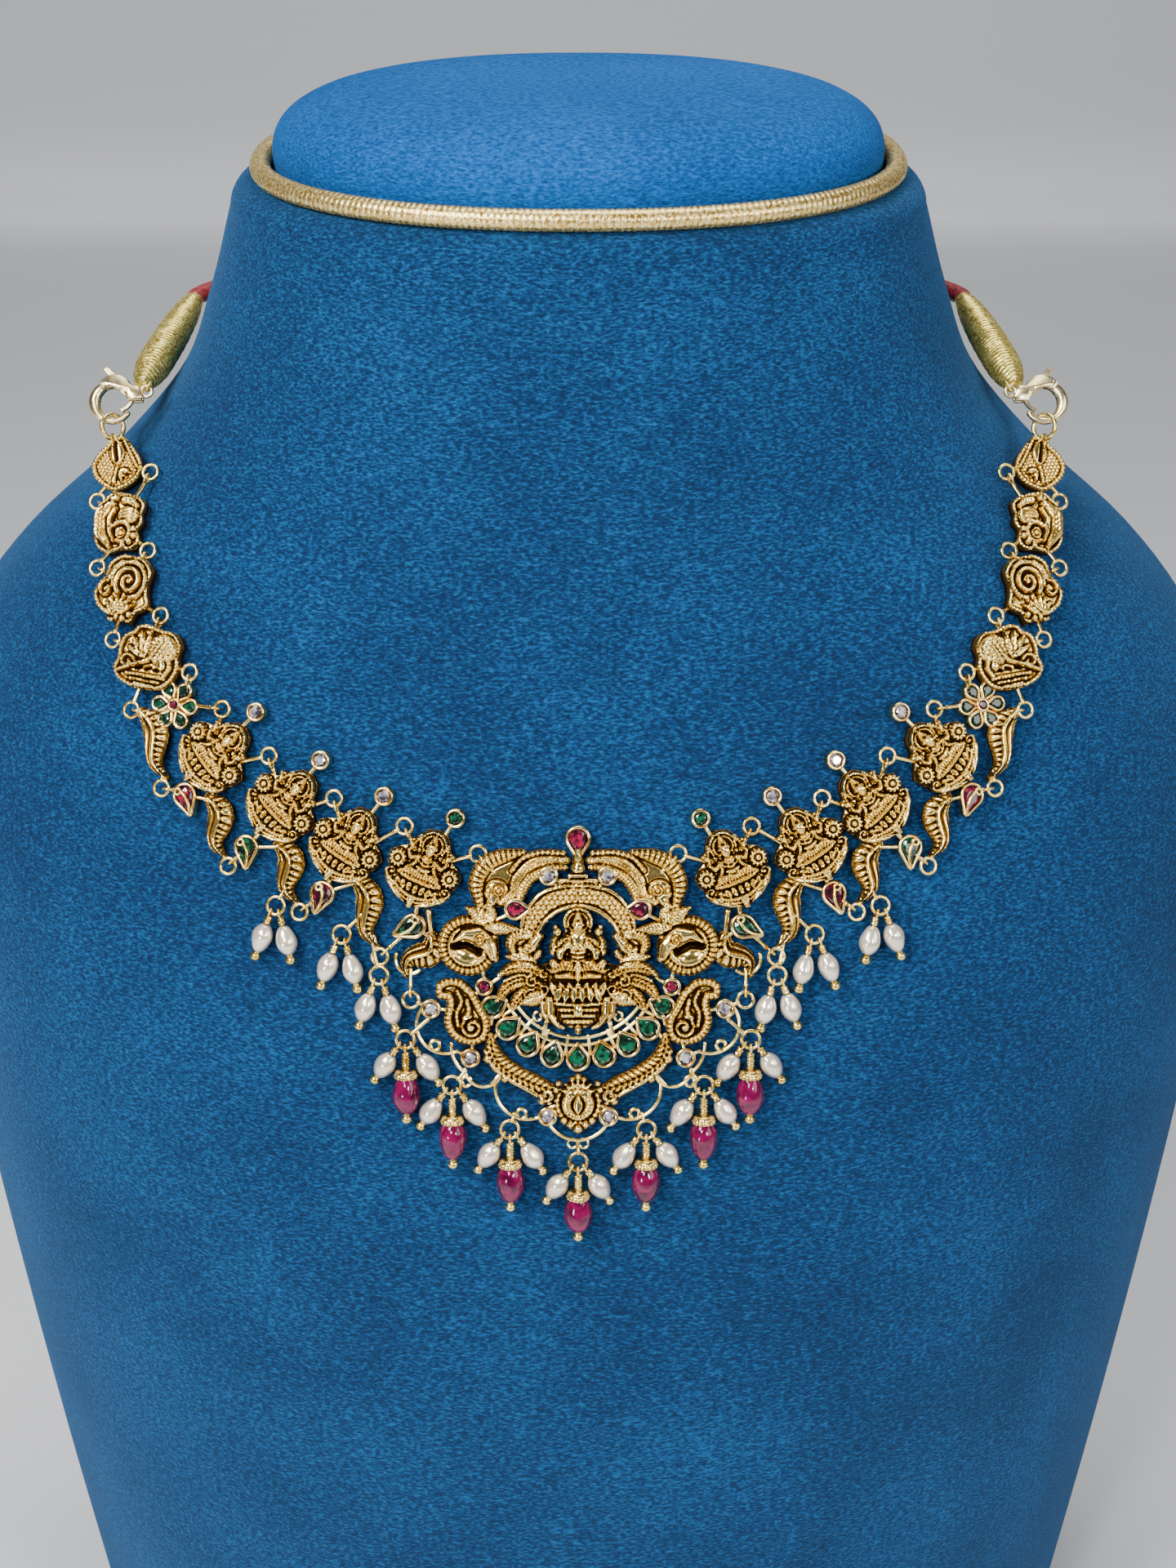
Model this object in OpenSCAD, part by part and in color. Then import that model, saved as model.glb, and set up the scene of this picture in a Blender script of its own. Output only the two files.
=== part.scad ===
// Temple jewellery necklace with a goddess pendant, on a velvet neck bust.
// Origin at the centre of the bust's base, +Z up, the pendant facing -Y.

/* [Neck bust] */
// Height of the bust from its base to the flat of the neck
bust_h = 266.5; // [260:0.5:272]
// Width of the neck at its top
neck_w = 108; // [106:0.5:110]
// Width of the chest at its widest
chest_w = 224; // [218:0.5:230]
// Depth from the centre to the front of the neck
neck_front = 38; // [37:0.5:39]
// Depth from the centre to the front of the chest
chest_front = 91; // [88:0.5:94]
// Depth from the centre to the back
chest_back = 48; // [47:0.5:50]
// Rounding of the neck's top edge
neck_round = 4; // [3:0.25:4.5]
// Height of the padded cap on the neck
cap_h = 14; // [11:0.5:16]
// Diameter of the gold cord round the cap
trim_d = 3.4; // [2.8:0.1:3.8]

/* [Links] */
// Radius of a joint ring, to the middle of its wire
ring_r = 1.2; // [1.1:0.05:1.35]
// Wire of a joint ring
ring_wire = 0.54; // [0.44:0.02:0.6]
// Radius of the small loop that holds a joint ring
loop_r = 0.8; // [0.75:0.01:0.85]
// Wire of the small loop
loop_wire = 0.44; // [0.36:0.02:0.5]
// Solder bar between a ring and its unit
bar_d = 0.7; // [0.5:0.05:0.9]
// Radius of a ring that drops hang from, to the middle of its wire
drop_ring_r = 1.35; // [1.3:0.05:1.5]
// Radius of the loop at the top of a head pin
pin_loop_r = 0.62; // [0.58:0.01:0.68]

/* [Units] */
// Thickness of a unit's hollow back box
box_h = 1.9; // [1.5:0.1:2.2]
// Wall of the hollow back box
box_wall = 0.5; // [0.4:0.05:0.7]
// Thickness of a unit's face plate
face_h = 0.7; // [0.5:0.05:0.9]
// Radius of a goddess plaque
plaque_r = 5.5; // [5.2:0.1:5.8]
// Gap between a unit's back and the bust
seat_gap = 0.4; // [0.3:0.05:0.6]

/* [Stones] */
// Wall of a stone's bezel
bezel_wall = 0.42; // [0.35:0.01:0.5]
// Gap between a stone and its bezel
stone_gap = 0.06; // [0.04:0.01:0.1]
// Height of a bezel
bezel_h = 1.5; // [1.3:0.1:1.8]
// Diameter of a round diamond
diamond_d = 2.1; // [1.9:0.05:2.2]
// Width of an emerald in the pendant's fringe
emerald_w = 2.8; // [2.5:0.05:2.9]
// Length of an emerald in the pendant's fringe
emerald_l = 3.6; // [3.3:0.05:3.7]

/* [Drops] */
// Width of a rice pearl
pearl_w = 3.3; // [3:0.05:3.4]
// Length of a rice pearl
pearl_l = 4.6; // [4.2:0.1:5]
// Width of a ruby bead
ruby_w = 4.3; // [4:0.05:4.5]
// Length of a ruby bead
ruby_l = 6.7; // [6:0.1:7.4]
// Wire of a head pin
pin_d = 0.44; // [0.36:0.02:0.48]
// Bore of a bead round its pin
bore_d = 0.68; // [0.62:0.02:0.8]
// Ball at the end of a head pin
ball_d = 1.6; // [1.4:0.05:1.8]
// Tilt of the two pearls beside a ruby
pearl_spread = 33; // [30:0.5:36]
// Tilt of the pearls that hang in pairs
pair_spread = 17; // [15:0.5:20]

/* [Clasps] */
// Radius of the clasp's hook, to the middle of its wire
hook_r = 2.9; // [2.8:0.05:3.1]
// Wire of the clasp's hook
hook_wire = 1.1; // [1:0.05:1.15]
// Thickness of the clasp's body
clasp_t = 2.2; // [2:0.1:2.6]
// Thickness of the lever
lever_t = 0.8; // [0.7:0.05:0.9]
// Diameter of the lever's pin
hinge_d = 0.8; // [0.7:0.05:0.9]
// Clearance round the lever
lever_gap = 0.1; // [0.08:0.01:0.14]
// Clearance between the lever's bore and its pin
hinge_gap = 0.05; // [0.04:0.01:0.07]
// Radius of the jump ring on the hook
jump_r = 1.97; // [1.9:0.01:2]
// Wire of the jump ring
jump_wire = 0.7; // [0.6:0.05:0.75]

/* [Cord] */
// Diameter of the cord behind the neck
cord_d = 3; // [2.6:0.1:3.2]
// Diameter of the gold thread winding at its fattest
winding_d = 5.8; // [5.2:0.1:6]

/* [Hidden] */
NODES = [
    "bust", "neck_cap", "neck_trim", "pendant_frame",
    "leaf_link_left", "leaf_link_right", "peacock_link_left", "peacock_link_right",
    "paisley_link_left", "paisley_link_right", "bird_link_left", "bird_link_right",
    "flower_link_left", "flower_link_right",
    "goddess_plaque_left_1", "goddess_plaque_left_2",
    "goddess_plaque_left_3", "goddess_plaque_left_4",
    "goddess_plaque_right_1", "goddess_plaque_right_2",
    "goddess_plaque_right_3", "goddess_plaque_right_4",
    "clasp_left", "clasp_right", "clasp_lever_left", "clasp_lever_right",
    "jump_ring_left", "jump_ring_right",
    "zari_winding_left", "zari_winding_right", "cord_back",
    "pendant_rubies", "pendant_emeralds", "pendant_diamonds",
    "side_rubies", "side_emeralds", "side_diamonds",
    "ruby_bead_1", "ruby_bead_2", "ruby_bead_3", "ruby_bead_4",
    "ruby_bead_5", "ruby_bead_6", "ruby_bead_7", "bead_caps",
    "cluster_pearls_1", "cluster_pearls_2", "cluster_pearls_3", "cluster_pearls_4",
    "cluster_pearls_5", "cluster_pearls_6", "cluster_pearls_7",
    "pearl_pairs_left", "pearl_pairs_right",
    "head_pins_left", "head_pins_centre", "head_pins_right"
];
node = "all";

// Smoothness of exact round parts, and corners of faceted ones
ROUND = 32;
STONE_SIDES = 12;

// The bust, one row for each section from the base up.
// Height is a share of bust_h; width and front run from the neck's size (0)
// to the chest's (1); back is a share of chest_back.
//   height, width, front, back
BUST_SECTIONS = [
    [0,     0.66,  0.905, 0.71],
    [0.15,  0.76,  1,     0.79],
    [0.30,  0.86,  1,     0.88],
    [0.43,  0.94,  0.945, 0.94],
    [0.545, 1,     0.83,  0.98],
    [0.64,  1,     0.67,  1],
    [0.715, 0.87,  0.51,  1],
    [0.77,  0.68,  0.38,  0.99],
    [0.825, 0.40,  0.26,  0.98],
    [0.88,  0.185, 0.155, 0.96],
    [0.935, 0.085, 0.08,  0.92],
    [0.985, 0.02,  0.01,  0.87],
    [1,     0,     0,     0.85]
];
// Power of the bust's rounded-square section; 2 is an ellipse
SQUARENESS = 2.2;
BUST_SIDES = 56;
BUST_RINGS = 24;

// The padded cap, one row for each section: height and reach, as shares of
// its height and of its half widths.
CAP_SECTIONS = [
    [0, 0.985], [0.12, 1], [0.34, 1.005], [0.55, 0.985], [0.72, 0.93],
    [0.86, 0.83], [0.95, 0.67], [0.99, 0.42]
];
CAP_SIDES = 48;

// Where each unit on the left sits on the bust, seen from the front:
// degrees round from the front, height as a share of bust_h, how far it turns
// from the bust's surface towards the viewer, roll in degrees, half width.
//   name,        round, height, turn, roll, half width
ROUTE = [
    ["leaf",      -70,   0.835,  0.75, 1,    4],
    ["peacock",   -59,   0.813,  0.6,  18,   4],
    ["paisley",   -49.5, 0.787,  0.4,  27,   4.6],
    ["bird",      -40.5, 0.759,  0.25, 38,   6],
    ["flower",    -35.3, 0.739,  0.15, 42,   5],
    ["plaque_1",  -29.5, 0.7175, 0.1,  37,   6],
    ["plaque_2",  -22.2, 0.6965, 0.05, 29,   6],
    ["plaque_3",  -16.4, 0.6785, 0,    24,   6],
    ["plaque_4",  -10.3, 0.6685, 0,    12,   6],
    ["pendant",   0,     0.62,   0,    0,    6]
];
// Elevation from which the units that turn are seen
VIEW_TILT = 30;

// The links: a ring soldered to the first unit, held by a loop of the second.
// Each unit's row gives the ring's place in its own frame, then the place on
// the unit where the solder bar ends.
LINKS = [
    ["leaf",     [5.5, -1.0],   [2.6, -0.4],   "peacock",  [5.5, 7.4],   [1.2, 2.2]],
    ["leaf",     [-2.6, -6.3],  [-1.2, -3.0],  "peacock",  [-3.7, 4.4],  [-1.4, 2.6]],
    ["peacock",  [4.6, -5.6],   [2.0, -2.4],   "paisley",  [4.5, 5.3],   [2.4, 2.8]],
    ["peacock",  [-3.8, -6.8],  [-0.8, -2.6],  "paisley",  [-4.4, 5.5],  [-1.6, 3.0]],
    ["paisley",  [5.0, -6.1],   [2.4, -3.4],   "bird",     [4.4, 5.1],   [2.4, 3.0]],
    ["paisley",  [-3.5, -7.2],  [-1.6, -4.0],  "bird",     [-4.2, 5.8],  [-2.0, 3.0]],
    ["bird",     [-6.2, -5.6],  [-3.2, -2.8],  "flower",   [-6.4, 3.4],  [-4.2, 1.4]],
    ["bird",     [4.6, -5.6],   [2.8, -3.0],   "flower",   [5.0, 3.2],   [3.2, 1.0]],
    ["plaque_1", [4.5, 5.5],    [2.4, 3.0],    "flower",   [6.2, -4.9],  [2.6, -1.8]],
    ["flower",   [-8.5, -9.6],  [-7.0, -7.4],  "plaque_1", [-10.0, 0.0], [-7.6, -1.9]],
    ["plaque_1", [7.4, -4.4],   [3.4, -3.0],   "plaque_2", [1.1, 7.7],   [0.6, 3.6]],
    ["plaque_1", [-6.4, -15.6], [-6.2, -13.2], "plaque_2", [-11.7, -5.0], [-8.8, -4.0]],
    ["plaque_2", [7.6, -2.3],   [3.6, -1.8],   "plaque_3", [0.8, 7.5],   [0.4, 3.6]],
    ["plaque_2", [-4.2, -15.8], [-4.1, -13.2], "plaque_3", [-10.3, -6.8], [-7.4, -5.9]],
    ["plaque_3", [9.2, -0.3],   [4.0, -1.0],   "plaque_4", [-1.5, 7.2],  [-0.6, 3.2]],
    ["plaque_3", [-1.0, -17.3], [-0.9, -14.2], "plaque_4", [-8.8, -11.7], [-5.2, -9.4]],
    ["plaque_4", [8.7, 1.2],    [4.0, 0.6],    "pendant",  [-15.1, 16.9], [-12.6, 14.2]],
    ["pendant",  [-24.4, -7.6], [-21.6, -6.6], "plaque_4", [-5.6, -16.4], [-4.6, -14.4]]
];
LINK_LIFT = 1.3;
// Height where the solder bars end inside their units
ANCHOR_LIFT = 1;

// The rings that the drops hang from, soldered to a unit: its name, the
// ring's place in its frame, the end of its solder bar, what hangs there.
PAIR_HANGERS = [
    ["plaque_2", [-7.2, -13.4], [-4.6, -11.4]],
    ["plaque_3", [-5.4, -12.2], [-1.3, -10.4]],
    ["plaque_3", [-2.1, -19.9], [-1.2, -13.6]]
];
CLUSTER_HANGERS = [
    [[-26.0, -11.2], [-22.6, -8.2]],
    [[-19.0, -18.2], [-17.0, -16.1]],
    [[-10.3, -25.0], [-9.7, -22.7]],
    [[0, -30.0], [0, -26.9]]
];

// Hook, tail and winding on the left, and the cord's points, chosen by hand;
// each one's last number is its height as a share of the bust's
function on_bust(p) = [p.x, p.y, p.z * bust_h];
HOOK_AT = on_bust([-74, -15.4, 0.8754]);
WINDING_FROM = on_bust([-69.9, -11.8, 0.8818]);
WINDING_TO = on_bust([-65.1, 20, 0.8987]);
CORD_POINTS = [
    [-65.06, 20.27, 0.89885], [-64.7, 21.7, 0.8996], [-62.4, 24.6, 0.9006], [-57.4, 29, 0.9021],
    [-51.8, 32.3, 0.9039], [-45, 36.4, 0.9073], [-36, 41, 0.9118],
    [-25.4, 44.6, 0.9156], [-13.5, 46.9, 0.9174]
];
CORD_HALF = [for (p = CORD_POINTS) on_bust(p)];
CORD_MIDDLE = [on_bust([0, 47.6, 0.9178])];

// Small functions for vectors and smooth tables
function mix(a, b, t) = a + (b - a) * t;
function unit(v) = v / norm(v);
function flip(p) = [-p.x, p.y, p.z];
function backwards(list) = [for (i = [len(list) - 1:-1:0]) list[i]];
function signed_power(v, p) = sign(v) * pow(abs(v), p);
function on_circle(a, r) = [r * cos(a), r * sin(a)];

function span_of(table, x, i = 0) =
    i >= len(table) - 2 || x < table[i + 1][0] ? i : span_of(table, x, i + 1);
function slope(table, i, c) =
    let (lo = max(i - 1, 0), hi = min(i + 1, len(table) - 1))
    (table[hi][c] - table[lo][c]) / (table[hi][0] - table[lo][0]);
// Smooth value of one column of a table at x
function smooth(table, x, c) =
    let (
        i = span_of(table, x),
        h = table[i + 1][0] - table[i][0],
        t = (x - table[i][0]) / h,
        rise = table[i + 1][c] - table[i][c],
        m0 = slope(table, i, c) * h,
        m1 = slope(table, i + 1, c) * h
    )
    table[i][c] + t * m0 + t * t * (3 * rise - 2 * m0 - m1) + t * t * t * (m0 + m1 - 2 * rise);

// Half width, front depth and back depth of the bust at height z
function half_width(z) = mix(neck_w, chest_w, smooth(BUST_SECTIONS, z / bust_h, 1)) / 2;
function front_depth(z) = mix(neck_front, chest_front, smooth(BUST_SECTIONS, z / bust_h, 2));
function back_depth(z) = chest_back * smooth(BUST_SECTIONS, z / bust_h, 3);

// A point of a rounded-square ring, a degrees round from the front
function ring_point(a, w, front, back) = [
    w * signed_power(sin(a), 2 / SQUARENESS),
    -(cos(a) > 0 ? front : back) * signed_power(cos(a), 2 / SQUARENESS)
];
// A point of the bust's skin
function skin(a, z) =
    let (p = ring_point(a, half_width(z), front_depth(z), back_depth(z)))
    [p.x, p.y, z];
// The skin straight behind a point, on the front of the bust
function skin_behind(p) =
    [p.x, -front_depth(p.z) * pow(1 - pow(abs(p.x) / half_width(p.z), SQUARENESS), 1 / SQUARENESS), p.z];
function skin_normal(a, z) =
    let (e = 0.2, across = skin(a + e, z) - skin(a - e, z), up = skin(a, z + e) - skin(a, z - e))
    unit(cross(across, up));

// A frame is [origin, right, up, outwards]
function facing_frame(at, out, roll) =
    let (
        up = unit([0, 0, 1] - out.z * out),
        right = cross(up, out)
    )
    [at, right * cos(roll) + up * sin(roll), up * cos(roll) - right * sin(roll), out];
function unit_row(name) = ROUTE[search([name], ROUTE)[0]];
VIEW_DIR = [0, -cos(VIEW_TILT), sin(VIEW_TILT)];
function unit_frame(name) =
    let (
        row = unit_row(name),
        z = row[2] * bust_h,
        n = skin_normal(row[1], z),
        out = unit(mix(n, VIEW_DIR, row[3])),
        lift = seat_gap + row[5] * norm(cross(n, out))
    )
    facing_frame(skin(row[1], z) + n * lift, out, row[4]);
// A point of a frame, in the part's own frame
function in_world(f, p) = f[0] + p.x * f[1] + p.y * f[2] + (len(p) > 2 ? p.z : LINK_LIFT) * f[3];

module place(f)
    multmatrix([
        [f[1].x, f[2].x, f[3].x, f[0].x],
        [f[1].y, f[2].y, f[3].y, f[0].y],
        [f[1].z, f[2].z, f[3].z, f[0].z]
    ])
        children();
module both_sides() {
    children();
    mirror([1, 0, 0])
        children();
}
module on_side(side)
    mirror([side == "right" ? 1 : 0, 0, 0])
        children();

// Small solids that the units are drawn with
module rod(p, q, d)
    let (
        axis = unit(q - p),
        helper = abs(axis.z) < 0.9 ? [0, 0, 1] : [1, 0, 0],
        side = unit(cross(axis, helper))
    )
        place([p, side, cross(axis, side), axis])
            cylinder(h = norm(q - p), d = d, $fn = ROUND);
module wire_ring(r, wire)
    rotate_extrude($fn = ROUND)
        translate([r, 0])
            circle(d = wire, $fn = ROUND);
module wire_arc(at, r, wire, from, sweep, z)
    translate([at.x, at.y, z])
        rotate([0, 0, from])
            rotate_extrude(angle = sweep, $fn = ROUND)
                translate([r, 0])
                    circle(d = wire, $fn = ROUND);
module knob(at, d, z)
    translate([at.x, at.y, z])
        sphere(d = d, $fn = ROUND);
module plate(outline, from, to)
    translate([0, 0, from])
        linear_extrude(to - from)
            polygon(outline);

// A pointed petal or leaf outline of a length and width, along +Y from 0
function petal(l, w, steps = 5) = concat(
    [for (i = [0:steps]) let (t = i / steps) [w / 2 * sin(180 * pow(t, 0.8)), l * t]],
    [for (i = [steps - 1:-1:1]) let (t = i / steps) [-w / 2 * sin(180 * pow(t, 0.8)), l * t]]
);
// A teardrop outline, its round end at 0 and its point along +Y
function teardrop(l, w, steps = 8) =
    let (r = w / 2, tip = l - r, a0 = asin(r / tip))
    concat([[0, tip]], [for (i = [0:steps]) on_circle(180 - a0 + (180 + 2 * a0) * i / steps, r)]);
function grown(outline, by) =
    let (reach = max([for (p = outline) norm(p)]))
    outline * ((reach + by) / reach);
// Leaf with a raised rib and veins
module veined_leaf(at, turn, l, w, from, to, veins = 3)
    translate([at.x, at.y, 0])
        rotate([0, 0, turn]) {
            plate(petal(l, w), from, to);
            rod([0, l * 0.12, to], [0, l * 0.86, to], w * 0.2);
            for (i = [1:veins], s = [-1, 1])
                let (y = l * (0.12 + 0.56 * i / (veins + 0.6)))
                    rod([0, y, to], [s * w * 0.3, y + w * 0.28, to - 0.05], w * 0.13);
        }

// A stone's setting: draw its "bezel", the "pocket" cut for it, or its own stone.
// The stone drops into the pocket with stone_gap all round.
POCKET = 0.75;
module round_setting(part, stone, at, d, z = 0.2)
    translate([at.x, at.y, z]) {
        if (part == "bezel")
            cylinder(h = bezel_h, d = d + 2 * (stone_gap + bezel_wall), $fn = ROUND);
        if (part == "pocket")
            translate([0, 0, bezel_h - POCKET])
                cylinder(h = POCKET + 0.5, d = d + 2 * stone_gap, $fn = ROUND);
        if (part == stone)
            translate([0, 0, bezel_h - POCKET + stone_gap])
                cut_stone([for (i = [0:STONE_SIDES - 1]) on_circle(i * 360 / STONE_SIDES, d / 2)]);
    }
module tear_setting(part, stone, at, turn, l, w, z = 0.2)
    translate([at.x, at.y, z])
        rotate([0, 0, turn]) {
            if (part == "bezel")
                plate(grown(teardrop(l, w), stone_gap + bezel_wall), 0, bezel_h);
            if (part == "pocket")
                plate(grown(teardrop(l, w), stone_gap), bezel_h - POCKET, bezel_h + 0.5);
            if (part == stone)
                translate([0, 0, bezel_h - POCKET + stone_gap])
                    cut_stone(teardrop(l, w));
        }
// Girdle, crown and table of a stone over its outline
module cut_stone(outline)
    let (girdle = 0.42, crown = 0.4) {
        linear_extrude(girdle)
            polygon(outline);
        translate([0, 0, girdle])
            linear_extrude(crown, scale = 0.62)
                polygon(outline);
    }

// Rings and loops of the links
module link_ring(at, out, anchor, r = ring_r) {
    reach = unit(anchor - at);
    along = unit(reach - (reach * out) * out);
    place([at, along, cross(out, along), out])
        wire_ring(r, ring_wire);
    rod(at + along * r, anchor, bar_d);
}
module link_loop(at, out, anchor) {
    reach = unit(anchor - at);
    along = unit(reach - (reach * out) * out);
    place([at + along * ring_r, along, out, cross(along, out)])
        wire_ring(loop_r, loop_wire);
    rod(at + along * (ring_r + loop_r), anchor, bar_d);
}
function anchor_at(f, p) = in_world(f, concat(p, [ANCHOR_LIFT]));
function link_at(link) =
    (in_world(unit_frame(link[0]), link[1]) + in_world(unit_frame(link[3]), link[4])) / 2;
function link_out(link) = unit(unit_frame(link[0])[3] + unit_frame(link[3])[3]);
// Every ring and loop that belongs to a unit
module links_of(name)
    for (link = LINKS) {
        if (link[0] == name)
            link_ring(link_at(link), link_out(link), anchor_at(unit_frame(name), link[2]));
        if (link[3] == name)
            link_loop(link_at(link), link_out(link), anchor_at(unit_frame(name), link[5]));
    }

// A hollow box with a face plate, the body of most units
module boxed(outline) {
    reach = max([for (p = outline) norm(p)]);
    difference() {
        plate(outline, 0, box_h + face_h);
        plate(outline * ((reach - box_wall) / reach), -1, box_h);
    }
}

// Neck bust
module bust() {
    heights = concat(
        [for (i = [0:BUST_RINGS - 1]) i / (BUST_RINGS - 1) * (bust_h - neck_round)],
        [for (a = [30:30:90]) bust_h - neck_round * (1 - sin(a))]
    );
    // Inset of the rounded top edge at a height
    function inset(z) =
        let (s = max(0, 1 - (bust_h - z) / neck_round))
        neck_round * (1 - sqrt(1 - s * s));
    points = [
        for (z = heights, i = [0:BUST_SIDES - 1])
            let (
                body = min(z, bust_h - neck_round),
                p = ring_point(
                    i * 360 / BUST_SIDES,
                    half_width(body) - inset(z), front_depth(body) - inset(z), back_depth(body) - inset(z)
                )
            )
            [p.x, p.y, z]
    ];
    color("steelblue")
        loft(points, BUST_SIDES);
}
// A closed solid through rings of points, sides to a ring, drawn upwards
module loft(points, sides) {
    rings = len(points) / sides;
    polyhedron(points, concat(
        [[for (i = [0:sides - 1]) i]],
        [
            for (r = [0:rings - 2], i = [0:sides - 1])
                let (j = (i + 1) % sides, a = r * sides)
                [a + sides + i, a + sides + j, a + j, a + i]
        ],
        [[for (i = [sides - 1:-1:0]) (rings - 1) * sides + i]]
    ), convexity = 4);
}

// Inner edge of the gold cord, and the cap inside it
trim_side = neck_w / 2 - neck_round + 0.2;
trim_front = neck_front - neck_round + 2;
trim_back = chest_back * 0.86 - neck_round + 0.2;
CAP_GAP = 0.35;
module neck_cap() {
    inner = trim_d / 2 + CAP_GAP;
    points = [
        for (row = CAP_SECTIONS, i = [0:CAP_SIDES - 1])
            let (p = ring_point(
                i * 360 / CAP_SIDES,
                (trim_side - inner) * row[1] / 1.005,
                (trim_front - inner) * row[1] / 1.005,
                (trim_back - inner) * row[1] / 1.005
            ))
            [p.x, p.y, bust_h + 0.25 + row[0] * cap_h]
    ];
    color("steelblue")
        loft(points, CAP_SIDES);
}
module neck_trim() {
    path = [
        for (i = [0:CAP_SIDES * 1.5 - 1])
            let (p = ring_point(i * 240 / CAP_SIDES, trim_side, trim_front, trim_back))
            [p.x, p.y, bust_h + trim_d / 2 + 0.2]
    ];
    color("gold")
        tube(path, trim_d, 10, closed = true);
}
// A round tube along points, each ring square to the path
module tube(path, d, sides, closed = false) {
    n = len(path);
    function before(i) = path[closed ? (i + n - 1) % n : max(i - 1, 0)];
    function after(i) = path[closed ? (i + 1) % n : min(i + 1, n - 1)];
    points = [
        for (i = [0:n - 1], k = [0:sides - 1])
            let (
                along = unit(after(i) - before(i)),
                side = unit(cross(along, [0, 0, 1])),
                top = cross(side, along),
                a = k * 360 / sides
            )
            path[i] + d / 2 * (side * cos(a) + top * sin(a))
    ];
    walls = [
        for (i = [0:n - (closed ? 1 : 2)], k = [0:sides - 1])
            let (a = i * sides, b = ((i + 1) % n) * sides, j = (k + 1) % sides)
            [a + k, a + j, b + j, b + k]
    ];
    ends = closed ? [] : [
        [for (k = [sides - 1:-1:0]) k],
        [for (k = [0:sides - 1]) (n - 1) * sides + k]
    ];
    polyhedron(points, concat(walls, ends), convexity = 8);
}

// Goddess plaque, its side stones and leaf, in its own frame
function plaque_outline(r) =
    [for (a = [0:9:351]) on_circle(a, r * (1 + 0.05 * cos(4 * a)) + 0.16 * cos(12 * a))];
module goddess_figure(s) {
    base = box_h + face_h - 0.1;
    scale(s) {
        // Beaded halo
        for (a = [0:22.5:180])
            knob(on_circle(a, 2.55) + [0, 1.7], 0.66, base / s);
        // Crown, head and shoulders
        translate([0, 2.3, base / s + 0.35])
            rotate([-90, 0, 0])
                cylinder(h = 2.3, d1 = 1.7, d2 = 0.5, $fn = ROUND);
        knob([0, 1.75], 1.75, base / s + 0.35);
        knob([0, 4.75], 0.6, base / s + 0.35);
        rod([0, -1.7, base / s + 0.25], [0, 0.7, base / s + 0.4], 2.1);
        // Arms raised to two flowers, and arms lowered to the knees
        for (m = [-1, 1]) {
            rod([m * 0.75, 0.35, base / s + 0.3], [m * 2.7, -0.35, base / s + 0.2], 0.85);
            rod([m * 2.6, -0.35, base / s + 0.2], [m * 3.0, 1.0, base / s + 0.25], 0.75);
            for (a = [18:72:306])
                knob([m * 3.3, 1.7] + on_circle(a, 0.6), 0.66, base / s + 0.2);
            knob([m * 3.3, 1.7], 0.78, base / s + 0.38);
            rod([m * 0.9, 0.2, base / s + 0.2], [m * 1.5, -1.5, base / s + 0.5], 0.75);
        }
        // Crossed legs
        rod([-2.5, -2.05, base / s + 0.35], [0.9, -2.55, base / s + 0.55], 1.15);
        rod([2.5, -2.15, base / s + 0.3], [-0.7, -1.85, base / s + 0.4], 1.1);
    }
}
module lotus_seat(count, w, y, base)
    for (i = [0:count - 1])
        let (x = (i - (count - 1) / 2) * w)
            translate([x, y + 0.035 * x * x, 0])
                rotate([0, 0, -x * 5]) {
                    rod([0, -0.7, base + 0.1], [0, 0.75, base + 0.25], w * 0.86);
                    knob([0, 0.8], w * 0.8, base + 0.2);
                }
module plaque_body() {
    boxed(plaque_outline(plaque_r));
    goddess_figure(plaque_r / 5.5);
    lotus_seat(7, 1.12, -4.1, box_h + face_h - 0.1);
    for (m = [-1, 1])
        wire_arc([m * 4.3, -3.2], 0.75, 0.5, 0, 359, box_h + face_h);
}
// An S-shaped leaf scroll, ribbed across
module leaf_scroll(from, to, w, bulge) {
    d = to - from;
    n = unit([-d.y, d.x]);
    spine = [for (i = [0:6]) let (t = i / 6) from + d * t + n * bulge * sin(360 * t)];
    side = [for (i = [0:6]) let (t = i / 6) w * (0.28 + 0.22 * sin(180 * t))];
    plate(concat(
        [for (i = [0:6]) spine[i] + n * side[i]],
        [for (i = [6:-1:0]) spine[i] - n * side[i]]
    ), 0.4, 1.6);
    for (i = [0:5])
        let (mid = (spine[i] + spine[i + 1]) / 2, r = side[i] * 0.8)
            rod(
                [mid.x - n.x * r, mid.y - n.y * r, 1.6],
                [mid.x + n.x * r + d.x * 0.06, mid.y + n.y * r + d.y * 0.06, 1.75],
                0.6
            );
}

// Per plaque: round stone, teardrop stone with its turn, leaf's two ends
//   stone place, tear place, tear turn, leaf from, leaf to, figure turn
PLAQUE_TRIM = [
    [[9.0, 2.4],  [-7.2, -2.8], 168, [-3.9, -5.6],  [-6.2, -13.8], -82],
    [[8.1, 3.9],  [-7.9, -3.5], 155, [-2.9, -5.6],  [-4.1, -13.9], -69],
    [[8.0, 5.1],  [-6.0, -5.4], 138, [-0.2, -5.6],  [-1.0, -15.4], -53],
    [[6.1, 6.9],  [-3.0, -8.0], 105, [-0.6, -10.4], [-5.2, -14.8], -33]
];
TEAR_L = 4.6;
TEAR_W = 3;
module plaque_settings(k, part) {
    row = PLAQUE_TRIM[k - 1];
    round_setting(part, k == 4 ? "emerald" : "diamond", row[0], diamond_d);
    tear_setting(part, k % 2 == 0 ? "emerald" : "ruby", row[1], row[2], TEAR_L, TEAR_W);
}
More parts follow.
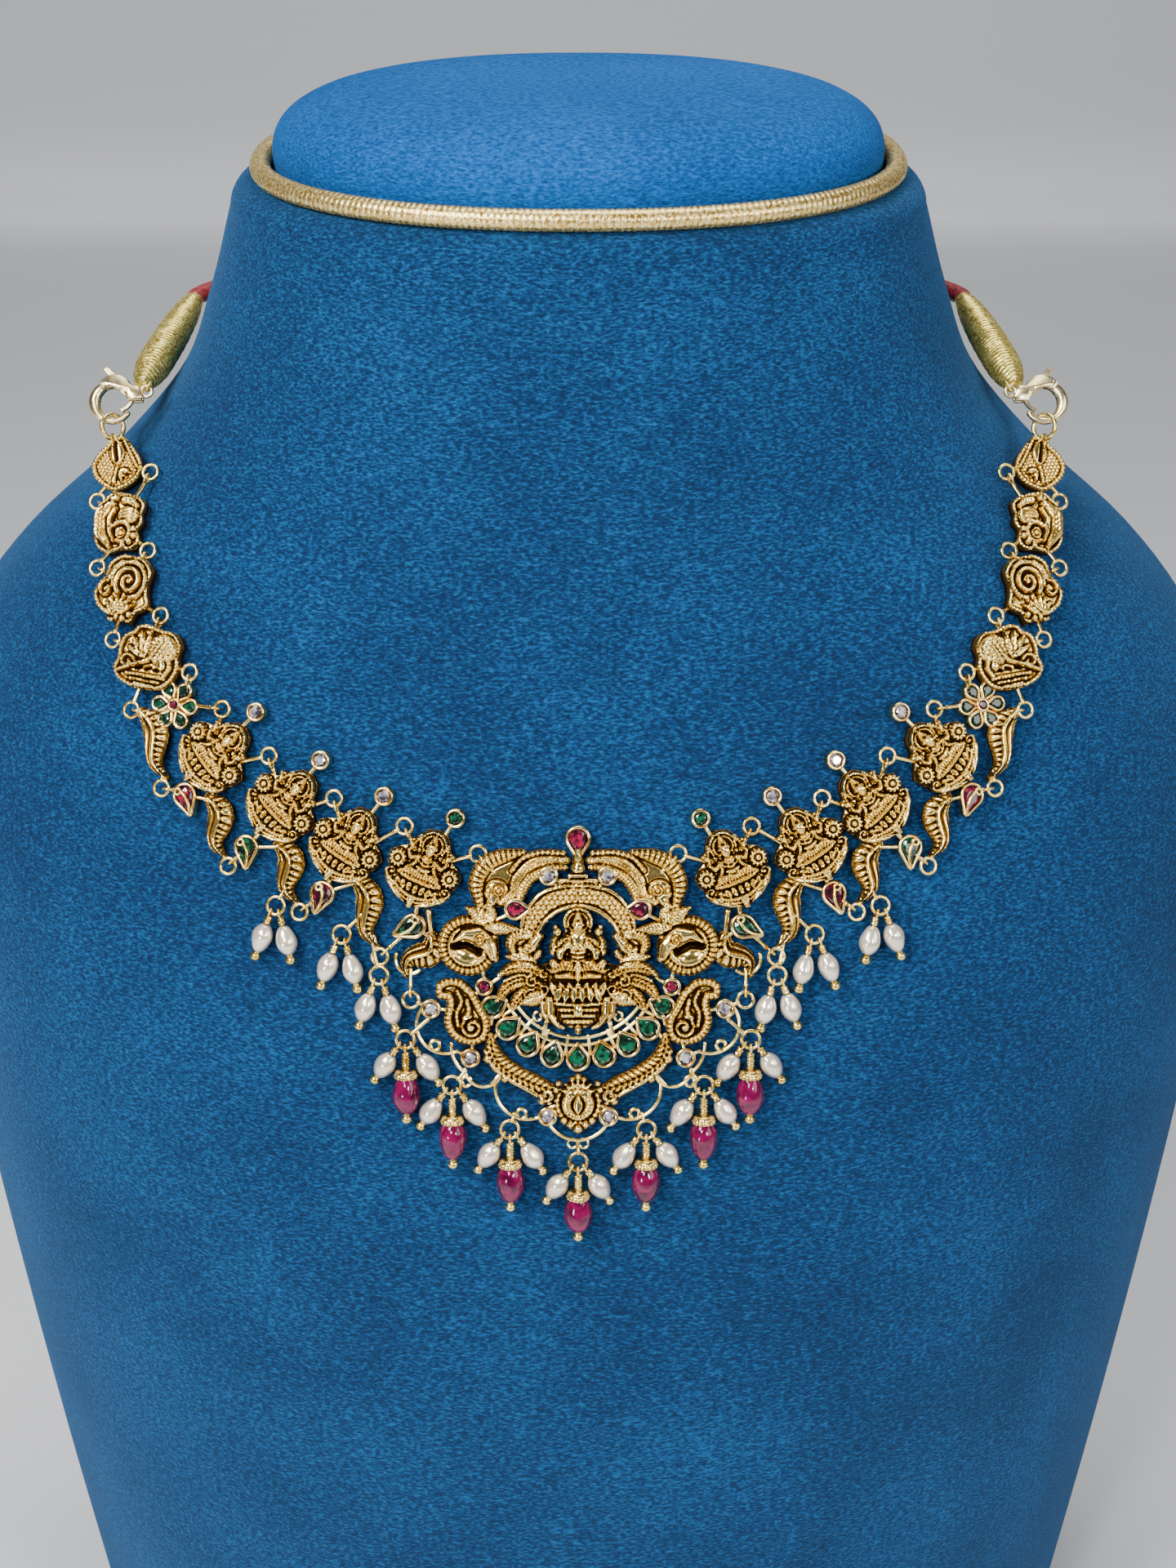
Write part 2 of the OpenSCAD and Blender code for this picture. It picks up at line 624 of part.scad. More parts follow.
module goddess_plaque(k) {
    name = str("plaque_", k);
    row = PLAQUE_TRIM[k - 1];
    difference() {
        union() {
            place(unit_frame(name)) {
                rotate([0, 0, row[5]])
                    plaque_body();
                plaque_settings(k, "bezel");
                // Solder bars to the two stones and to the leaf
                rod([row[0].x, row[0].y, 0.8], [row[0].x * 0.5, row[0].y * 0.5, 1.3], 0.8);
                rod([row[1].x * 0.92, row[1].y * 0.92, 0.75], [row[1].x * 0.55, row[1].y * 0.55, 1.25], 0.9);
                rod([row[3].x, row[3].y, 1], [row[3].x * 0.6, row[3].y * 0.6, 1.3], 0.9);
                rod([row[3].x, row[3].y, 0.8], [row[1].x, row[1].y, 0.8], 0.7);
                leaf_scroll(row[3], row[4], 2.6, 0.9);
                if (k == 4)
                    wire_arc([-4.4, -12.9], 2.2, 0.6, 150, 150, 1);
            }
            links_of(name);
            for (hanger = PAIR_HANGERS)
                if (hanger[0] == name)
                    drop_ring(unit_frame(name), hanger[1], hanger[2]);
        }
        place(unit_frame(name))
            plaque_settings(k, "pocket");
    }
}
// A ring that drops hang from, soldered to a unit
module drop_ring(f, at, anchor)
    link_ring(in_world(f, at), f[3], anchor_at(f, anchor), drop_ring_r);

// Leaf at the necklace's end, with rows of scales and a loop for the jump ring
module leaf_link() {
    place(unit_frame("leaf")) {
        boxed([for (p = petal(9.4, 8.2, 9)) p - [0, 4.9]]);
        for (row = [0:4], i = [0:row < 3 ? row + 1 : 6 - row])
            let (count = (row < 3 ? row + 2 : 7 - row), x = (i - (count - 1) / 2) * 1.25)
                knob([x, 2.2 - row * 1.25], 1.1, box_h + face_h - 0.1);
        rod([-2.4, 2.2, box_h + face_h], [0, 4.0, box_h + face_h], 0.55);
        rod([2.4, 2.2, box_h + face_h], [0, 4.0, box_h + face_h], 0.55);
    }
    link_loop_to(jump_foot, jump_out, in_world(unit_frame("leaf"), [-0.4, 2.6]));
    links_of("leaf");
}
// Peacock with a flower, between the leaf and the paisley
module peacock_link() {
    place(unit_frame("peacock")) {
        boxed([for (a = [0:12:348]) on_circle(a, 3.9 + 0.5 * cos(2 * a + 70) + 0.2 * cos(8 * a))]);
        base = box_h + face_h - 0.1;
        wire_arc([-1.1, -1.2], 1.5, 1, 100, 230, base);
        knob([-0.6, 1.5], 1.5, base + 0.2);
        rod([-0.2, 1.6, base + 0.2], [1.2, 1.9, base], 0.6);
        for (a = [0:60:300])
            knob([1.7, -1.3] + on_circle(a, 0.85), 0.85, base);
        knob([1.7, -1.3], 0.9, base + 0.3);
        for (a = [30:60:330])
            knob([1.9, 1.6] + on_circle(a, 0.65), 0.62, base);
        for (i = [0:3])
            rod([-2.7 + i * 0.5, -3.3, base], [-2.2 + i * 0.4, -1.8, base], 0.42);
    }
    links_of("peacock");
}
// Paisley over a lotus
module paisley_link() {
    place(unit_frame("paisley")) {
        boxed([for (a = [0:12:348]) on_circle(a, 4.5 + 0.45 * cos(2 * a + 100) + 0.2 * cos(7 * a))]);
        base = box_h + face_h - 0.1;
        wire_arc([0.3, 1.2], 1.5, 0.7, -30, 300, base);
        wire_arc([0.5, 1.1], 0.7, 0.5, 60, 280, base);
        for (a = [20:40:340])
            knob([0.3, 1.2] + on_circle(a, 2.5), 0.6, base);
        lotus_seat(5, 1.15, -2.6, base);
    }
    links_of("paisley");
}
// Bird with a fan tail
module bird_link() {
    place(unit_frame("bird")) {
        boxed([for (a = [0:10:350]) on_circle(a, 4.5 + 0.45 * cos(2 * a - 10) + 0.2 * cos(9 * a))]);
        base = box_h + face_h - 0.1;
        knob([-2.6, 0.2], 1.7, base + 0.2);
        rod([-3.1, 0.1, base + 0.2], [-4.3, -0.3, base], 0.6);
        rod([-2.3, -0.3, base + 0.2], [0.3, -2, base + 0.3], 1.8);
        for (a = [-14:22:96])
            rod([0.2, -1.1, base], concat([0.2, -1.1] + on_circle(a, 3.7), [base + 0.1]), 0.7);
        for (a = [-14:22:96])
            knob([0.2, -1.1] + on_circle(a, 3.7), 1.0, base);
        for (i = [0:3])
            knob([-2.6 + i * 1.15, -2.9 - 0.2 * i], 0.8, base);
    }
    links_of("bird");
}
// Flower of six stones with a centre ruby, and the feather leaf below it
FLOWER_R = 2.65;
PETAL_L = 2.3;
PETAL_W = 1.7;
HUB_D = 1.3;
module flower_settings(part) {
    round_setting(part, "ruby", [0, 0], HUB_D, 0.35);
    for (a = [20:60:320])
        tear_setting(part, "emerald", on_circle(a, FLOWER_R), a + 90, PETAL_L, PETAL_W, 0);
}
module flower_link()
    difference() {
        union() {
            place(unit_frame("flower")) {
                cylinder(h = 0.6, d = 2 * FLOWER_R, $fn = ROUND);
                flower_settings("bezel");
                leaf_scroll([-5.0, 1.6], [-7.1, -8.2], 2.6, 0.8);
                rod([-5.1, -1, 0.9], [-2.6, 0.4, 0.5], 0.8);
            }
            links_of("flower");
        }
        place(unit_frame("flower"))
            flower_settings("pocket");
    }

// Pendant, all soldered as one
FRINGE_R = 14.3;
FRINGE_STEP = 16;
FRINGE_HALF = 4;
SWAN_AT = [-16.9, 3.6];
PAISLEY_AT = [-18.0, -7.2];
PENDANT_DIAMONDS = [[-4.4, 13.7], [-22.1, -6.5], [-16.2, -14], [-4.6, -23]];
SIDE_RUBY_AT = [-9.4, 8.7];
SMALL_RUBY_AT = [-14.1, -3.1];
TOP_RUBY_AT = [0, 19.3];
function fringe_at(i) = on_circle(-90 + i * FRINGE_STEP, FRINGE_R);
module pendant_settings(part) {
    tear_setting(part, "ruby", TOP_RUBY_AT, 180, 4.3, 3, 0.3);
    for (i = [-FRINGE_HALF:FRINGE_HALF])
        tear_setting(part, "emerald", fringe_at(i), i * FRINGE_STEP, emerald_l, emerald_w, 0.1);
    both_sides() {
        tear_setting(part, "ruby", SIDE_RUBY_AT, -90, 3.2, 2.4, 0.9);
        round_setting(part, "ruby", SMALL_RUBY_AT, 1.9, 0.3);
        round_setting(part, "diamond", PENDANT_DIAMONDS[0], diamond_d, 0.4);
        for (i = [1:3])
            round_setting(part, "diamond", PENDANT_DIAMONDS[i], diamond_d, 0.2);
    }
}
module pendant_frame()
    color("goldenrod")
        difference() {
            union() {
                place(unit_frame("pendant"))
                    pendant_body();
                both_sides() {
                    links_of("pendant");
                    for (i = [0:2])
                        drop_ring(unit_frame("pendant"), CLUSTER_HANGERS[i][0], CLUSTER_HANGERS[i][1]);
                }
                drop_ring(unit_frame("pendant"), CLUSTER_HANGERS[3][0], CLUSTER_HANGERS[3][1]);
            }
            place(unit_frame("pendant"))
                pendant_settings("pocket");
        }
module pendant_body() {
    arch();
    throne_and_goddess();
    fringe();
    medallion();
    finial();
    pendant_settings("bezel");
    both_sides() {
        swan();
        crest_bird();
        inner_bird();
        paisley();
        frond();
        border_wires();
    }
}
// Pointed arch round the goddess, with scales
function arch_outline(w, foot, top) = concat(
    [for (t = [0:0.1:1]) [-w * pow(1 - t, 0.42), mix(foot, top, t)]],
    [for (t = [0.9:-0.1:0]) [w * pow(1 - t, 0.42), mix(foot, top, t)]]
);
module arch() {
    difference() {
        plate(arch_outline(9.4, 4.4, 12.4), 0.3, 2.1);
        plate(arch_outline(5.9, 3.2, 9.3), -1, 4);
    }
    for (i = [-4:4])
        for (k = [0, 1])
            knob([i * (1.5 + 0.12 * k), 9.9 + k - 0.11 * i * i], 1.1, 2.1);
    for (s = [-1, 1])
        knob([s * 7.6, 5.6], 2, 2);
}
module throne_and_goddess() {
    plate([[-5.6, -10], [5.6, -10], [7.8, -3.4], [4.6, -1.6], [-4.6, -1.6], [-7.8, -3.4]], 0.35, 2.2);
    translate([0, 1.2, -0.1])
        goddess_figure(1.22);
    translate([0, 0, 0.3])
        plate([
            [-2.4, -2.4], [2.4, -2.4], [3.4, 2.6], [3.3, 5.2], [1.8, 9.8],
            [-1.8, 9.8], [-3.3, 5.2], [-3.4, 2.6]
        ], 0, 2);
    lotus_seat(7, 1.5, -4.2, 2.1);
    lotus_seat(5, 1.5, -6.6, 2.2);
    for (s = [-1, 1]) {
        veined_leaf([s * 5.2, -2.4], s * -62, 6.6, 2.4, 0.5, 2);
        veined_leaf([s * 5.6, -3.8], s * -88, 6.2, 2.2, 0.55, 1.9);
        wire_arc([s * 6.2, -8.5], 1.1, 0.6, 0, 359, 1.2);
    }
    rod([-7, -6.2, 1], [7, -6.2, 1], 0.9);
}
module fringe() {
    half_sweep = FRINGE_HALF * FRINGE_STEP + 4;
    wire_arc([0, 0], FRINGE_R - 2.2, 0.66, -90 - half_sweep, 2 * half_sweep, 1.1);
    wire_arc([0, 0], FRINGE_R - 3.3, 0.6, -90 - half_sweep + 6, 2 * half_sweep - 12, 1);
    // Struts across the two wires
    for (i = [-3.5:1:3.5])
        rod(
            concat(on_circle(-90 + i * FRINGE_STEP, FRINGE_R - 3.5), [1.05]),
            concat(on_circle(-90 + i * FRINGE_STEP, FRINGE_R - 0.4), [0.95]), 0.6
        );
    for (s = [-1, 1])
        rod([s * 4.8, -8.6, 1.2], [s * 5.2, -10.4, 1], 0.9);
}
module finial() {
    rod([0, 17.4, 1.2], [0, 11.6, 1.4], 1.3);
    knob([0, 16.3], 1.7, 1.5);
    knob([0, 14.5], 2.2, 1.4);
    rod([0, 13.4, 1.2], [-4.4, 13.7, 1], 1);
    rod([0, 13.4, 1.2], [4.4, 13.7, 1], 1);
}
module medallion() {
    translate([0, -20.7, 0.3])
        cylinder(h = 1.5, r = 3.5, $fn = ROUND);
    for (a = [0:30:330])
        knob([0, -20.7] + on_circle(a, 3.3), 0.95, 1.7);
    for (a = [-60:30:60])
        rod([0, -22.3, 1.9], concat([0, -22.3] + on_circle(90 + a, 3), [1.9]), 0.8);
    rod([0, -17.6, 1], [0, -16.2, 0.9], 1.2);
    rod([0, -23.8, 1.1], [0, -25, 1.1], 0.9);
    // Wire that carries the middle drop
    wire_arc([0, -21.6], 5.1, 0.6, 210, 120, 1.1);
    wire_arc([-0.85, -27.2], 0.7, 0.45, 0, 359, 1.1);
    wire_arc([0.85, -27.2], 0.7, 0.45, 0, 359, 1.1);
    rod([-3.2, -23, 1], [3.2, -23, 1], 1);
}
module swan() {
    wire_arc(SWAN_AT, 3.4, 1.9, 70, 330, 1.5);
    for (a = [100:32:388])
        knob(SWAN_AT + on_circle(a, 3.45), 1.5, 2.1);
    knob(SWAN_AT + [-0.2, 0.4], 2.6, 2.3);
    rod([SWAN_AT.x, SWAN_AT.y + 0.4, 1.8], [SWAN_AT.x + 3.4, SWAN_AT.y - 0.8, 1.5], 1.5);
    rod([SWAN_AT.x - 0.8, SWAN_AT.y + 0.5, 2.3], [SWAN_AT.x - 2.2, SWAN_AT.y - 0.2, 2.2], 0.8);
    for (a = [-38:26:40])
        veined_leaf([SWAN_AT.x + 2, SWAN_AT.y + 2.4], a, 5, 2, 0.6, 1.8, 1);
    rod([-14.2, 6.6, 1.2], [-9.6, 7.6, 1.2], 1.1);
    rod([-13.6, 2.4, 1.2], [-8.2, 3.2, 1.2], 1.1);
    rod([-14.4, 1.4, 1.1], [-14, -3, 1], 1);
}
module crest_bird() {
    wire_arc([-11.6, 11.6], 3.1, 1.7, 30, 300, 1.5);
    for (a = [50:32:306])
        knob([-11.6, 11.6] + on_circle(a, 3.15), 1.4, 2);
    knob([-11.8, 11.9], 2.3, 2.1);
    rod([-11.4, 12.3, 2], [-10, 13.2, 1.7], 0.9);
    // Beaded curve from the bird to the finial
    for (t = [0:0.125:1])
        knob([mix(-9.6, -1.4, t), 13.6 + 2.7 * sin(160 * t) - 1.2 * t], 1.2, 1.5);
    rod([-9.2, 14, 1.2], [-6.2, 15.6, 1.2], 0.9);
    rod([-6.4, 15.6, 1.2], [-2.8, 14.8, 1.2], 0.9);
    rod([-3, 14.9, 1.2], [-0.6, 13.4, 1.2], 0.9);
    rod([-9.2, 9.8, 1.2], [-8.6, 7.4, 1.2], 1.1);
}
module inner_bird() {
    knob([-7.4, 4.4], 1.9, 1.9);
    rod([-7.2, 4.2, 1.7], [-5, 2, 1.7], 1.6);
    rod([-5.6, 2.4, 1.6], [-3.2, -1.8, 1.6], 1.4);
    veined_leaf([-5.4, 0.6], 62, 5, 2.1, 0.5, 1.8, 2);
    rod([-8.1, 4.6, 1.9], [-9.5, 4.2, 1.6], 0.7);
}
module paisley() {
    translate([PAISLEY_AT.x, PAISLEY_AT.y, 0])
        rotate([0, 0, 14])
            plate(teardrop(7.6, 6.6, 10), 0.3, 1.7);
    wire_arc(PAISLEY_AT, 1.9, 0.9, -60, 300, 1.8);
    wire_arc(PAISLEY_AT + [0.2, 0.1], 0.8, 0.7, 40, 290, 1.8);
    for (a = [180:24:420])
        knob(PAISLEY_AT + on_circle(a, 3.1), 0.8, 1.65);
    rod(concat(PAISLEY_AT + [-2.4, 0.5], [1]), [-21.6, -6.5, 1], 1);
    rod(concat(PAISLEY_AT + [2.6, 0.6], [1]), [-12.9, -6.4, 0.9], 1);
    rod(concat(PAISLEY_AT + [0.6, -2.6], [1]), [-16.4, -13.2, 0.9], 0.9);
    rod([-15.8, -4.6, 1], [-14.2, -3.4, 0.9], 1);
    rod([-14.1, -3.1, 0.8], [-11.6, -3.2, 1.1], 0.9);
    rod([-13.9, -4.2, 0.8], [-12.9, -5.4, 0.8], 0.9);
}
// Feather frond below the fringe, a ribbed curved plate
module frond() {
    spine = [for (t = [0:0.125:1]) [mix(-14.4, -3.8, t), mix(-13.2, -20.2, t) - 2.1 * sin(180 * t)]];
    half = [for (t = [0:0.125:1]) 0.55 + 1.0 * sin(180 * pow(t, 0.8))];
    plate(concat(
        [for (i = [0:8]) spine[i] + [0.5, 0.85] * half[i]],
        [for (i = [8:-1:0]) spine[i] - [0.5, 0.85] * half[i]]
    ), 0.4, 1.7);
    for (i = [0:7])
        let (mid = (spine[i] + spine[i + 1]) / 2, r = half[i])
            rod(
                [mid.x - 0.2 * r, mid.y - 0.8 * r, 1.7],
                [mid.x + 0.75 * r, mid.y + 0.75 * r, 1.8], 0.62
            );
    rod([-14.2, -13, 0.9], [-13.2, -10.4, 0.8], 0.9);
    rod([-14.6, -13.4, 0.9], [-16, -14, 0.9], 0.9);
    rod([-8.6, -17.8, 1], [-7.6, -14.4, 0.8], 0.8);
    rod([-4.6, -19.4, 1], [-2.6, -20.2, 1], 1);
}
module border_wires() {
    // Open scrolls between the rings of the drops
    wire_arc([-19.9, -9], 4.4, 0.6, 128, 165, 1);
    rod([-18.2, -13, 1], [-16.6, -13.8, 0.8], 0.6);
    wire_arc([-13.9, -12.2], 5.2, 0.6, 176, 58, 1);
    wire_arc([-14.2, -15.6], 2.9, 0.6, 184, 116, 1);
    rod([-13.2, -18.2, 1], [-11.8, -16.6, 1], 0.7);
    wire_arc([-7.6, -18.6], 4.9, 0.6, 168, 114, 1);
    rod([-12.3, -17.8, 1], [-11.4, -16.4, 1], 0.7);
    rod([-6.4, -23.3, 1], [-4.8, -23, 0.9], 0.6);
    rod([-4.6, -21.8, 1], [-3, -21.2, 1], 0.9);
}

// Drops: every drop hangs by a small loop from the ring it belongs to
DROP_GAP = 0.4;
function down_in(f) = let (d = [0, 0, -1] + f[3].z * f[3]) unit(d);
// Where the drop's axis starts, and its direction, laid along the bust
function drop_line(f, at, hang, turn, half, l) =
    let (
        ring = in_world(f, at),
        down = down_in(f),
        side = cross(f[3], down),
        away = down * cos(turn) + side * sin(turn),
        start = ring + (down * cos(hang) + side * sin(hang)) * drop_ring_r,
        far = start + away * l,
        sink = min(0, (skin_behind(far) - far) * f[3] + half + DROP_GAP)
    )
    [start, unit(far + f[3] * sink - start), f[3]];
function drop_frame(line) =
    let (across = unit(cross(line[2], line[1])))
    [line[0], across, cross(line[1], across), line[1]];
// Head pin in a drop's frame: loop, wrapped neck, shaft and ball
module head_pin(start, l) {
    rotate([90, 0, 90])
        wire_ring(pin_loop_r, pin_d);
    translate([0, 0, pin_loop_r])
        cylinder(h = start - pin_loop_r, d = pin_d * 2.1, $fn = ROUND);
    translate([0, 0, start - 0.1])
        cylinder(h = l + 0.3, d = pin_d, $fn = ROUND);
    translate([0, 0, start + l + ball_d / 2])
        sphere(d = ball_d, $fn = ROUND);
}
// Bead profile of a length and width, drilled
module bead(start, l, w, power)
    translate([0, 0, start + 0.12])
        rotate_extrude($fn = ROUND)
            polygon(concat(
                [[bore_d / 2, 0]],
                [for (t = [0:0.125:1]) [mix(bore_d / 2 + 0.25, w / 2, pow(sin(180 * t), power)), (l - 0.2) * t]],
                [[bore_d / 2, l - 0.2]]
            ));
PEARL_START = 2;
RUBY_START = 3.9;
PAIR_START = 1.9;
CLUSTER_HANG = 50;
PAIR_HANG = 32;
module cluster_part(k, part) {
    left = k <= 4;
    row = CLUSTER_HANGERS[left ? k - 1 : 7 - k];
    f = unit_frame("pendant");
    on_side(left ? "left" : "right") {
        if (part == "ruby" || part == "pins" || part == "cap")
            place(drop_frame(drop_line(f, row[0], 0, 0, ruby_w / 2, 8))) {
                if (part == "ruby")
                    bead(RUBY_START, ruby_l, ruby_w, 0.62);
                if (part == "pins")
                    head_pin(RUBY_START, ruby_l);
                if (part == "cap")
                    bead_cap();
            }
        for (s = [-1, 1])
            place(drop_frame(drop_line(f, row[0], s * CLUSTER_HANG, s * pearl_spread, pearl_w / 2, 5))) {
                if (part == "pearls")
                    bead(PEARL_START, pearl_l, pearl_w, 0.7);
                if (part == "pins")
                    head_pin(PEARL_START, pearl_l);
            }
    }
}
// Fluted cup over the top of a ruby bead, open below
module bead_cap()
    translate([0, 0, RUBY_START - 0.6])
        difference() {
            cylinder(h = 1.2, d1 = 1.5, d2 = 3.5, $fn = ROUND);
            translate([0, 0, 0.62])
                cylinder(h = 1, d1 = 2.1, d2 = 4.3, $fn = ROUND);
            translate([0, 0, -1])
                cylinder(h = 3, d = pin_d * 2.1 + 0.2, $fn = ROUND);
        }
module pair_part(part)
    for (hanger = PAIR_HANGERS, s = [-1, 1])
        place(drop_frame(drop_line(
            unit_frame(hanger[0]), hanger[1], s * PAIR_HANG, s * pair_spread, pearl_w / 2, 5
        ))) {
            if (part == "pearls")
                bead(PAIR_START, pearl_l, pearl_w, 0.7);
            if (part == "pins")
                head_pin(PAIR_START, pearl_l);
        }
module head_pins(side) {
    color("gold") {
        if (side == "centre")
            cluster_part(4, "pins");
        else {
            on_side(side)
                pair_part("pins");
            for (k = side == "left" ? [1:3] : [5:7])
                cluster_part(k, "pins");
        }
    }
}

// Stones of the pendant and of the side units
module pendant_stones(stone, tint)
    color(tint)
        place(unit_frame("pendant"))
            pendant_settings(stone);
module side_stones(stone, tint)
    color(tint)
        both_sides() {
            if (stone != "diamond")
                place(unit_frame("flower"))
                    flower_settings(stone);
            for (k = [1:4])
                place(unit_frame(str("plaque_", k)))
                    plaque_settings(k, stone);
        }

// Clasp: the hook's frame looks at the viewer, its tail to the right
hook_frame = [HOOK_AT, [1, 0, 0], cross(VIEW_DIR, [1, 0, 0]), VIEW_DIR];
// Pivot of the lever, on the hook's circle
PIVOT_ANGLE = 45;
pivot = on_circle(PIVOT_ANGLE, hook_r);
// The jump ring hangs from the hook's lowest point, turned half open
JUMP_DROP = hook_r + jump_r - jump_wire / 2 - hook_wire / 2 - 0.16;
JUMP_TURN = 50;
jump_centre = in_world(hook_frame, [0, -JUMP_DROP, 0]);
jump_out = unit(hook_frame[1] * cos(JUMP_TURN) + hook_frame[3] * sin(JUMP_TURN));
jump_foot = jump_centre - hook_frame[2] * jump_r;
// Opening of the hook, closed by the lever
HOOK_FROM = 100;
HOOK_SWEEP = 220;
// The lever's gate curves in from here to its end, behind the hook's tip
GATE_BEND = 6;
GATE_END = -46;
BOSS_WALL = 0.3;
function gate_r(a) = mix(
    hook_r + 0.42, hook_r - hook_wire / 2 - lever_gap, max(0, min(1, (GATE_BEND - a) / 40))
);
TAIL = [5.3, 1.9];
module clasp() {
    color("gold")
        place(hook_frame) {
            difference() {
                union() {
                    wire_arc([0, 0], hook_r, hook_wire, HOOK_FROM - 6, HOOK_SWEEP + 6, 0);
                    translate([0, 0, -clasp_t / 2])
                        linear_extrude(clasp_t)
                            polygon(concat(
                                [for (a = [4:12:124]) on_circle(a, hook_r + 0.85)],
                                [for (a = [124:-12:4]) on_circle(a, hook_r - 0.5)],
                                [on_circle(2, 4.7), on_circle(34, 4.8)]
                            ));
                }
                // Slot for the lever
                translate([0, 0, -lever_t / 2 - lever_gap])
                    linear_extrude(lever_t + 2 * lever_gap)
                        polygon(concat(
                            [for (a = [-8:12:40]) on_circle(a, hook_r + 1)],
                            [[1.6, 6], [-2.2, 6], [-0.6, 1.8]],
                            [on_circle(45, 1.2), on_circle(-8, 1.2)]
                        ));
            }
            // Pin through the two cheeks
            translate([pivot.x, pivot.y, -clasp_t / 2 + 0.05])
                cylinder(h = clasp_t - 0.1, d = hinge_d, $fn = ROUND);
            // Eye at the tail
            translate([TAIL.x, TAIL.y, 0])
                wire_ring(EYE_R, EYE_WIRE);
        }
}
// Lever: thumb tab, boss and gate
module clasp_lever() {
    color("goldenrod")
        place(hook_frame)
            translate([0, 0, -lever_t / 2])
                difference() {
                    union() {
                        linear_extrude(lever_t)
                            polygon(concat(
                                [for (a = [GATE_END:10:54]) on_circle(a, gate_r(a))],
                                [[1.5, 3.4], [-0.8, 5.7], [-1.5, 5.2], [0.6, 2.9], [1.3, 1.6]],
                                [for (a = [18:-16:GATE_END]) on_circle(a, gate_r(a) - 0.7)]
                            ));
                        // Boss all round the pin
                        translate([pivot.x, pivot.y, 0])
                            cylinder(h = lever_t, r = hinge_d / 2 + hinge_gap + BOSS_WALL, $fn = ROUND);
                    }
                    translate([pivot.x, pivot.y, -1])
                        cylinder(h = 3, d = hinge_d + 2 * hinge_gap, $fn = ROUND);
                }
}
module jump_ring() {
    color("gold")
        place([jump_centre, hook_frame[2], cross(jump_out, hook_frame[2]), jump_out])
            wire_ring(jump_r, jump_wire);
}
// The leaf's loop round the jump ring's lowest wire
LEAF_LOOP = 0.95;
module link_loop_to(foot, out, anchor) {
    up = hook_frame[2];
    place([foot - up * (LEAF_LOOP - jump_wire), out, up, cross(out, up)])
        wire_ring(LEAF_LOOP, 0.5);
    rod(foot - up * (2 * LEAF_LOOP - jump_wire), anchor, 0.9);
}

// Zari winding: a spindle of gold thread, with an eye through the clasp's tail
EYE_R = 0.85;
EYE_WIRE = 0.6;
EYE_HOLD = on_circle(60, EYE_R);
winding_eye = in_world(hook_frame, concat(TAIL + EYE_HOLD, [0]));
EYE_OUT = unit(hook_frame[1] * EYE_HOLD.x + hook_frame[2] * EYE_HOLD.y);
WINDING_PROFILE = [[0, 0.36], [0.08, 0.72], [0.2, 0.96], [0.36, 1], [0.6, 0.96], [0.82, 0.82], [0.94, 0.66], [1, 0.54]];
module zari_winding() {
    axis = unit(WINDING_TO - WINDING_FROM);
    l = norm(WINDING_TO - WINDING_FROM);
    side = unit(cross(axis, [0, 0, 1]));
    color("khaki") {
        place([WINDING_FROM, side, cross(axis, side), axis])
            rotate_extrude($fn = ROUND)
                polygon(concat(
                    [[0, 0]],
                    [for (row = WINDING_PROFILE) [row[1] * winding_d / 2, row[0] * (l - 0.1)]],
                    [[0, l - 0.1]]
                ));
        place([winding_eye, cross(EYE_OUT, VIEW_DIR), EYE_OUT, VIEW_DIR])
            rotate([0, 90, 0])
                wire_ring(loop_r, loop_wire);
        rod(winding_eye - VIEW_DIR * loop_r, WINDING_FROM + axis * 0.4, 0.9);
    }
}
module cord_back() {
    color("firebrick")
        tube(concat(CORD_HALF, CORD_MIDDLE, [for (p = backwards(CORD_HALF)) flip(p)]), cord_d, 8);
}

function drawn(name) = node == "all" || node == name;
if (drawn("bust")) bust();
if (drawn("neck_cap")) neck_cap();
if (drawn("neck_trim")) neck_trim();
if (drawn("pendant_frame")) pendant_frame();
for (side = ["left", "right"]) {
    if (drawn(str("leaf_link_", side))) on_side(side) color("goldenrod") leaf_link();
    if (drawn(str("peacock_link_", side))) on_side(side) color("goldenrod") peacock_link();
    if (drawn(str("paisley_link_", side))) on_side(side) color("goldenrod") paisley_link();
    if (drawn(str("bird_link_", side))) on_side(side) color("goldenrod") bird_link();
    if (drawn(str("flower_link_", side))) on_side(side) color("goldenrod") flower_link();
    for (k = [1:4])
        if (drawn(str("goddess_plaque_", side, "_", k))) on_side(side) color("goldenrod") goddess_plaque(k);
    if (drawn(str("clasp_", side))) on_side(side) clasp();
    if (drawn(str("clasp_lever_", side))) on_side(side) clasp_lever();
    if (drawn(str("jump_ring_", side))) on_side(side) jump_ring();
    if (drawn(str("zari_winding_", side))) on_side(side) zari_winding();
    if (drawn(str("pearl_pairs_", side))) on_side(side) color("ivory") pair_part("pearls");
}
if (drawn("cord_back")) cord_back();
if (drawn("pendant_rubies")) pendant_stones("ruby", "crimson");
if (drawn("pendant_emeralds")) pendant_stones("emerald", "seagreen");
if (drawn("pendant_diamonds")) pendant_stones("diamond", "white");
if (drawn("side_rubies")) side_stones("ruby", "crimson");
if (drawn("side_emeralds")) side_stones("emerald", "seagreen");
if (drawn("side_diamonds")) side_stones("diamond", "white");
for (k = [1:7]) {
    if (drawn(str("ruby_bead_", k))) color("mediumvioletred") cluster_part(k, "ruby");
    if (drawn(str("cluster_pearls_", k))) color("ivory") cluster_part(k, "pearls");
}
if (drawn("bead_caps")) color("gold") for (k = [1:7]) cluster_part(k, "cap");
for (side = ["left", "centre", "right"])
    if (drawn(str("head_pins_", side))) head_pins(side);
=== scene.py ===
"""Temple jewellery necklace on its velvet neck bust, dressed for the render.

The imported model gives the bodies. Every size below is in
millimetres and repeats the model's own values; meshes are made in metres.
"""

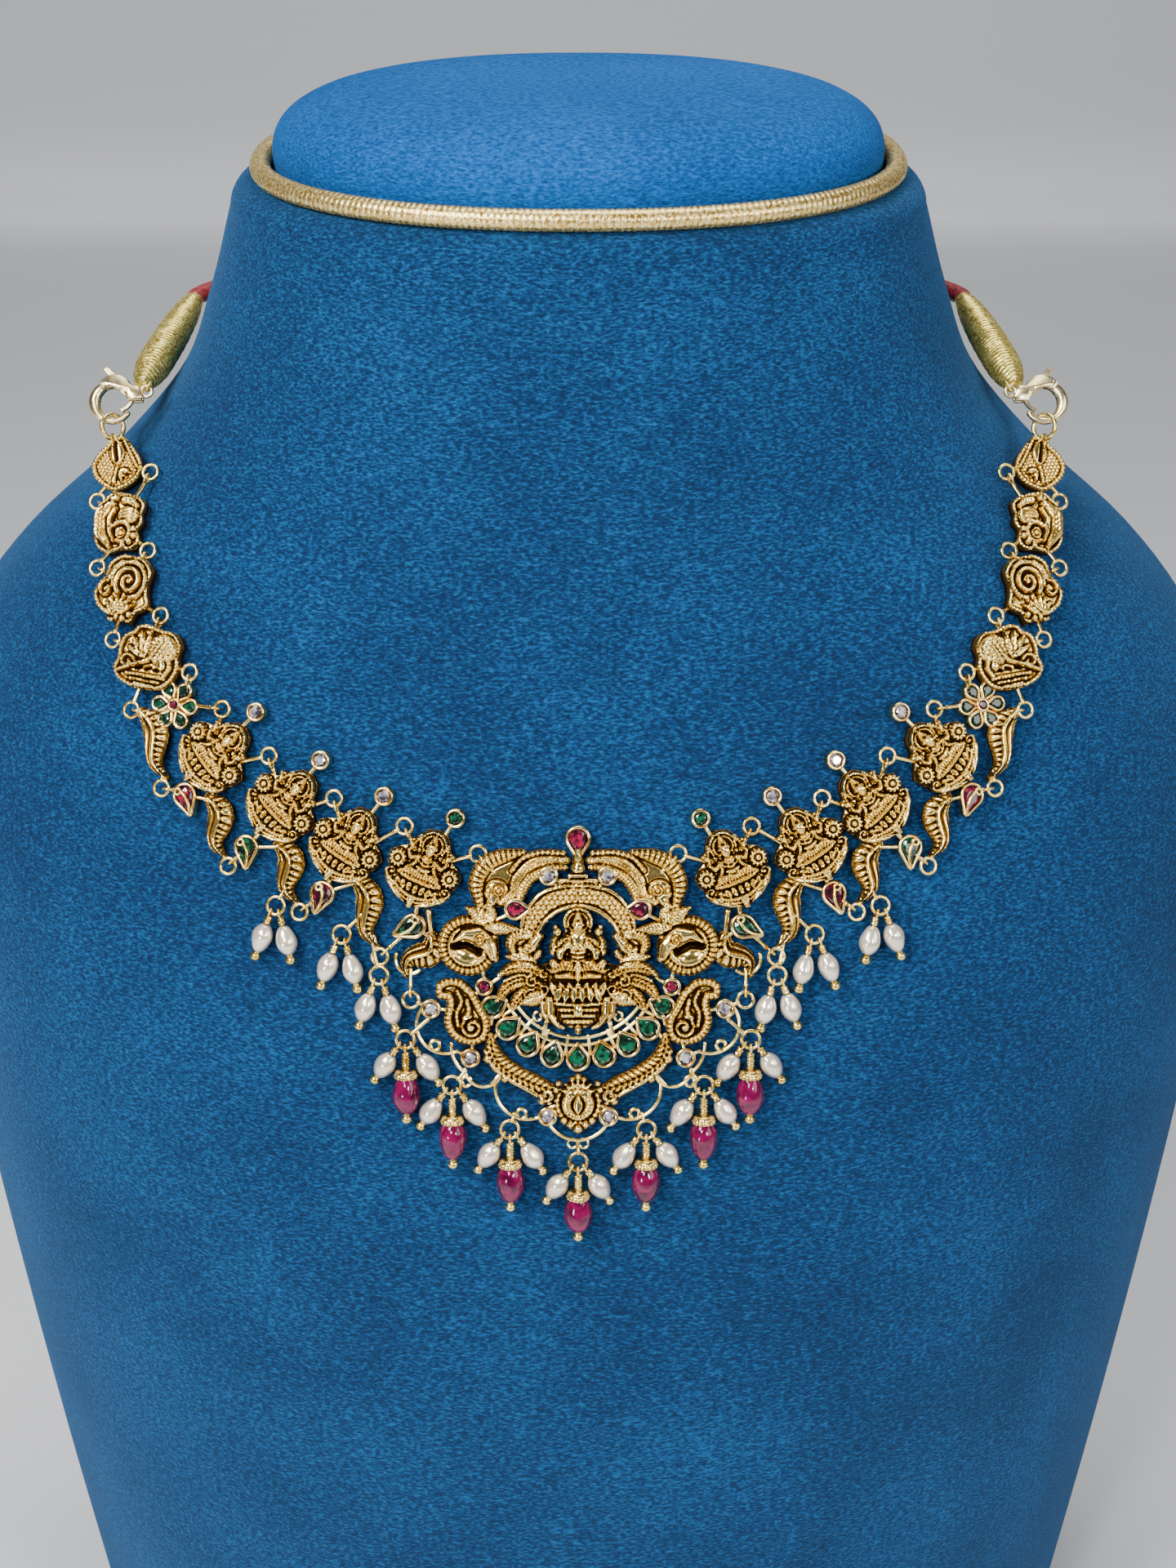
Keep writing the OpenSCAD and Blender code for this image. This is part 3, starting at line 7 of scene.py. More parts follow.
import logging
import math
from dataclasses import dataclass, field
from enum import Enum
from typing import Callable, Sequence

import bpy
import numpy as np
from mathutils import Euler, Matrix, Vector
from mathutils.geometry import delaunay_2d_cdt


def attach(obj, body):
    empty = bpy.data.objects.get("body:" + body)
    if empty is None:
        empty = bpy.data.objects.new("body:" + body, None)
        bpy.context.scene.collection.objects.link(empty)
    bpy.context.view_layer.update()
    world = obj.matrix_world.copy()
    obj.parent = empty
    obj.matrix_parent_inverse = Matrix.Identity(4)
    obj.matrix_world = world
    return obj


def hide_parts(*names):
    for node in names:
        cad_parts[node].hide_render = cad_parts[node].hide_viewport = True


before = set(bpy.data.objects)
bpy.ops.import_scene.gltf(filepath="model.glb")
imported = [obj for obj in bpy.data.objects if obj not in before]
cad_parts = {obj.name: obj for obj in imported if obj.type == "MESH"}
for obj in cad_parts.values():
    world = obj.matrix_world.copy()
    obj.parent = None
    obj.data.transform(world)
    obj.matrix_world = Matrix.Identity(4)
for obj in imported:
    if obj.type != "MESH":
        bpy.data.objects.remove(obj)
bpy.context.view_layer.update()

MM = 0.001
LOG = logging.getLogger("necklace")
Array = np.ndarray
Point = Sequence[float]


# Vectors, frames and smooth tables

def vec(*values: float) -> Array:
    """An array of floats."""
    return np.array(values, float)


def unit(v: Array) -> Array:
    """The vector at length 1."""
    return v / np.linalg.norm(v)


def mix(a: float, b: float, t: float) -> float:
    """The value a share t of the way from a to b."""
    return a + (b - a) * t


def on_circle(degrees: float, radius: float) -> Array:
    """The point of a circle round 0 at an angle."""
    return radius * vec(math.cos(math.radians(degrees)), math.sin(math.radians(degrees)))


def lengths(path: Array) -> Array:
    """Length along a path up to each of its points."""
    return np.concatenate([[0], np.cumsum(np.linalg.norm(np.diff(path, axis=0), axis=1))])


def arc(at: Point, radius: float, start: float, sweep: float, step: float = 12) -> list[Array]:
    """Points along an arc in a unit's plane.

    Args:
        at: Centre of the arc.
        radius: Radius in millimetres.
        start: Angle of the first point in degrees.
        sweep: Degrees from the first point to the last.
        step: Largest angle between two points.

    Returns:
        The points from start to start + sweep.
    """
    count = max(2, math.ceil(abs(sweep) / step) + 1)
    return [vec(*at[:2]) + on_circle(a, radius) for a in np.linspace(start, start + sweep, count)]


def spiral(at: Point, outer: float, inner: float, start: float, sweep: float) -> list[Array]:
    """Points of a spiral that winds from an outer radius to an inner one.

    Args:
        at: Centre of the spiral.
        outer: Radius of its first point.
        inner: Radius of its last point.
        start: Angle of the first point in degrees.
        sweep: Degrees from the first point to the last.

    Returns:
        Its points.
    """
    count = max(4, math.ceil(abs(sweep) / 15))
    return [vec(*at[:2]) + on_circle(start + sweep * t, mix(outer, inner, t))
            for t in np.linspace(0, 1, count)]


def curve(points: Sequence[Point], per_span: int = 8, closed: bool = False) -> Array:
    """A smooth curve through chosen points.

    Args:
        points: Points in two or three dimensions.
        per_span: Points made between each two of them.
        closed: Whether the curve ends where it starts.

    Returns:
        The points of a centripetal-like Hermite curve, one row each.
    """
    p = np.array([np.asarray(q, float) for q in points])
    if closed:
        p = np.vstack([p[-1], p, p[0], p[1]])
    else:
        p = np.vstack([2 * p[0] - p[1], p, 2 * p[-1] - p[-2]])
    rows = []
    for a, b, c, d in zip(p, p[1:], p[2:], p[3:]):
        for t in np.arange(per_span) / per_span:
            rows.append(0.5 * (2 * b + (c - a) * t + (2 * a - 5 * b + 4 * c - d) * t * t
                               + (3 * b - a - 3 * c + d) * t ** 3))
    if not closed:
        rows.append(p[-2])
    return np.array(rows)


def smooth(table: Sequence[Sequence[float]], x: float, column: int) -> float:
    """Smooth value of one column of a table at x, as the model's own source has it.

    Args:
        table: Rows of x and the values of each column.
        x: Where the value is wanted.
        column: Number of the column.

    Returns:
        The value.
    """
    i = 0
    while i < len(table) - 2 and x >= table[i + 1][0]:
        i += 1

    def slope(k: int) -> float:
        """Slope of the column at row k."""
        lo, hi = max(k - 1, 0), min(k + 1, len(table) - 1)
        return (table[hi][column] - table[lo][column]) / (table[hi][0] - table[lo][0])

    h = table[i + 1][0] - table[i][0]
    t = (x - table[i][0]) / h
    rise = table[i + 1][column] - table[i][column]
    m0, m1 = slope(i) * h, slope(i + 1) * h
    return table[i][column] + t * m0 + t * t * (3 * rise - 2 * m0 - m1) + t ** 3 * (m0 + m1 - 2 * rise)


@dataclass
class Place:
    """A unit's own frame: where it sits and its three directions."""

    at: Array
    right: Array
    up: Array
    out: Array

    def world(self, points: Array) -> Array:
        """Points of this frame, one row each, in the necklace's frame."""
        p = np.atleast_2d(np.asarray(points, float))
        return self.at + p[:, :1] * self.right + p[:, 1:2] * self.up + p[:, 2:3] * self.out

    def point(self, p: Point, z: float = 0) -> Array:
        """One point of this frame, in the necklace's frame."""
        return self.world(vec(p[0], p[1], p[2] if len(p) > 2 else z))[0]

    def turned(self, degrees: float) -> "Place":
        """The same frame, turned about its outward direction."""
        c, s = on_circle(degrees, 1)
        return Place(self.at, self.right * c + self.up * s, self.up * c - self.right * s, self.out)


# Finishes

Tree = bpy.types.NodeTree
Socket = bpy.types.NodeSocket


def linear(code: str) -> tuple[float, float, float, float]:
    """Linear colour of an sRGB hex value."""
    parts = [int(code[i:i + 2], 16) / 255 for i in (0, 2, 4)]
    return (*[c / 12.92 if c <= 0.04045 else ((c + 0.055) / 1.055) ** 2.4 for c in parts], 1.0)


def fill(tree: Tree, node: bpy.types.Node, inputs: dict) -> None:
    """Gives each named or numbered input of a node a socket to read, or a plain value.

    Args:
        tree: The material's node tree.
        node: The node.
        inputs: The socket or the value for each input's name or number.
    """
    for name, value in inputs.items():
        if isinstance(value, Socket):
            tree.links.new(value, node.inputs[name])
        else:
            node.inputs[name].default_value = value


def add_node(tree: Tree, kind: str, inputs: dict | None = None, out: str | int = 0,
             stops: Sequence[tuple] = (), **settings: object) -> Socket:
    """Adds a node with its settings and links.

    Args:
        tree: The material's node tree.
        kind: Blender's name of the node's type, after the word ShaderNode.
        inputs: What goes into each input, as fill takes it.
        out: Name or number of the output that is wanted.
        stops: A colour ramp's pairs of a position and an sRGB hex value or a
            grey from 0 to 1.
        settings: Properties of the node.

    Returns:
        The wanted output.
    """
    node = tree.nodes.new("ShaderNode" + kind)
    for name, value in settings.items():
        setattr(node, name, value)
    fill(tree, node, inputs or {})
    if stops:
        bar = node.color_ramp.elements
        while len(bar) < len(stops):
            bar.new(0.5)
        for stop, (place, tone) in zip(bar, stops):
            stop.position = place
            stop.color = linear(tone) if isinstance(tone, str) else (tone, tone, tone, 1)
    return node.outputs[out]


@dataclass(frozen=True)
class Finish:
    """What every finish shares: the material's name and the record's slot."""

    name: str
    slot: str

    def material(self) -> bpy.types.Material:
        """The finish as a material, its patterns laid out by the object's own metres.

        Returns:
            The new material.
        """
        material = bpy.data.materials.new(self.name)
        material.use_nodes = True
        tree = material.node_tree
        where = add_node(tree, "TexCoord", out="Object")
        fill(tree, tree.nodes["Principled BSDF"], self.shader(tree, where))
        return material

    def shader(self, tree: Tree, where: Socket) -> dict:
        """What each input of the shader is or reads, given a position in metres.

        Args:
            tree: The material's node tree.
            where: A position in metres.

        Returns:
            A socket or a plain value for each input's name.
        """
        raise NotImplementedError


@dataclass(frozen=True)
class Velvet(Finish):
    """Cotton velvet: woven, its pile cut and brushed, then glued over a form.

    The upright pile looks deep and dark head on and glows pale where it is
    seen along the surface. Its colour is mottled from deep to light by noise
    in fine tufts and broad patches: painted shade and highlight of pile that
    leans to and fro.
    """

    deep: str = "02132B"
    middle: str = "072A4E"
    light: str = "1B558A"
    glow: str = "5A98CE"
    tuft: float = 0.5
    patch: float = 26.0
    lean: float = 1.0

    def shader(self, tree: Tree, where: Socket) -> dict:
        """The pile's tones, with painted shade and highlight of its tufts, and its glow.

        Args:
            tree: The material's node tree.
            where: A position in metres.

        Returns:
            A socket or a plain value for each input's name.
        """
        # Tufts of pile lie in short rows across, so the pattern is squeezed upwards
        rows = add_node(tree, "Mapping", {0: where, "Scale": (0.6, 0.9, 1.5)})
        tufts = add_node(tree, "TexNoise", {
            "Vector": rows, "Scale": 1 / (self.tuft * MM), "Detail": 3.0, "Roughness": 0.62})
        # Broad patches where the pile lies another way: painted shade and highlight
        patches = add_node(tree, "TexNoise", {
            "Vector": where, "Scale": 1 / (self.patch * MM), "Detail": 2.0, "Roughness": 0.5})
        painted_pile_shade = add_node(tree, "Math", {0: patches, 1: 0.2, 2: tufts}, operation="MULTIPLY_ADD")
        # The base colour follows this mottle from deep to light: painted shade and highlight of the leaning
        # pile
        tones = [(0.35, self.deep), (0.59, self.middle), (0.82, self.light)]
        return {
            "Base Color": add_node(tree, "ValToRGB", {0: painted_pile_shade}, stops=tones),
            "Normal": add_node(tree, "Bump", {"Strength": 0.8, "Distance": 0.45 * MM, "Height": tufts}),
            "Roughness": 0.92, "IOR": 1.47, "Specular IOR Level": 0.15, "Sheen Weight": 0.32 * self.lean,
            "Sheen Roughness": 0.45, "Sheen Tint": linear(self.glow)}


@dataclass(frozen=True)
class AntiqueGold(Finish):
    """Gold plated brass casting, darkened by a chemical bath and rubbed bright.

    The rubbed high places shine warm and pale, and here and there the copper
    of the metal shows through. With the recess of the relief the colour turns
    warm and then dark brown: partly the brown that the bath leaves in the
    hollows, partly painted shade in the recesses, on the walls and the back.
    """

    bright: str = "FFE48C"
    warm: str = "C4963C"
    copper: str = "C88C48"
    # Dark brown of the deep recesses: the bath's patina and painted shade
    hollow: str = "341D0A"
    grain: float = 0.35

    def shader(self, tree: Tree, where: Socket) -> dict:
        """The metal's three golds and its dark brown, laid by the recess of the relief as the bath's patina
        and painted shade.

        Args:
            tree: The material's node tree.
            where: A position in metres.

        Returns:
            A socket or a plain value for each input's name.
        """
        recess = add_node(tree, "Attribute", out="Fac", attribute_name="recess")
        cloud = add_node(tree, "TexNoise", {
            "Vector": where, "Scale": 1 / (5 * MM), "Detail": 3.0, "Roughness": 0.55})
        tone = linear(self.bright)
        # Rubbing reaches the high places alone; deeper in the recess the colour turns warm and then dark
        # brown, as patina and painted shade
        for factor, stops, colour in ((cloud, [(0.48, 0.0), (0.8, 0.25)], self.copper),
                                      (recess, [(0.22, 0.0), (0.5, 1.0)], self.warm),
                                      (recess, [(0.42, 0.0), (0.8, 1.0)], self.hollow)):
            share = add_node(tree, "ValToRGB", {0: factor}, stops=stops)
            tone = add_node(tree, "Mix", {0: share, "A": tone, "B": linear(colour)}, "Result",
                            data_type="RGBA")
        fine = add_node(tree, "TexNoise", {"Vector": where, "Scale": 1 / (self.grain * MM), "Detail": 2.0})
        dull = add_node(tree, "ValToRGB", {0: recess}, stops=[(0.3, 0.08), (0.8, 0.6)])
        return {
            "Base Color": tone, "Metallic": 1.0,
            "Roughness": add_node(tree, "Math", {0: fine, 1: 0.14, 2: dull}, operation="MULTIPLY_ADD"),
            "Normal": add_node(tree, "Bump", {"Strength": 0.4, "Distance": 0.06 * MM, "Height": fine})}


@dataclass(frozen=True)
class PolishedGold(Finish):
    """Gold plated brass wire and sheet, drawn, soldered and tumbled bright.

    It is paler and cleaner than the castings, with faint drawing marks and a
    slightly uneven polish.
    """

    bright: str = "FFE894"
    warm: str = "DFB44C"
    rough: float = 0.16
    mark: float = 0.5

    def shader(self, tree: Tree, where: Socket) -> dict:
        """The plating's two golds and its drawing marks.

        Args:
            tree: The material's node tree.
            where: A position in metres.

        Returns:
            A socket or a plain value for each input's name.
        """
        cloud = add_node(tree, "TexNoise", {"Vector": where, "Scale": 1 / (3 * MM), "Detail": 2.0})
        marks = add_node(tree, "TexNoise", {"Vector": where, "Scale": 1 / (self.mark * MM), "Detail": 2.0})
        polish = [(0.3, self.rough), (0.75, self.rough + 0.16)]
        return {
            "Base Color": add_node(tree, "ValToRGB", {0: cloud},
                                   stops=[(0.35, self.bright), (0.7, self.warm)]),
            "Roughness": add_node(tree, "ValToRGB", {0: marks}, stops=polish),
            "Normal": add_node(tree, "Bump", {"Strength": 0.2, "Distance": 0.04 * MM, "Height": marks}),
            "Metallic": 1.0}


@dataclass(frozen=True)
class GoldThread(Finish):
    """Metallic thread laid side by side: zari or gimp, flat foil round a core.

    Its colour is mottled with painted glints, and painted shade darkens the
    lines between the turns.
    """

    bright: str = "FFE9A0"
    warm: str = "C99A3C"
    gap: str = "3E2B0E"

    def shader(self, tree: Tree, where: Socket) -> dict:
        """The foil's painted glints and the painted shade between its turns.

        Args:
            tree: The material's node tree.
            where: A position in metres.

        Returns:
            A socket or a plain value for each input's name.
        """
        recess = add_node(tree, "Attribute", out="Fac", attribute_name="recess")
        glint = add_node(tree, "TexNoise", {"Vector": where, "Scale": 1 / (0.45 * MM), "Detail": 2.0})
        # Painted glints: the foil's colour goes brighter with the noise
        foil = add_node(tree, "ValToRGB", {0: glint}, stops=[(0.35, self.warm), (0.62, self.bright)])
        # Painted shade between the turns, by their recess
        dark = add_node(tree, "ValToRGB", {0: recess}, stops=[(0.4, 0.0), (0.85, 1.0)])
        return {
            "Base Color": add_node(tree, "Mix", {0: dark, "A": foil, "B": linear(self.gap)}, "Result",
                                   data_type="RGBA"),
            "Roughness": add_node(tree, "ValToRGB", {0: glint}, stops=[(0.3, 0.22), (0.8, 0.48)]),
            "Normal": add_node(tree, "Bump", {"Strength": 0.35, "Distance": 0.06 * MM, "Height": glint}),
            "Metallic": 0.85}


@dataclass(frozen=True)
class SilkCord(Finish):
    """Art silk cord, braided round a core, with a soft shine along each strand."""

    deep: str = "5E0A14"
    light: str = "B3202E"
    shine: str = "F08A90"

    def shader(self, tree: Tree, where: Socket) -> dict:
        """The dyed strands, and painted shade in the low places of the braid.

        Args:
            tree: The material's node tree.
            where: A position in metres.

        Returns:
            A socket or a plain value for each input's name.
        """
        recess = add_node(tree, "Attribute", out="Fac", attribute_name="recess")
        strand = add_node(tree, "TexNoise", {"Vector": where, "Scale": 1 / (0.4 * MM), "Detail": 3.0})
        # The braid's recess takes from the tone: painted shade in its low places
        share = add_node(tree, "Math", {0: strand, 1: recess}, operation="SUBTRACT")
        return {
            "Base Color": add_node(tree, "ValToRGB", {0: share},
                                   stops=[(0.0, self.deep), (0.45, self.light)]),
            "Normal": add_node(tree, "Bump", {"Strength": 0.4, "Distance": 0.08 * MM, "Height": strand}),
            "Roughness": 0.5, "Sheen Weight": 0.4, "Sheen Tint": linear(self.shine)}


@dataclass(frozen=True)
class CutGlass(Finish):
    """Pressed and polished glass stone in a foil backed setting.

    The foil sends light back through the colour, so the stone is dark and
    deep. The bright and dark tones of its facets are painted glints, each set
    by the facet's direction.
    """

    deep: str = "200210"
    middle: str = "4E0822"
    light: str = "A01640"
    metallic: float = 0.0
    through: float = 0.25
    ior: float = 1.62

    def shader(self, tree: Tree, where: Socket) -> dict:
        """The glass, each facet painted lighter or darker by its direction as painted glints.

        Args:
            tree: The material's node tree.
            where: A position in metres.

        Returns:
            A socket or a plain value for each input's name.
        """
        # Painted glints: each facet's colour is set by its direction, standing in for the lamps that it
        # catches
        normal = add_node(tree, "NewGeometry", out="True Normal")
        glint = add_node(tree, "TexNoise", {"Vector": normal, "Scale": 5.0, "Detail": 1.0})
        cloud = add_node(tree, "TexNoise", {"Vector": where, "Scale": 1 / (0.9 * MM), "Detail": 1.0})
        share = add_node(tree, "Math", {0: glint, 1: cloud}, operation="MULTIPLY")
        tones = [(0.17, self.deep), (0.27, self.middle), (0.37, self.light)]
        return {
            "Base Color": add_node(tree, "ValToRGB", {0: share}, stops=tones),
            "Metallic": self.metallic, "Roughness": 0.05, "IOR": self.ior,
            "Transmission Weight": self.through, "Coat Weight": 0.6, "Coat Roughness": 0.03}


@dataclass(frozen=True)
class RubyBead(Finish):
    """Dyed stone bead, ground to a barrel, drilled and tumbled to a wet gloss.

    It lets light in a little way, so it glows pink at its edges, and faint
    clouds and veins float in it.
    """

    deep: str = "3C0122"
    light: str = "7C0444"

    def shader(self, tree: Tree, where: Socket) -> dict:
        """The dyed stone's veins, ripples and gloss.

        Args:
            tree: The material's node tree.
            where: A position in metres.

        Returns:
            A socket or a plain value for each input's name.
        """
        veins = add_node(tree, "TexNoise", {
            "Vector": where, "Scale": 1 / (2.2 * MM), "Detail": 4.0, "Distortion": 1.2})
        ripple = add_node(tree, "TexNoise", {"Vector": where, "Scale": 1 / (1.6 * MM), "Detail": 1.0})
        return {
            "Base Color": add_node(tree, "ValToRGB", {0: veins},
                                   stops=[(0.35, self.deep), (0.68, self.light)]),
            "Normal": add_node(tree, "Bump", {"Strength": 0.55, "Distance": 0.2 * MM, "Height": ripple}),
            "Roughness": 0.07, "IOR": 1.54, "Specular IOR Level": 0.35, "Subsurface Weight": 0.08,
            "Subsurface Radius": (1.0, 0.25, 0.5), "Subsurface Scale": 2 * MM, "Coat Weight": 0.25,
            "Coat Roughness": 0.04}


@dataclass(frozen=True)
class Pearl(Finish):
    """Freshwater rice pearl: thin layers of nacre over a core.

    The layers give a satin gloss over a soft body. Its colour is painted by
    how far the surface turns from the view: pink and green as a painted
    orient, then grey at the rim as painted shade.
    """

    body: str = "F4E9D4"
    shade: str = "DDCDB2"
    # Tones as the surface turns from the view: painted orient, then painted rim shade
    turned: Sequence[tuple] = ((0.3, "F0DECC"), (0.5, "C2CEBF"), (0.68, "D2B8BC"), (0.9, "968C86"))

    def shader(self, tree: Tree, where: Socket) -> dict:
        """The nacre's painted orient and rim shade, and its satin gloss.

        Args:
            tree: The material's node tree.
            where: A position in metres.

        Returns:
            A socket or a plain value for each input's name.
        """
        # Painted orient and shade: colour by how far the surface turns from the view, pink and green, then
        # grey at the rim
        away = add_node(tree, "LayerWeight", {"Blend": 0.45}, "Facing")
        layers = add_node(tree, "ValToRGB", {0: away}, stops=[(0.05, self.body), *self.turned])
        cloud = add_node(tree, "TexNoise", {"Vector": where, "Scale": 1 / (1.8 * MM), "Detail": 2.0})
        share = add_node(tree, "ValToRGB", {0: cloud}, stops=[(0.4, 0.0), (0.75, 0.6)])
        return {
            "Base Color": add_node(tree, "Mix", {0: share, "A": layers, "B": linear(self.shade)}, "Result",
                                   data_type="RGBA"),
            "Normal": add_node(tree, "Bump", {"Strength": 0.2, "Distance": 0.1 * MM, "Height": cloud}),
            "Metallic": 0.6, "Roughness": 0.2, "IOR": 1.65, "Subsurface Weight": 0.2,
            "Subsurface Radius": (1.0, 0.8, 0.6), "Subsurface Scale": 1 * MM, "Coat Weight": 0.8,
            "Coat Roughness": 0.06}


@dataclass(frozen=True)
class StudioPaper(Finish):
    """Plain paper backdrop, matt and pale, with the faintest tooth."""

    tone: str = "D9DADC"

    def shader(self, tree: Tree, where: Socket) -> dict:
        """The paper's tone and tooth.

        Args:
            tree: The material's node tree.
            where: A position in metres.

        Returns:
            A socket or a plain value for each input's name.
        """
        tooth = add_node(tree, "TexNoise", {"Vector": where, "Scale": 1 / (1.1 * MM), "Detail": 2.0})
        return {
            "Base Color": linear(self.tone), "Roughness": 0.85,
            "Normal": add_node(tree, "Bump", {"Strength": 0.05, "Distance": 0.1 * MM, "Height": tooth})}


@dataclass
class Finishes:
    """Every finish of the necklace and its bust, each made into a material once."""

    velvet: Velvet = Velvet("velvet_pile", "bust_velvet")
    # The cap is the bust's velvet, its tones painted lighter as light falls on its upward face
    cap_velvet: Velvet = Velvet("velvet_pile_padded", "cap_velvet", "04284F", "0B4888", "1B62AC", "4A90D4",
                                lean=0.45)
    casting: AntiqueGold = AntiqueGold("antique_gold_casting", "antique_gold")
    wire: PolishedGold = PolishedGold("gold_plated_wire", "plain_gold")
    bezel: PolishedGold = PolishedGold("burnished_gold_bezel", "plain_gold", "FFE7A4", "DDA94C", 0.12, 0.8)
    steel: PolishedGold = PolishedGold("gold_plated_clasp", "plain_gold", "F7E7B8", "D8BC7C", 0.2, 1.2)
    gimp: GoldThread = GoldThread("gold_gimp_cord", "gold_twist")
    zari: GoldThread = GoldThread("zari_thread", "zari_thread", "FFF090", "CFAC3C", "3A3008")
    silk: SilkCord = SilkCord("braided_art_silk", "red_cord")
    ruby: CutGlass = CutGlass("ruby_red_cut_glass", "ruby_glass")
    emerald: CutGlass = CutGlass("emerald_green_cut_glass", "emerald_glass", "010E0A", "032919", "0E6342")
    clear: CutGlass = CutGlass("clear_cut_zirconia", "clear_stone", "4E4650", "B4A9B4", "FFFFFF", 0.65, 0.0,
                               2.1)
    bead: RubyBead = RubyBead("tumbled_ruby_bead", "ruby_bead")
    pearl: Pearl = Pearl("freshwater_rice_pearl", "pearl")
    made: dict[str, bpy.types.Material] = field(default_factory=dict)

    def of(self, finish: Finish) -> bpy.types.Material:
        """The finish's material, made at its first use.

        Args:
            finish: The finish.

        Returns:
            Its material.
        """
        if finish.name not in self.made:
            self.made[finish.name] = finish.material()
        return self.made[finish.name]


FINISH = Finishes()


# Meshes

@dataclass
class Shell:
    """A mesh in the making: points in millimetres, and faces by their corner count.

    A point's recess runs from 0 on a rubbed edge to 1 deep in a hollow. The
    finishes darken by it: on the castings partly as the bath's patina and
    partly as painted shade, on thread and cord as painted shade.
    """

    points: Array
    faces: list[Array]
    recess: Array | None = None

    def placed(self, place: Place) -> "Shell":
        """The shell, taken from a frame into the necklace's frame."""
        return Shell(place.world(self.points), self.faces, self.recess)

    def mirrored(self) -> "Shell":
        """The shell on the other side of the necklace."""
        return Shell(self.points * vec(-1, 1, 1), [f[:, ::-1] for f in self.faces], self.recess)

    def depth(self) -> Array:
        """The recess of every point."""
        return np.full(len(self.points), 0.35) if self.recess is None else self.recess

    def piece(self, name: str, finish: Finish, replaced: Sequence[str], body: str = "root",
              sharp: float = 42) -> bpy.types.Object:
        """Makes the shell an object of the scene, dressed and riding on its body.

        Args:
            name: The object's name.
            finish: What it is made of.
            replaced: The model's nodes that it stands for.
            body: The body that carries it.
            sharp: Angle between two faces, in degrees, above which their edge
                is crisp; 0 leaves every facet flat.

        Returns:
            The object.
        """
        mesh = bpy.data.meshes.new(name)
        corners = np.concatenate([f.ravel() for f in self.faces])
        counts = np.concatenate([np.full(len(f), f.shape[1]) for f in self.faces])
        mesh.vertices.add(len(self.points))
        mesh.vertices.foreach_set("co", (self.points * MM).ravel())
        mesh.loops.add(len(corners))
        mesh.loops.foreach_set("vertex_index", corners.astype(np.int32))
        mesh.polygons.add(len(counts))
        mesh.polygons.foreach_set("loop_start", (np.cumsum(counts) - counts).astype(np.int32))
        mesh.update(calc_edges=True)
        mesh.validate()
        recess = mesh.attributes.new("recess", "FLOAT", "POINT")
        recess.data.foreach_set("value", self.depth())
        mesh.polygons.foreach_set("use_smooth", np.full(len(mesh.polygons), sharp > 0))
        if sharp:
            mesh.set_sharp_from_angle(angle=math.radians(sharp))
        mesh.materials.append(FINISH.of(finish))
        piece = bpy.data.objects.new(name, mesh)
        bpy.context.scene.collection.objects.link(piece)
        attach(piece, body)
        if replaced:
            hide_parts(*replaced)
        LOG.info("%s: %d faces", name, len(mesh.polygons))
        return piece


def joined(shells: Sequence[Shell]) -> Shell:
    """Several shells as one.

    Args:
        shells: The shells.

    Returns:
        One shell with all their faces and recesses.
    """
    faces, start = [], 0
    for shell in shells:
        faces += [f + start for f in shell.faces]
        start += len(shell.points)
    points = np.vstack([s.points for s in shells])
    return Shell(points, faces, np.concatenate([s.depth() for s in shells]))


def grown(outline: Array, by: float) -> Array:
    """A counter-clockwise outline, moved outwards.

    Args:
        outline: Its points.
        by: Millimetres outwards; less than 0 is inwards.

    Returns:
        The moved points.
    """
    ahead = np.roll(outline, -1, 0) - np.roll(outline, 1, 0)
    outwards = np.stack([ahead[:, 1], -ahead[:, 0]], -1)
    return outline + by * outwards / np.linalg.norm(outwards, axis=1, keepdims=True)


def at_height(outline: Array, z: float) -> Array:
    """A flat outline's points, set at a height."""
    return np.hstack([outline, np.full((len(outline), 1), z)])


def triangulated(points: Sequence[Point], edges: Sequence[Point]) -> Array:
    """Triangles over the area that edges enclose.

    Args:
        points: Points in a plane.
        edges: Pairs of the points' numbers.

    Returns:
        Rows of three of the points' numbers.
    """
    _, _, triangles, origin, _, _ = delaunay_2d_cdt([Vector(p[:2]) for p in points], edges, [], 1, 1e-7)
    return np.array([o[0] for o in origin])[np.array([list(t) for t in triangles])]


def loft(rings: Array, closed: bool = False, recess: Array | None = None) -> Shell:
    """A skin over rings of points.

    Args:
        rings: Array of rings, each the same number of points, counter-clockwise
            as seen from the last ring's side.
        closed: Whether the last ring joins the first; else both ends are capped.
        recess: A recess for each point, in the rings' own shape.

    Returns:
        The closed shell.
    """
    count, sides = rings.shape[:2]
    ids = np.arange(count * sides).reshape(count, sides)
    low = ids if closed else ids[:-1]
    high = np.roll(ids, -1, 0) if closed else ids[1:]
    quads = np.stack([low, np.roll(low, -1, 1), np.roll(high, -1, 1), high], -1).reshape(-1, 4)
    caps = [] if closed else [ids[:1, ::-1], ids[-1:]]
    return Shell(rings.reshape(-1, 3), [quads, *caps], None if recess is None else recess.reshape(-1))


def lathe(profile: Sequence[Point], sides: int = 24, closed: bool = False,
          shape: Callable[[Array, Array], Array] | None = None) -> Shell:
    """A shell turned about Z.

    Args:
        profile: Rows of radius and height, from the bottom up on the outside.
        sides: Corners round the axis.
        closed: Whether the profile closes on itself, as round a bore.
        shape: Factor on the radius for angles and heights, for flutes.

    Returns:
        The shell.
    """
    rows = np.asarray(profile, float)
    angles = np.linspace(0, 2 * np.pi, sides, endpoint=False)
    radius = np.repeat(rows[:, :1], sides, 1)
    height = np.repeat(rows[:, 1:2], sides, 1)
    if shape:
        radius = radius * shape(angles[None, :], height)
    return loft(np.stack([radius * np.cos(angles), radius * np.sin(angles), height], -1), closed)


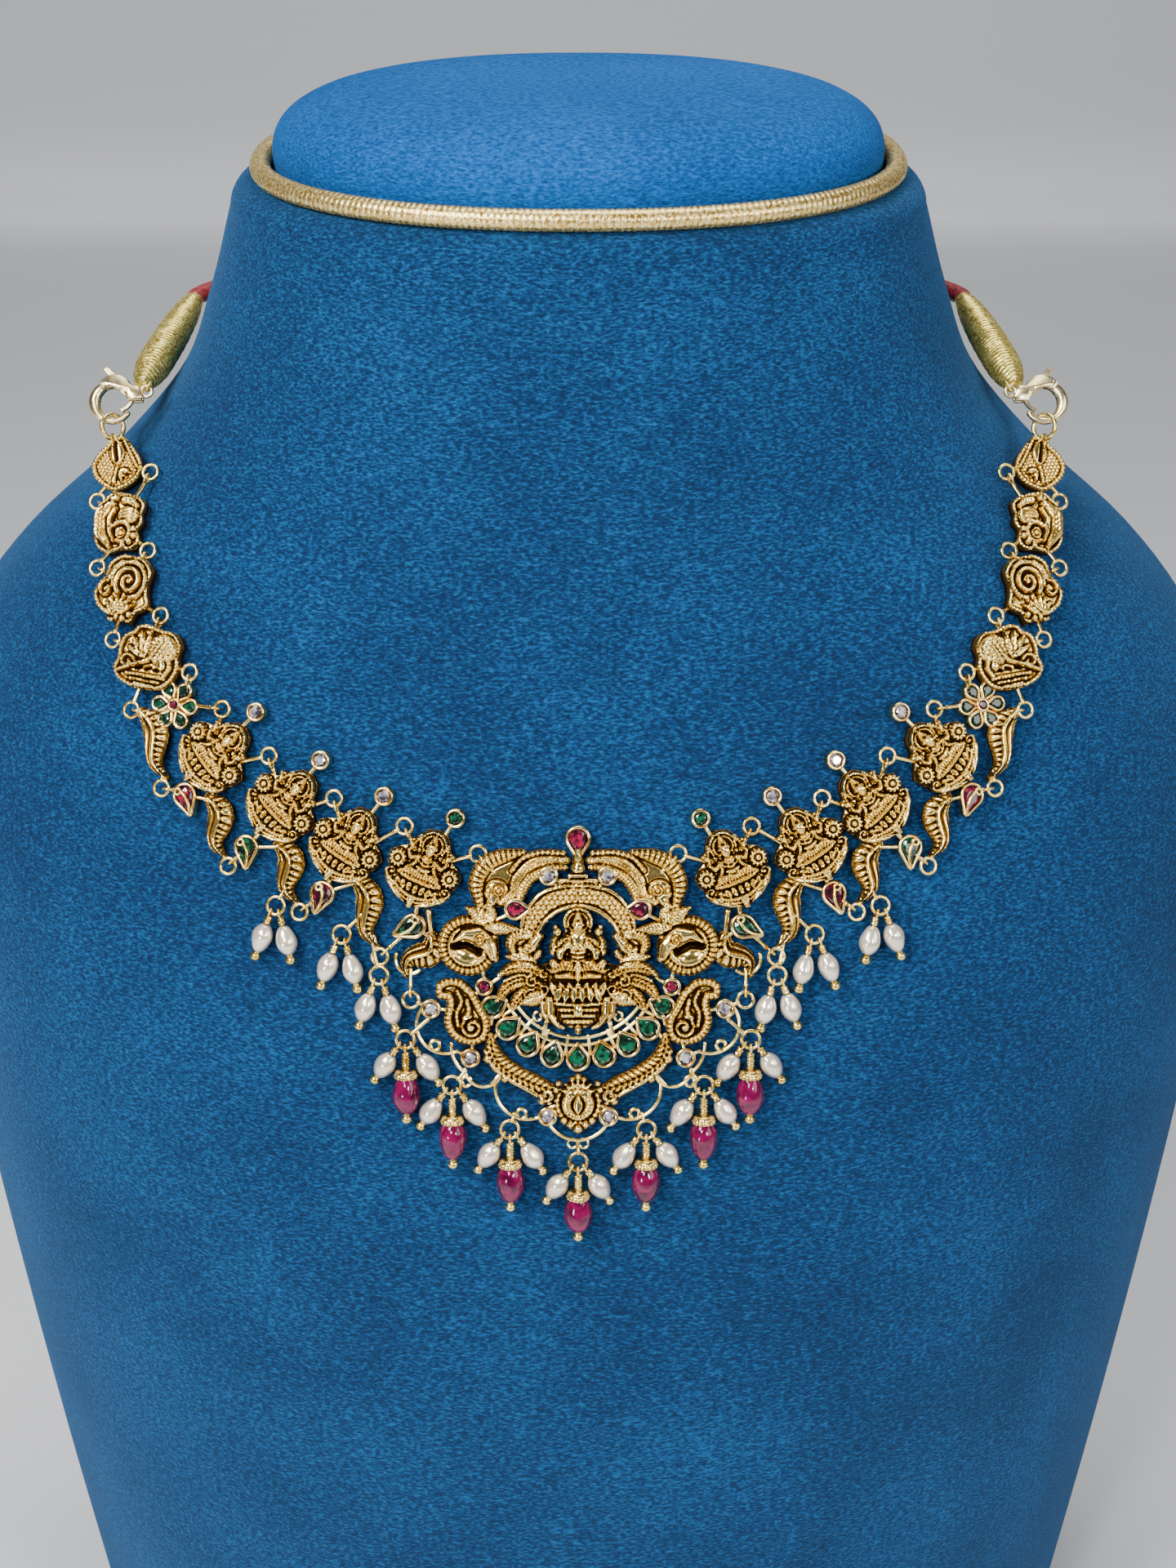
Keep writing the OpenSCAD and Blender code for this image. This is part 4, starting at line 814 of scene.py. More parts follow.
def tube(path: Sequence[Point], radius: float | Sequence[float], sides: int = 8, closed: bool = False,
         shape: Callable[[Array, Array], Array] | None = None,
         squash: tuple[Array, float] | None = None) -> Shell:
    """A round tube along points, with round ends where it is open.

    Args:
        path: The points its middle runs through.
        radius: One radius, or several spread evenly along it.
        sides: Corners round it.
        closed: Whether it closes on itself.
        shape: Factor on the radius, for lengths along it and angles round it;
            where it is under 1 the surface counts as a hollow.
        squash: A direction, and the share of its thickness left that way.

    Returns:
        The shell.
    """
    p = np.asarray(path, float)
    r = np.interp(np.linspace(0, 1, len(p)), np.linspace(0, 1, np.size(radius)), np.atleast_1d(radius))
    if not closed:
        lead, tail = unit(p[0] - p[1]) * r[0], unit(p[-1] - p[-2]) * r[-1]
        p = np.vstack([p[0] + lead * 0.85, p[0] + lead * 0.5, p, p[-1] + tail * 0.5, p[-1] + tail * 0.85])
        r = np.concatenate([r[:1] * 0.45, r[:1] * 0.85, r, r[-1:] * 0.85, r[-1:] * 0.45])
    ahead = np.roll(p, -1, 0) - np.roll(p, 1, 0) if closed else np.gradient(p, axis=0)
    along = ahead / np.linalg.norm(ahead, axis=1, keepdims=True)
    side = np.cross(along[0], vec(0, 0, 1) if abs(along[0][2]) < 0.8 else vec(1, 0, 0))
    sides_of = np.empty_like(p)
    for k, direction in enumerate(along):
        side = unit(side - direction * (side @ direction))
        sides_of[k] = side
    top = np.cross(along, sides_of)
    turn = np.zeros(len(p))
    if closed:
        back = unit(side - along[0] * (side @ along[0]))
        twist = math.atan2(back @ top[0], back @ sides_of[0])
        turn = -twist * np.arange(len(p)) / len(p)
    angles = np.linspace(0, 2 * np.pi, sides, endpoint=False)[None, :] + turn[:, None]
    reach = np.repeat(r[:, None], sides, 1)
    recess = None
    if shape:
        factor = shape(lengths(p)[:, None], angles)
        reach = reach * factor
        # Low places count as recessed, where the thread and cord finishes paint shade
        recess = np.clip(0.25 + (1 - factor) * 6, 0, 1)
    across, upwards = reach * np.cos(angles), reach * np.sin(angles)
    offset = across[..., None] * sides_of[:, None] + upwards[..., None] * top[:, None]
    if squash:
        flat = unit(squash[0])
        offset = offset - (1 - squash[1]) * (offset @ flat)[..., None] * flat
    return loft(p[:, None] + offset, closed, recess)


def ball(at: Point, radius: float, sides: int = 14, flat: float = 1) -> Shell:
    """A round bead of metal, drawn a little flat where asked.

    Args:
        at: Its middle.
        radius: Half its width.
        sides: Corners round it.
        flat: Share of its height that is left.

    Returns:
        The bead.
    """
    rows = [(radius * math.sin(a), -radius * flat * math.cos(a))
            for a in np.linspace(0.12, np.pi - 0.12, sides // 2 + 2)]
    shell = lathe(rows, sides)
    shell.points = shell.points + np.asarray(at, float)
    return shell


def ring(place: Place, radius: float, wire: float, around: int = 28, sides: int = 8, gap: float = 0) -> Shell:
    """A round ring of wire in a frame's plane; a gap in degrees leaves its joint open."""
    turn = np.linspace(gap / 2, 360 - gap / 2, around, endpoint=gap > 0)
    return tube([place.point(on_circle(a, radius)) for a in turn], wire / 2, sides, closed=gap == 0)


# Cast relief

class Cut(Enum):
    """How a chaser worked over a raised form."""

    PLAIN = "left smooth"
    RIBS = "grooved across"
    VEINS = "grooved outwards and forwards from the middle, as a feather"
    ROPE = "twisted like a rope"
    BEADS = "a row of round grains"
    FLUTES = "grooved lengthways"
    SPLIT = "one half smooth and fluted, the other half ribbed"


def cut_height(cut: Cut, s: Array, v: Array, pitch: float) -> Array:
    """How much of a stroke's height a cut leaves.

    Args:
        cut: The way it is worked.
        s: Millimetres along the stroke.
        v: Place across the stroke, from -1 to 1.
        pitch: Millimetres from one groove to the next.

    Returns:
        Share of the height, from 0 in a groove to 1.
    """
    wave = 2 * np.pi / pitch
    dome = np.sqrt(np.clip(1 - v * v, 0, 1))
    if cut is Cut.RIBS:
        return dome * (0.35 + 0.65 * np.abs(np.cos(wave * s / 2)) ** 0.6)
    if cut is Cut.VEINS:
        slant = np.abs(np.cos(wave * (s - 0.9 * np.abs(v)) / 2)) ** 0.6
        return dome * (0.32 + 0.68 * slant) * (0.45 + 0.55 * np.clip(np.abs(v) * 5, 0, 1))
    if cut is Cut.ROPE:
        return dome * (0.45 + 0.55 * np.abs(np.cos(wave * (s + 0.45 * v) / 2)))
    if cut is Cut.BEADS:
        ds = (np.mod(s, pitch) - pitch / 2) / (pitch / 2)
        return 0.25 * dome + 0.75 * np.sqrt(np.clip(1 - ds * ds - v * v, 0, 1))
    if cut is Cut.FLUTES:
        return dome * (0.5 + 0.5 * np.abs(np.cos(2.4 * np.pi * v)))
    if cut is Cut.SPLIT:
        ribs = 0.25 + 0.75 * np.abs(np.cos(wave * (s - 0.3 * v) / 2)) ** 0.6
        flutes = 0.72 + 0.28 * np.cos(4.2 * np.pi * v + 0.5 * s)
        groove = 1 - 0.55 * np.exp(-(v / 0.09) ** 2)
        return dome * groove * np.where(v > 0, ribs, flutes)
    return dome


class Relief:
    """A cast relief, drawn as heights on a fine grid over a unit's plane.

    Forms are pressed onto the grid one after another, each with a dark line
    round it as on a real casting. Where nothing was pressed, the cast is open.
    """

    moat_width = 0.28

    def __init__(self, low: Point, high: Point, step: float) -> None:
        """An empty grid between two corners, with step millimetres between its points.

        Args:
            low: The grid's lower left corner.
            high: Its upper right corner.
            step: Millimetres between its points.
        """
        self.step = step
        self.low = vec(*low)
        xs = np.linspace(low[0], high[0], round((high[0] - low[0]) / step) + 1)
        ys = low[1] + step * np.arange(round((high[1] - low[1]) / step) + 1)
        self.x, self.y = np.meshgrid(xs, ys)
        self.top = np.zeros_like(self.x)
        self.cover = np.full_like(self.x, -1.0)

    def window(self, low: Array, high: Array) -> tuple[slice, slice]:
        """The part of the grid round a box.

        Args:
            low: The box's lower left corner.
            high: Its upper right corner.

        Returns:
            The rows and columns of the grid.
        """
        lo = np.maximum(((low - self.low) / self.step).astype(int) - 2, 0)
        hi = ((high - self.low) / self.step).astype(int) + 3
        return slice(lo[1], max(hi[1], 1)), slice(lo[0], max(hi[0], 1))

    def press(self, win: tuple[slice, slice], depth: Array, height: Array, moat: float) -> None:
        """Raises a form out of the grid.

        Args:
            win: The part of the grid that the two arrays cover.
            depth: Millimetres inside the form's outline, negative outside.
            height: The form's height.
            moat: How deep the dark line round it is.
        """
        top, cover = self.top[win], self.cover[win]
        near = (depth <= 0) & (depth > -self.moat_width)
        top[near] -= moat * (1 + depth[near] / self.moat_width)
        inside = depth > 0
        top[inside] = np.maximum(top[inside], height[inside])
        np.maximum(cover, depth, out=cover)

    def stroke(self, path: Sequence[Point], radius: float | Sequence[float], z: float, height: float,
               cut: Cut = Cut.PLAIN, pitch: float = 0.6, moat: float = 0.35) -> None:
        """Presses a rounded bar along a path.

        Args:
            path: Points of its middle.
            radius: Half its width, one value or several spread along it.
            z: Height of its edges.
            height: How far its middle stands above them.
            cut: How its surface is worked.
            pitch: Distance between two grooves or grains.
            moat: Depth of the dark line round it.
        """
        p = np.array([q[:2] for q in path], float)
        radii = np.atleast_1d(radius).astype(float)
        reach = radii.max() + self.moat_width
        win = self.window(p.min(0) - reach, p.max(0) + reach)
        x, y = self.x[win], self.y[win]
        far = np.full(x.shape, np.inf)
        run, side = np.zeros(x.shape), np.zeros(x.shape)
        length = 0.0
        for a, b in zip(p[:-1], p[1:]):
            d = b - a
            span = float(np.hypot(*d)) or 1e-6
            t = np.clip(((x - a[0]) * d[0] + (y - a[1]) * d[1]) / span ** 2, 0, 1)
            ex, ey = x - a[0] - t * d[0], y - a[1] - t * d[1]
            distance = np.hypot(ex, ey)
            closer = distance < far
            far = np.where(closer, distance, far)
            run = np.where(closer, length + t * span, run)
            side = np.where(closer, np.where(d[0] * ey - d[1] * ex < 0, -1.0, 1.0), side)
            length += span
        r = np.interp(run / length, np.linspace(0, 1, len(radii)), radii) if len(radii) > 1 else radii[0]
        v = np.clip(far / r, 0, 1) * side
        self.press(win, r - far, z + height * cut_height(cut, run, v, pitch), moat)

    def dome(self, at: Point, radius: float, z: float, height: float, moat: float = 0.3,
             long: float = 1.0, turn: float = 0.0) -> None:
        """Presses a round boss, or an oval one with its long axis turned.

        Args:
            at: Its middle.
            radius: Half its width.
            z: Height of its edge.
            height: Rise of its middle.
            moat: Depth of the dark line round it.
            long: Its length, as a share of its width.
            turn: Turn of its long axis.
        """
        reach = radius * max(long, 1) + self.moat_width
        win = self.window(vec(*at[:2]) - reach, vec(*at[:2]) + reach)
        dx, dy = self.local(win, at, turn)
        share = np.hypot(dx / long, dy) / radius
        self.press(win, (1 - share) * radius, z + height * np.sqrt(np.clip(1 - share ** 2, 0, 1)), moat)

    def local(self, win: tuple[slice, slice], at: Point, turn: float) -> tuple[Array, Array]:
        """The grid's coordinates about a place, turned by an angle.

        Args:
            win: The part of the grid.
            at: The place.
            turn: Degrees.

        Returns:
            Distances along both turned axes.
        """
        c, s = on_circle(turn, 1)
        dx, dy = self.x[win] - at[0], self.y[win] - at[1]
        return dx * c + dy * s, dy * c - dx * s

    def plate(self, outline: Sequence[Point], z: float, bevel: float = 0.25, moat: float = 0.0) -> None:
        """Presses a flat plate with rounded edges.

        Args:
            outline: Its corners.
            z: Its height.
            bevel: Width of its rounded edge.
            moat: Depth of the dark line round it.
        """
        p = np.array([q[:2] for q in outline], float)
        win = self.window(p.min(0) - 0.4, p.max(0) + 0.4)
        x, y = self.x[win], self.y[win]
        far, inside = np.full(x.shape, np.inf), np.zeros(x.shape, bool)
        for a, b in zip(p, np.roll(p, -1, 0)):
            d = b - a
            t = np.clip(((x - a[0]) * d[0] + (y - a[1]) * d[1]) / max(d @ d, 1e-9), 0, 1)
            far = np.minimum(far, np.hypot(x - a[0] - t * d[0], y - a[1] - t * d[1]))
            crossing = (a[1] > y) != (b[1] > y)
            rise = d[1] if abs(d[1]) > 1e-9 else 1e-9
            inside ^= crossing & (x < a[0] + (y - a[1]) * d[0] / rise)
        depth = np.where(inside, far, -far)
        edge = np.clip(depth / bevel, 0, 1)
        self.press(win, depth, z - bevel * 0.5 * (1 - np.sqrt(np.clip(1 - (1 - edge) ** 2, 0, 1))), moat)

    def leaf(self, at: Point, turn: float, length: float, width: float, z: float, height: float,
             pitch: float = 0.55, moat: float = 0.35, veined: bool = True) -> None:
        """Presses a pointed leaf that grows from a place along an angle, 0 being upwards.

        Args:
            at: Where it grows.
            turn: Its angle.
            length: Its length.
            width: Its greatest width.
            z: Height of its edges.
            height: Rise of its middle.
            pitch: Distance between two veins.
            moat: Depth of the dark line round it.
            veined: Whether it has veins.
        """
        win = self.window(vec(*at[:2]) - length - 0.4, vec(*at[:2]) + length + 0.4)
        dx, dy = self.local(win, at, turn)
        t = np.clip(dy / length, 0, 1)
        half = width / 2 * np.sin(np.pi * t ** 0.8) + 1e-6
        beyond = np.maximum(np.maximum(-dy, dy - length), 0)
        depth = np.where(beyond > 0, -beyond, (half - np.abs(dx)) * 0.9)
        depth = np.where((beyond > 0) & (np.abs(dx) > beyond), -np.hypot(dx, beyond), depth)
        v = np.clip(dx / half, -1, 1)
        body = np.sqrt(np.clip(1 - v * v, 0, 1)) ** 0.8
        if veined:
            grooves = 0.55 + 0.45 * np.abs(np.cos(np.pi * (dy - 0.75 * np.abs(dx)) / pitch)) ** 0.7
            body = body * np.where(np.abs(dx) < 0.1, 1.05, grooves)
        self.press(win, depth, z + height * body, moat)

    def mirror(self) -> None:
        """Repeats the left half of a grid that is centred on 0 as its right half."""
        right = self.x > 1e-6
        self.top = np.where(right, self.top[:, ::-1], self.top)
        self.cover = np.where(right, self.cover[:, ::-1], self.cover)

    def carve(self, path: Sequence[Point], radius: float, depth: float) -> None:
        """Cuts a round groove along a path into what is there.

        Args:
            path: Points of its middle.
            radius: Half its width.
            depth: Its depth.
        """
        before, covered = self.top.copy(), self.cover.copy()
        self.top[:] = 0
        self.stroke(path, radius, 0, depth, moat=0)
        self.top, self.cover = before - np.maximum(self.top, 0), covered

    def texture(self, where: Array, pattern: Array) -> None:
        """Adds a pattern of heights over a marked area."""
        self.top = np.where(where, self.top + pattern, self.top)

    def grains(self, pitch: float, rise: float) -> Array:
        """Heights of round grains set close together all over the grid.

        Args:
            pitch: Distance between two grains.
            rise: Their height.

        Returns:
            The heights, one for each point of the grid.
        """
        best = np.full(self.x.shape, np.inf)
        row = pitch * math.sqrt(3)
        for shift in (0, 0.5):
            gx = np.mod(self.x / pitch + shift, 1) - 0.5
            gy = np.mod(self.y / row + shift, 1) - 0.5
            best = np.minimum(best, np.hypot(gx * pitch, gy * row))
        return rise * np.sqrt(np.clip(1 - (best / (pitch * 0.52)) ** 2, 0, 1))

    def blurred(self, values: Array, reach: float) -> Array:
        """Values averaged over a square of that half side, inside the cast alone.

        Args:
            values: One for each point of the grid.
            reach: Half the square's side.

        Returns:
            The averages.
        """
        n = max(1, round(reach / self.step))
        mask = (self.cover > 0).astype(float)

        def box(a: Array) -> Array:
            """One pass of a square average.

            Args:
                a: The values to average.

            Returns:
                The averages.
            """
            for axis in (0, 1):
                pad = [(n + 1, n) if k == axis else (0, 0) for k in (0, 1)]
                total = np.cumsum(np.pad(a, pad), axis=axis)
                size = a.shape[axis]
                high = total.take(range(2 * n + 1, 2 * n + 1 + size), axis)
                a = (high - total.take(range(size), axis)) / (2 * n + 1)
            return a

        return box(values * mask) / np.maximum(box(mask), 1e-6)

    def shell(self, back: float) -> Shell:
        """The relief as a closed cast with its walls and a flat back.

        Args:
            back: Height of the back.

        Returns:
            The shell in the unit's own frame, with the recess of each point.
        """
        top = 0.5 * self.top + 0.5 * self.blurred(self.top, self.step)
        # How far each point lies below its surroundings; the casting's finish darkens it there, partly as the
        # bath's patina and partly as painted shade
        hollow = np.clip(0.36 + (self.blurred(top, 0.45) - top) * 2.1, 0, 1)
        inside = self.cover > 0
        ids = np.full(inside.shape, -1)
        ids[inside] = np.arange(inside.sum())
        points = [np.stack([self.x[inside], self.y[inside], top[inside]], -1)]
        recess = [hollow[inside]]
        count = inside.sum()
        edges = []
        for axis in (1, 0):
            cut = [slice(None, -1) if k == axis else slice(None) for k in (0, 1)]
            shift = [slice(1, None) if k == axis else slice(None) for k in (0, 1)]
            a, b = tuple(cut), tuple(shift)
            crossed = inside[a] != inside[b]
            share = self.cover[a] / np.where(crossed, self.cover[a] - self.cover[b], 1)
            share = np.clip(share, 0.04, 0.96)
            x = self.x[a] + (self.x[b] - self.x[a]) * share
            y = self.y[a] + (self.y[b] - self.y[a]) * share
            z = np.where(inside[a], top[a], top[b])
            crossing = np.full(crossed.shape, -1)
            crossing[crossed] = count + np.arange(crossed.sum())
            count += crossed.sum()
            points.append(np.stack([x[crossed], y[crossed], z[crossed]], -1))
            # The rim of the walls counts as half recessed, so the finish paints the walls dark: patina and
            # painted shade
            recess.append(np.full(crossed.sum(), 0.45))
            edges.append(crossing)
        across, upward = edges
        corner = [ids[:-1, :-1], ids[:-1, 1:], ids[1:, 1:], ids[1:, :-1]]
        middle = [across[:-1], upward[:, 1:], across[1:], upward[:, :-1]]
        case = sum((c >= 0) * 2 ** k for k, c in enumerate(corner))
        faces, rim = [], []
        for kind in range(1, 16):
            cells = case == kind
            if not cells.any():
                continue
            walk = []
            for k in range(4):
                here, following = kind >> k & 1, kind >> (k + 1) % 4 & 1
                if here:
                    walk.append(corner[k][cells])
                if here != following:
                    walk.append(middle[k][cells])
                if here and not following:
                    j = next(m for m in range(k + 1, k + 4)
                             if (kind >> m % 4 & 1) != (kind >> (m + 1) % 4 & 1))
                    rim.append(np.stack([middle[k][cells], middle[j % 4][cells]], -1))
            faces.append(np.stack(walk, -1))
        rim = np.concatenate(rim)
        points, recess = np.concatenate(points), np.concatenate(recess)
        used, local = np.unique(rim, return_inverse=True)
        local = local.reshape(rim.shape)
        base = points[used] * vec(1, 1, 0) + vec(0, 0, back)
        low = len(points) + local
        walls = np.stack([rim[:, 1], rim[:, 0], low[:, 0], low[:, 1]], -1)
        floor = self.back_faces(base, local)
        # The back's points count as fully recessed: the finish paints the back darkest, as patina and painted
        # shade
        return Shell(np.vstack([points, base]), [*faces, walls, floor + len(points)],
                     np.concatenate([recess, np.ones(len(base))]))

    def back_faces(self, base: Array, rim: Array) -> Array:
        """Triangles that close the back inside its outline and leave its holes open.

        Args:
            base: Points round the back.
            rim: Pairs of their numbers, its edges.

        Returns:
            Rows of three of the points' numbers.
        """
        triangles = triangulated(base, rim.tolist())
        border = {tuple(sorted(e)) for e in rim.tolist()}
        group = list(range(len(triangles)))

        def root(k: int) -> int:
            """The group that a triangle belongs to.

            Args:
                k: Number of the triangle.

            Returns:
                Number of the group's first triangle.
            """
            while group[k] != k:
                group[k] = group[group[k]]
                k = group[k]
            return k

        seen: dict[tuple[int, int], int] = {}
        for k, t in enumerate(triangles.tolist()):
            for a, b in ((t[0], t[1]), (t[1], t[2]), (t[2], t[0])):
                edge = (min(a, b), max(a, b))
                if edge in border:
                    continue
                if edge in seen:
                    group[root(k)] = root(seen[edge])
                else:
                    seen[edge] = k
        a, b, c = (base[triangles[:, k]][:, :2] for k in range(3))
        twice = (b - a)[:, 0] * (c - a)[:, 1] - (b - a)[:, 1] * (c - a)[:, 0]
        middle = np.rint(((a + b + c) / 3 - self.low) / self.step).astype(int)
        solid = np.where(self.cover[middle[:, 1], middle[:, 0]] > 0, 1.0, -1.0) * np.abs(twice)
        roots = np.array([root(k) for k in range(len(triangles))])
        votes = np.bincount(roots, weights=solid, minlength=len(triangles))
        kept = votes[roots] > 0
        facing_up = twice[kept] > 0
        triangles = triangles[kept]
        triangles[facing_up] = triangles[facing_up][:, ::-1]
        return triangles


# The bust and its skin

# One row for each section from the base up: height as a share of the bust's,
# width and front from the neck's (0) to the chest's (1), back as a share.
BUST_SECTIONS = [
    (0, 0.66, 0.905, 0.71), (0.15, 0.76, 1, 0.79), (0.30, 0.86, 1, 0.88), (0.43, 0.94, 0.945, 0.94),
    (0.545, 1, 0.83, 0.98), (0.64, 1, 0.67, 1), (0.715, 0.87, 0.51, 1), (0.77, 0.68, 0.38, 0.99),
    (0.825, 0.40, 0.26, 0.98), (0.88, 0.185, 0.155, 0.96), (0.935, 0.085, 0.08, 0.92),
    (0.985, 0.02, 0.01, 0.87), (1, 0, 0, 0.85),
]
# The padded cap: height and reach, as shares of its height and half widths
CAP_SECTIONS = [(0, 0.985), (0.12, 1), (0.34, 1.005), (0.55, 0.985), (0.72, 0.93), (0.86, 0.83), (0.95, 0.67),
                (0.99, 0.42)]
SQUARENESS = 2.2
VIEW_TILT = 30
VIEW_DIR = vec(0, -math.cos(math.radians(VIEW_TILT)), math.sin(math.radians(VIEW_TILT)))


def ring_point(degrees: float, width: float, front: float, back: float) -> Array:
    """A point of a rounded-square ring, some degrees round from the front.

    Args:
        degrees: Angle from the front, towards +X.
        width: Half the ring's width.
        front: Depth from the middle to the front.
        back: Depth from the middle to the back.

    Returns:
        The point.
    """
    s, c = math.sin(math.radians(degrees)), math.cos(math.radians(degrees))
    power = 2 / SQUARENESS
    return vec(width * math.copysign(abs(s) ** power, s),
               -(front if c > 0 else back) * math.copysign(abs(c) ** power, c))


@dataclass
class NeckBust:
    """The velvet covered bust with its padded cap and the gold cord between them."""

    height: float = 266.5
    neck_width: float = 108
    chest_width: float = 224
    neck_front: float = 38
    chest_front: float = 91
    back: float = 48
    rounding: float = 4
    cap_height: float = 14
    trim: float = 3.4
    sides: int = 168
    rib: float = 0.95

    def half_width(self, z: float) -> float:
        """Half the width at a height."""
        return mix(self.neck_width, self.chest_width, smooth(BUST_SECTIONS, z / self.height, 1)) / 2

    def front_depth(self, z: float) -> float:
        """Depth from the middle to the front at a height."""
        return mix(self.neck_front, self.chest_front, smooth(BUST_SECTIONS, z / self.height, 2))

    def back_depth(self, z: float) -> float:
        """Depth from the middle to the back at a height."""
        return self.back * smooth(BUST_SECTIONS, z / self.height, 3)

    def skin(self, degrees: float, z: float) -> Array:
        """A point of the velvet."""
        return vec(*ring_point(degrees, self.half_width(z), self.front_depth(z), self.back_depth(z)), z)

    def skin_behind(self, p: Array) -> Array:
        """The velvet straight behind a point, on the front."""
        share = 1 - (abs(p[0]) / self.half_width(p[2])) ** SQUARENESS
        return vec(p[0], -self.front_depth(p[2]) * share ** (1 / SQUARENESS), p[2])

    def normal(self, degrees: float, z: float) -> Array:
        """The direction out of the velvet.

        Args:
            degrees: Angle from the front.
            z: Height.

        Returns:
            The direction, of length 1.
        """
        e = 0.2
        across = self.skin(degrees + e, z) - self.skin(degrees - e, z)
        return unit(np.cross(across, self.skin(degrees, z + e) - self.skin(degrees, z - e)))

    def inset(self, z: float) -> float:
        """How far the rounded top edge draws in at a height."""
        s = max(0.0, 1 - (self.height - z) / self.rounding)
        return self.rounding * (1 - math.sqrt(1 - s * s))

    def rings(self) -> Array:
        """The bust's sections, with a soft edge at its base.

        Returns:
            One ring of points for each section.
        """
        neck = self.height - self.rounding
        heights = [0.0, 0.4, 1.2, *np.linspace(3, neck, 96)]
        heights += [self.height - self.rounding * (1 - math.sin(a))
                    for a in np.linspace(0.2, math.pi / 2 - 0.02, 9)]
        rows = []
        for z in heights:
            body = min(z, neck)
            draw = self.inset(z) + max(0.0, 1.2 - z) ** 2 * 0.6
            rows.append([vec(*ring_point(a, self.half_width(body) - draw, self.front_depth(body) - draw,
                                         self.back_depth(body) - draw), z)
                         for a in np.linspace(0, 360, self.sides, endpoint=False)])
        top = np.array(rows[-1])
        rows += [top * vec(share, share, 1) for share in (0.93, 0.8, 0.5, 0.15)]
        return np.array(rows)

    def edge(self) -> tuple[float, float, float]:
        """Half width, front and back of the line that the gold cord follows."""
        return (self.neck_width / 2 - self.rounding + 0.2, self.neck_front - self.rounding + 2,
                self.back * 0.86 - self.rounding + 0.2)

    def cap_rings(self) -> Array:
        """The cap's sections: it swells over the cord and is drawn in under it.

        Returns:
            One ring of points for each section.
        """
        inner = self.trim / 2 + 0.35
        side, front, back = (reach - inner for reach in self.edge())
        rows = []
        for t in np.linspace(0, 0.99, 40):
            share = smooth(CAP_SECTIONS, t, 1) / 1.005
            rows.append([vec(*ring_point(a, side * share, front * share, back * share),
                             self.height + 0.25 + t * self.cap_height)
                         for a in np.linspace(0, 360, self.sides, endpoint=False)])
        top = np.array(rows[-1])
        for share in (0.85, 0.6, 0.35, 0.12):
            rise = vec(0, 0, 0.12 * (1 - share))
            rows.append(top * vec(share, share, 1) + rise)
        return np.array(rows)

    def trim_shell(self) -> Shell:
        """The gold cord: gimp wound in fine turns round a soft core.

        Returns:
            The cord's mesh.
        """
        side, front, back = self.edge()
        around = [vec(*ring_point(a, side, front, back), self.height + self.trim / 2 + 0.2)
                  for a in np.linspace(0, 360, 240, endpoint=False)]
        length = lengths(np.array(around + around[:1]))[-1]
        turns = round(length / self.rib)
        path = curve(around, 6, closed=True)
        rib = length / turns

        def wound(s: Array, a: Array) -> Array:
            """Radius factor of the wound turns."""
            return 0.93 + 0.07 * np.abs(np.cos(np.pi * s / rib + 0.5 * a)) ** 0.8

        return tube(path, self.trim / 2, 14, closed=True, shape=wound)

    def build(self) -> None:
        """Makes the bust, the cap and the gold cord."""
        loft(self.rings()).piece("bust_velvet_form", FINISH.velvet, ["bust"], sharp=60)
        cap = loft(self.cap_rings()).piece("neck_cap_padded", FINISH.cap_velvet, ["neck_cap"], sharp=60)
        self.trim_shell().piece("neck_trim_cord", FINISH.gimp, ["neck_trim"], sharp=70)


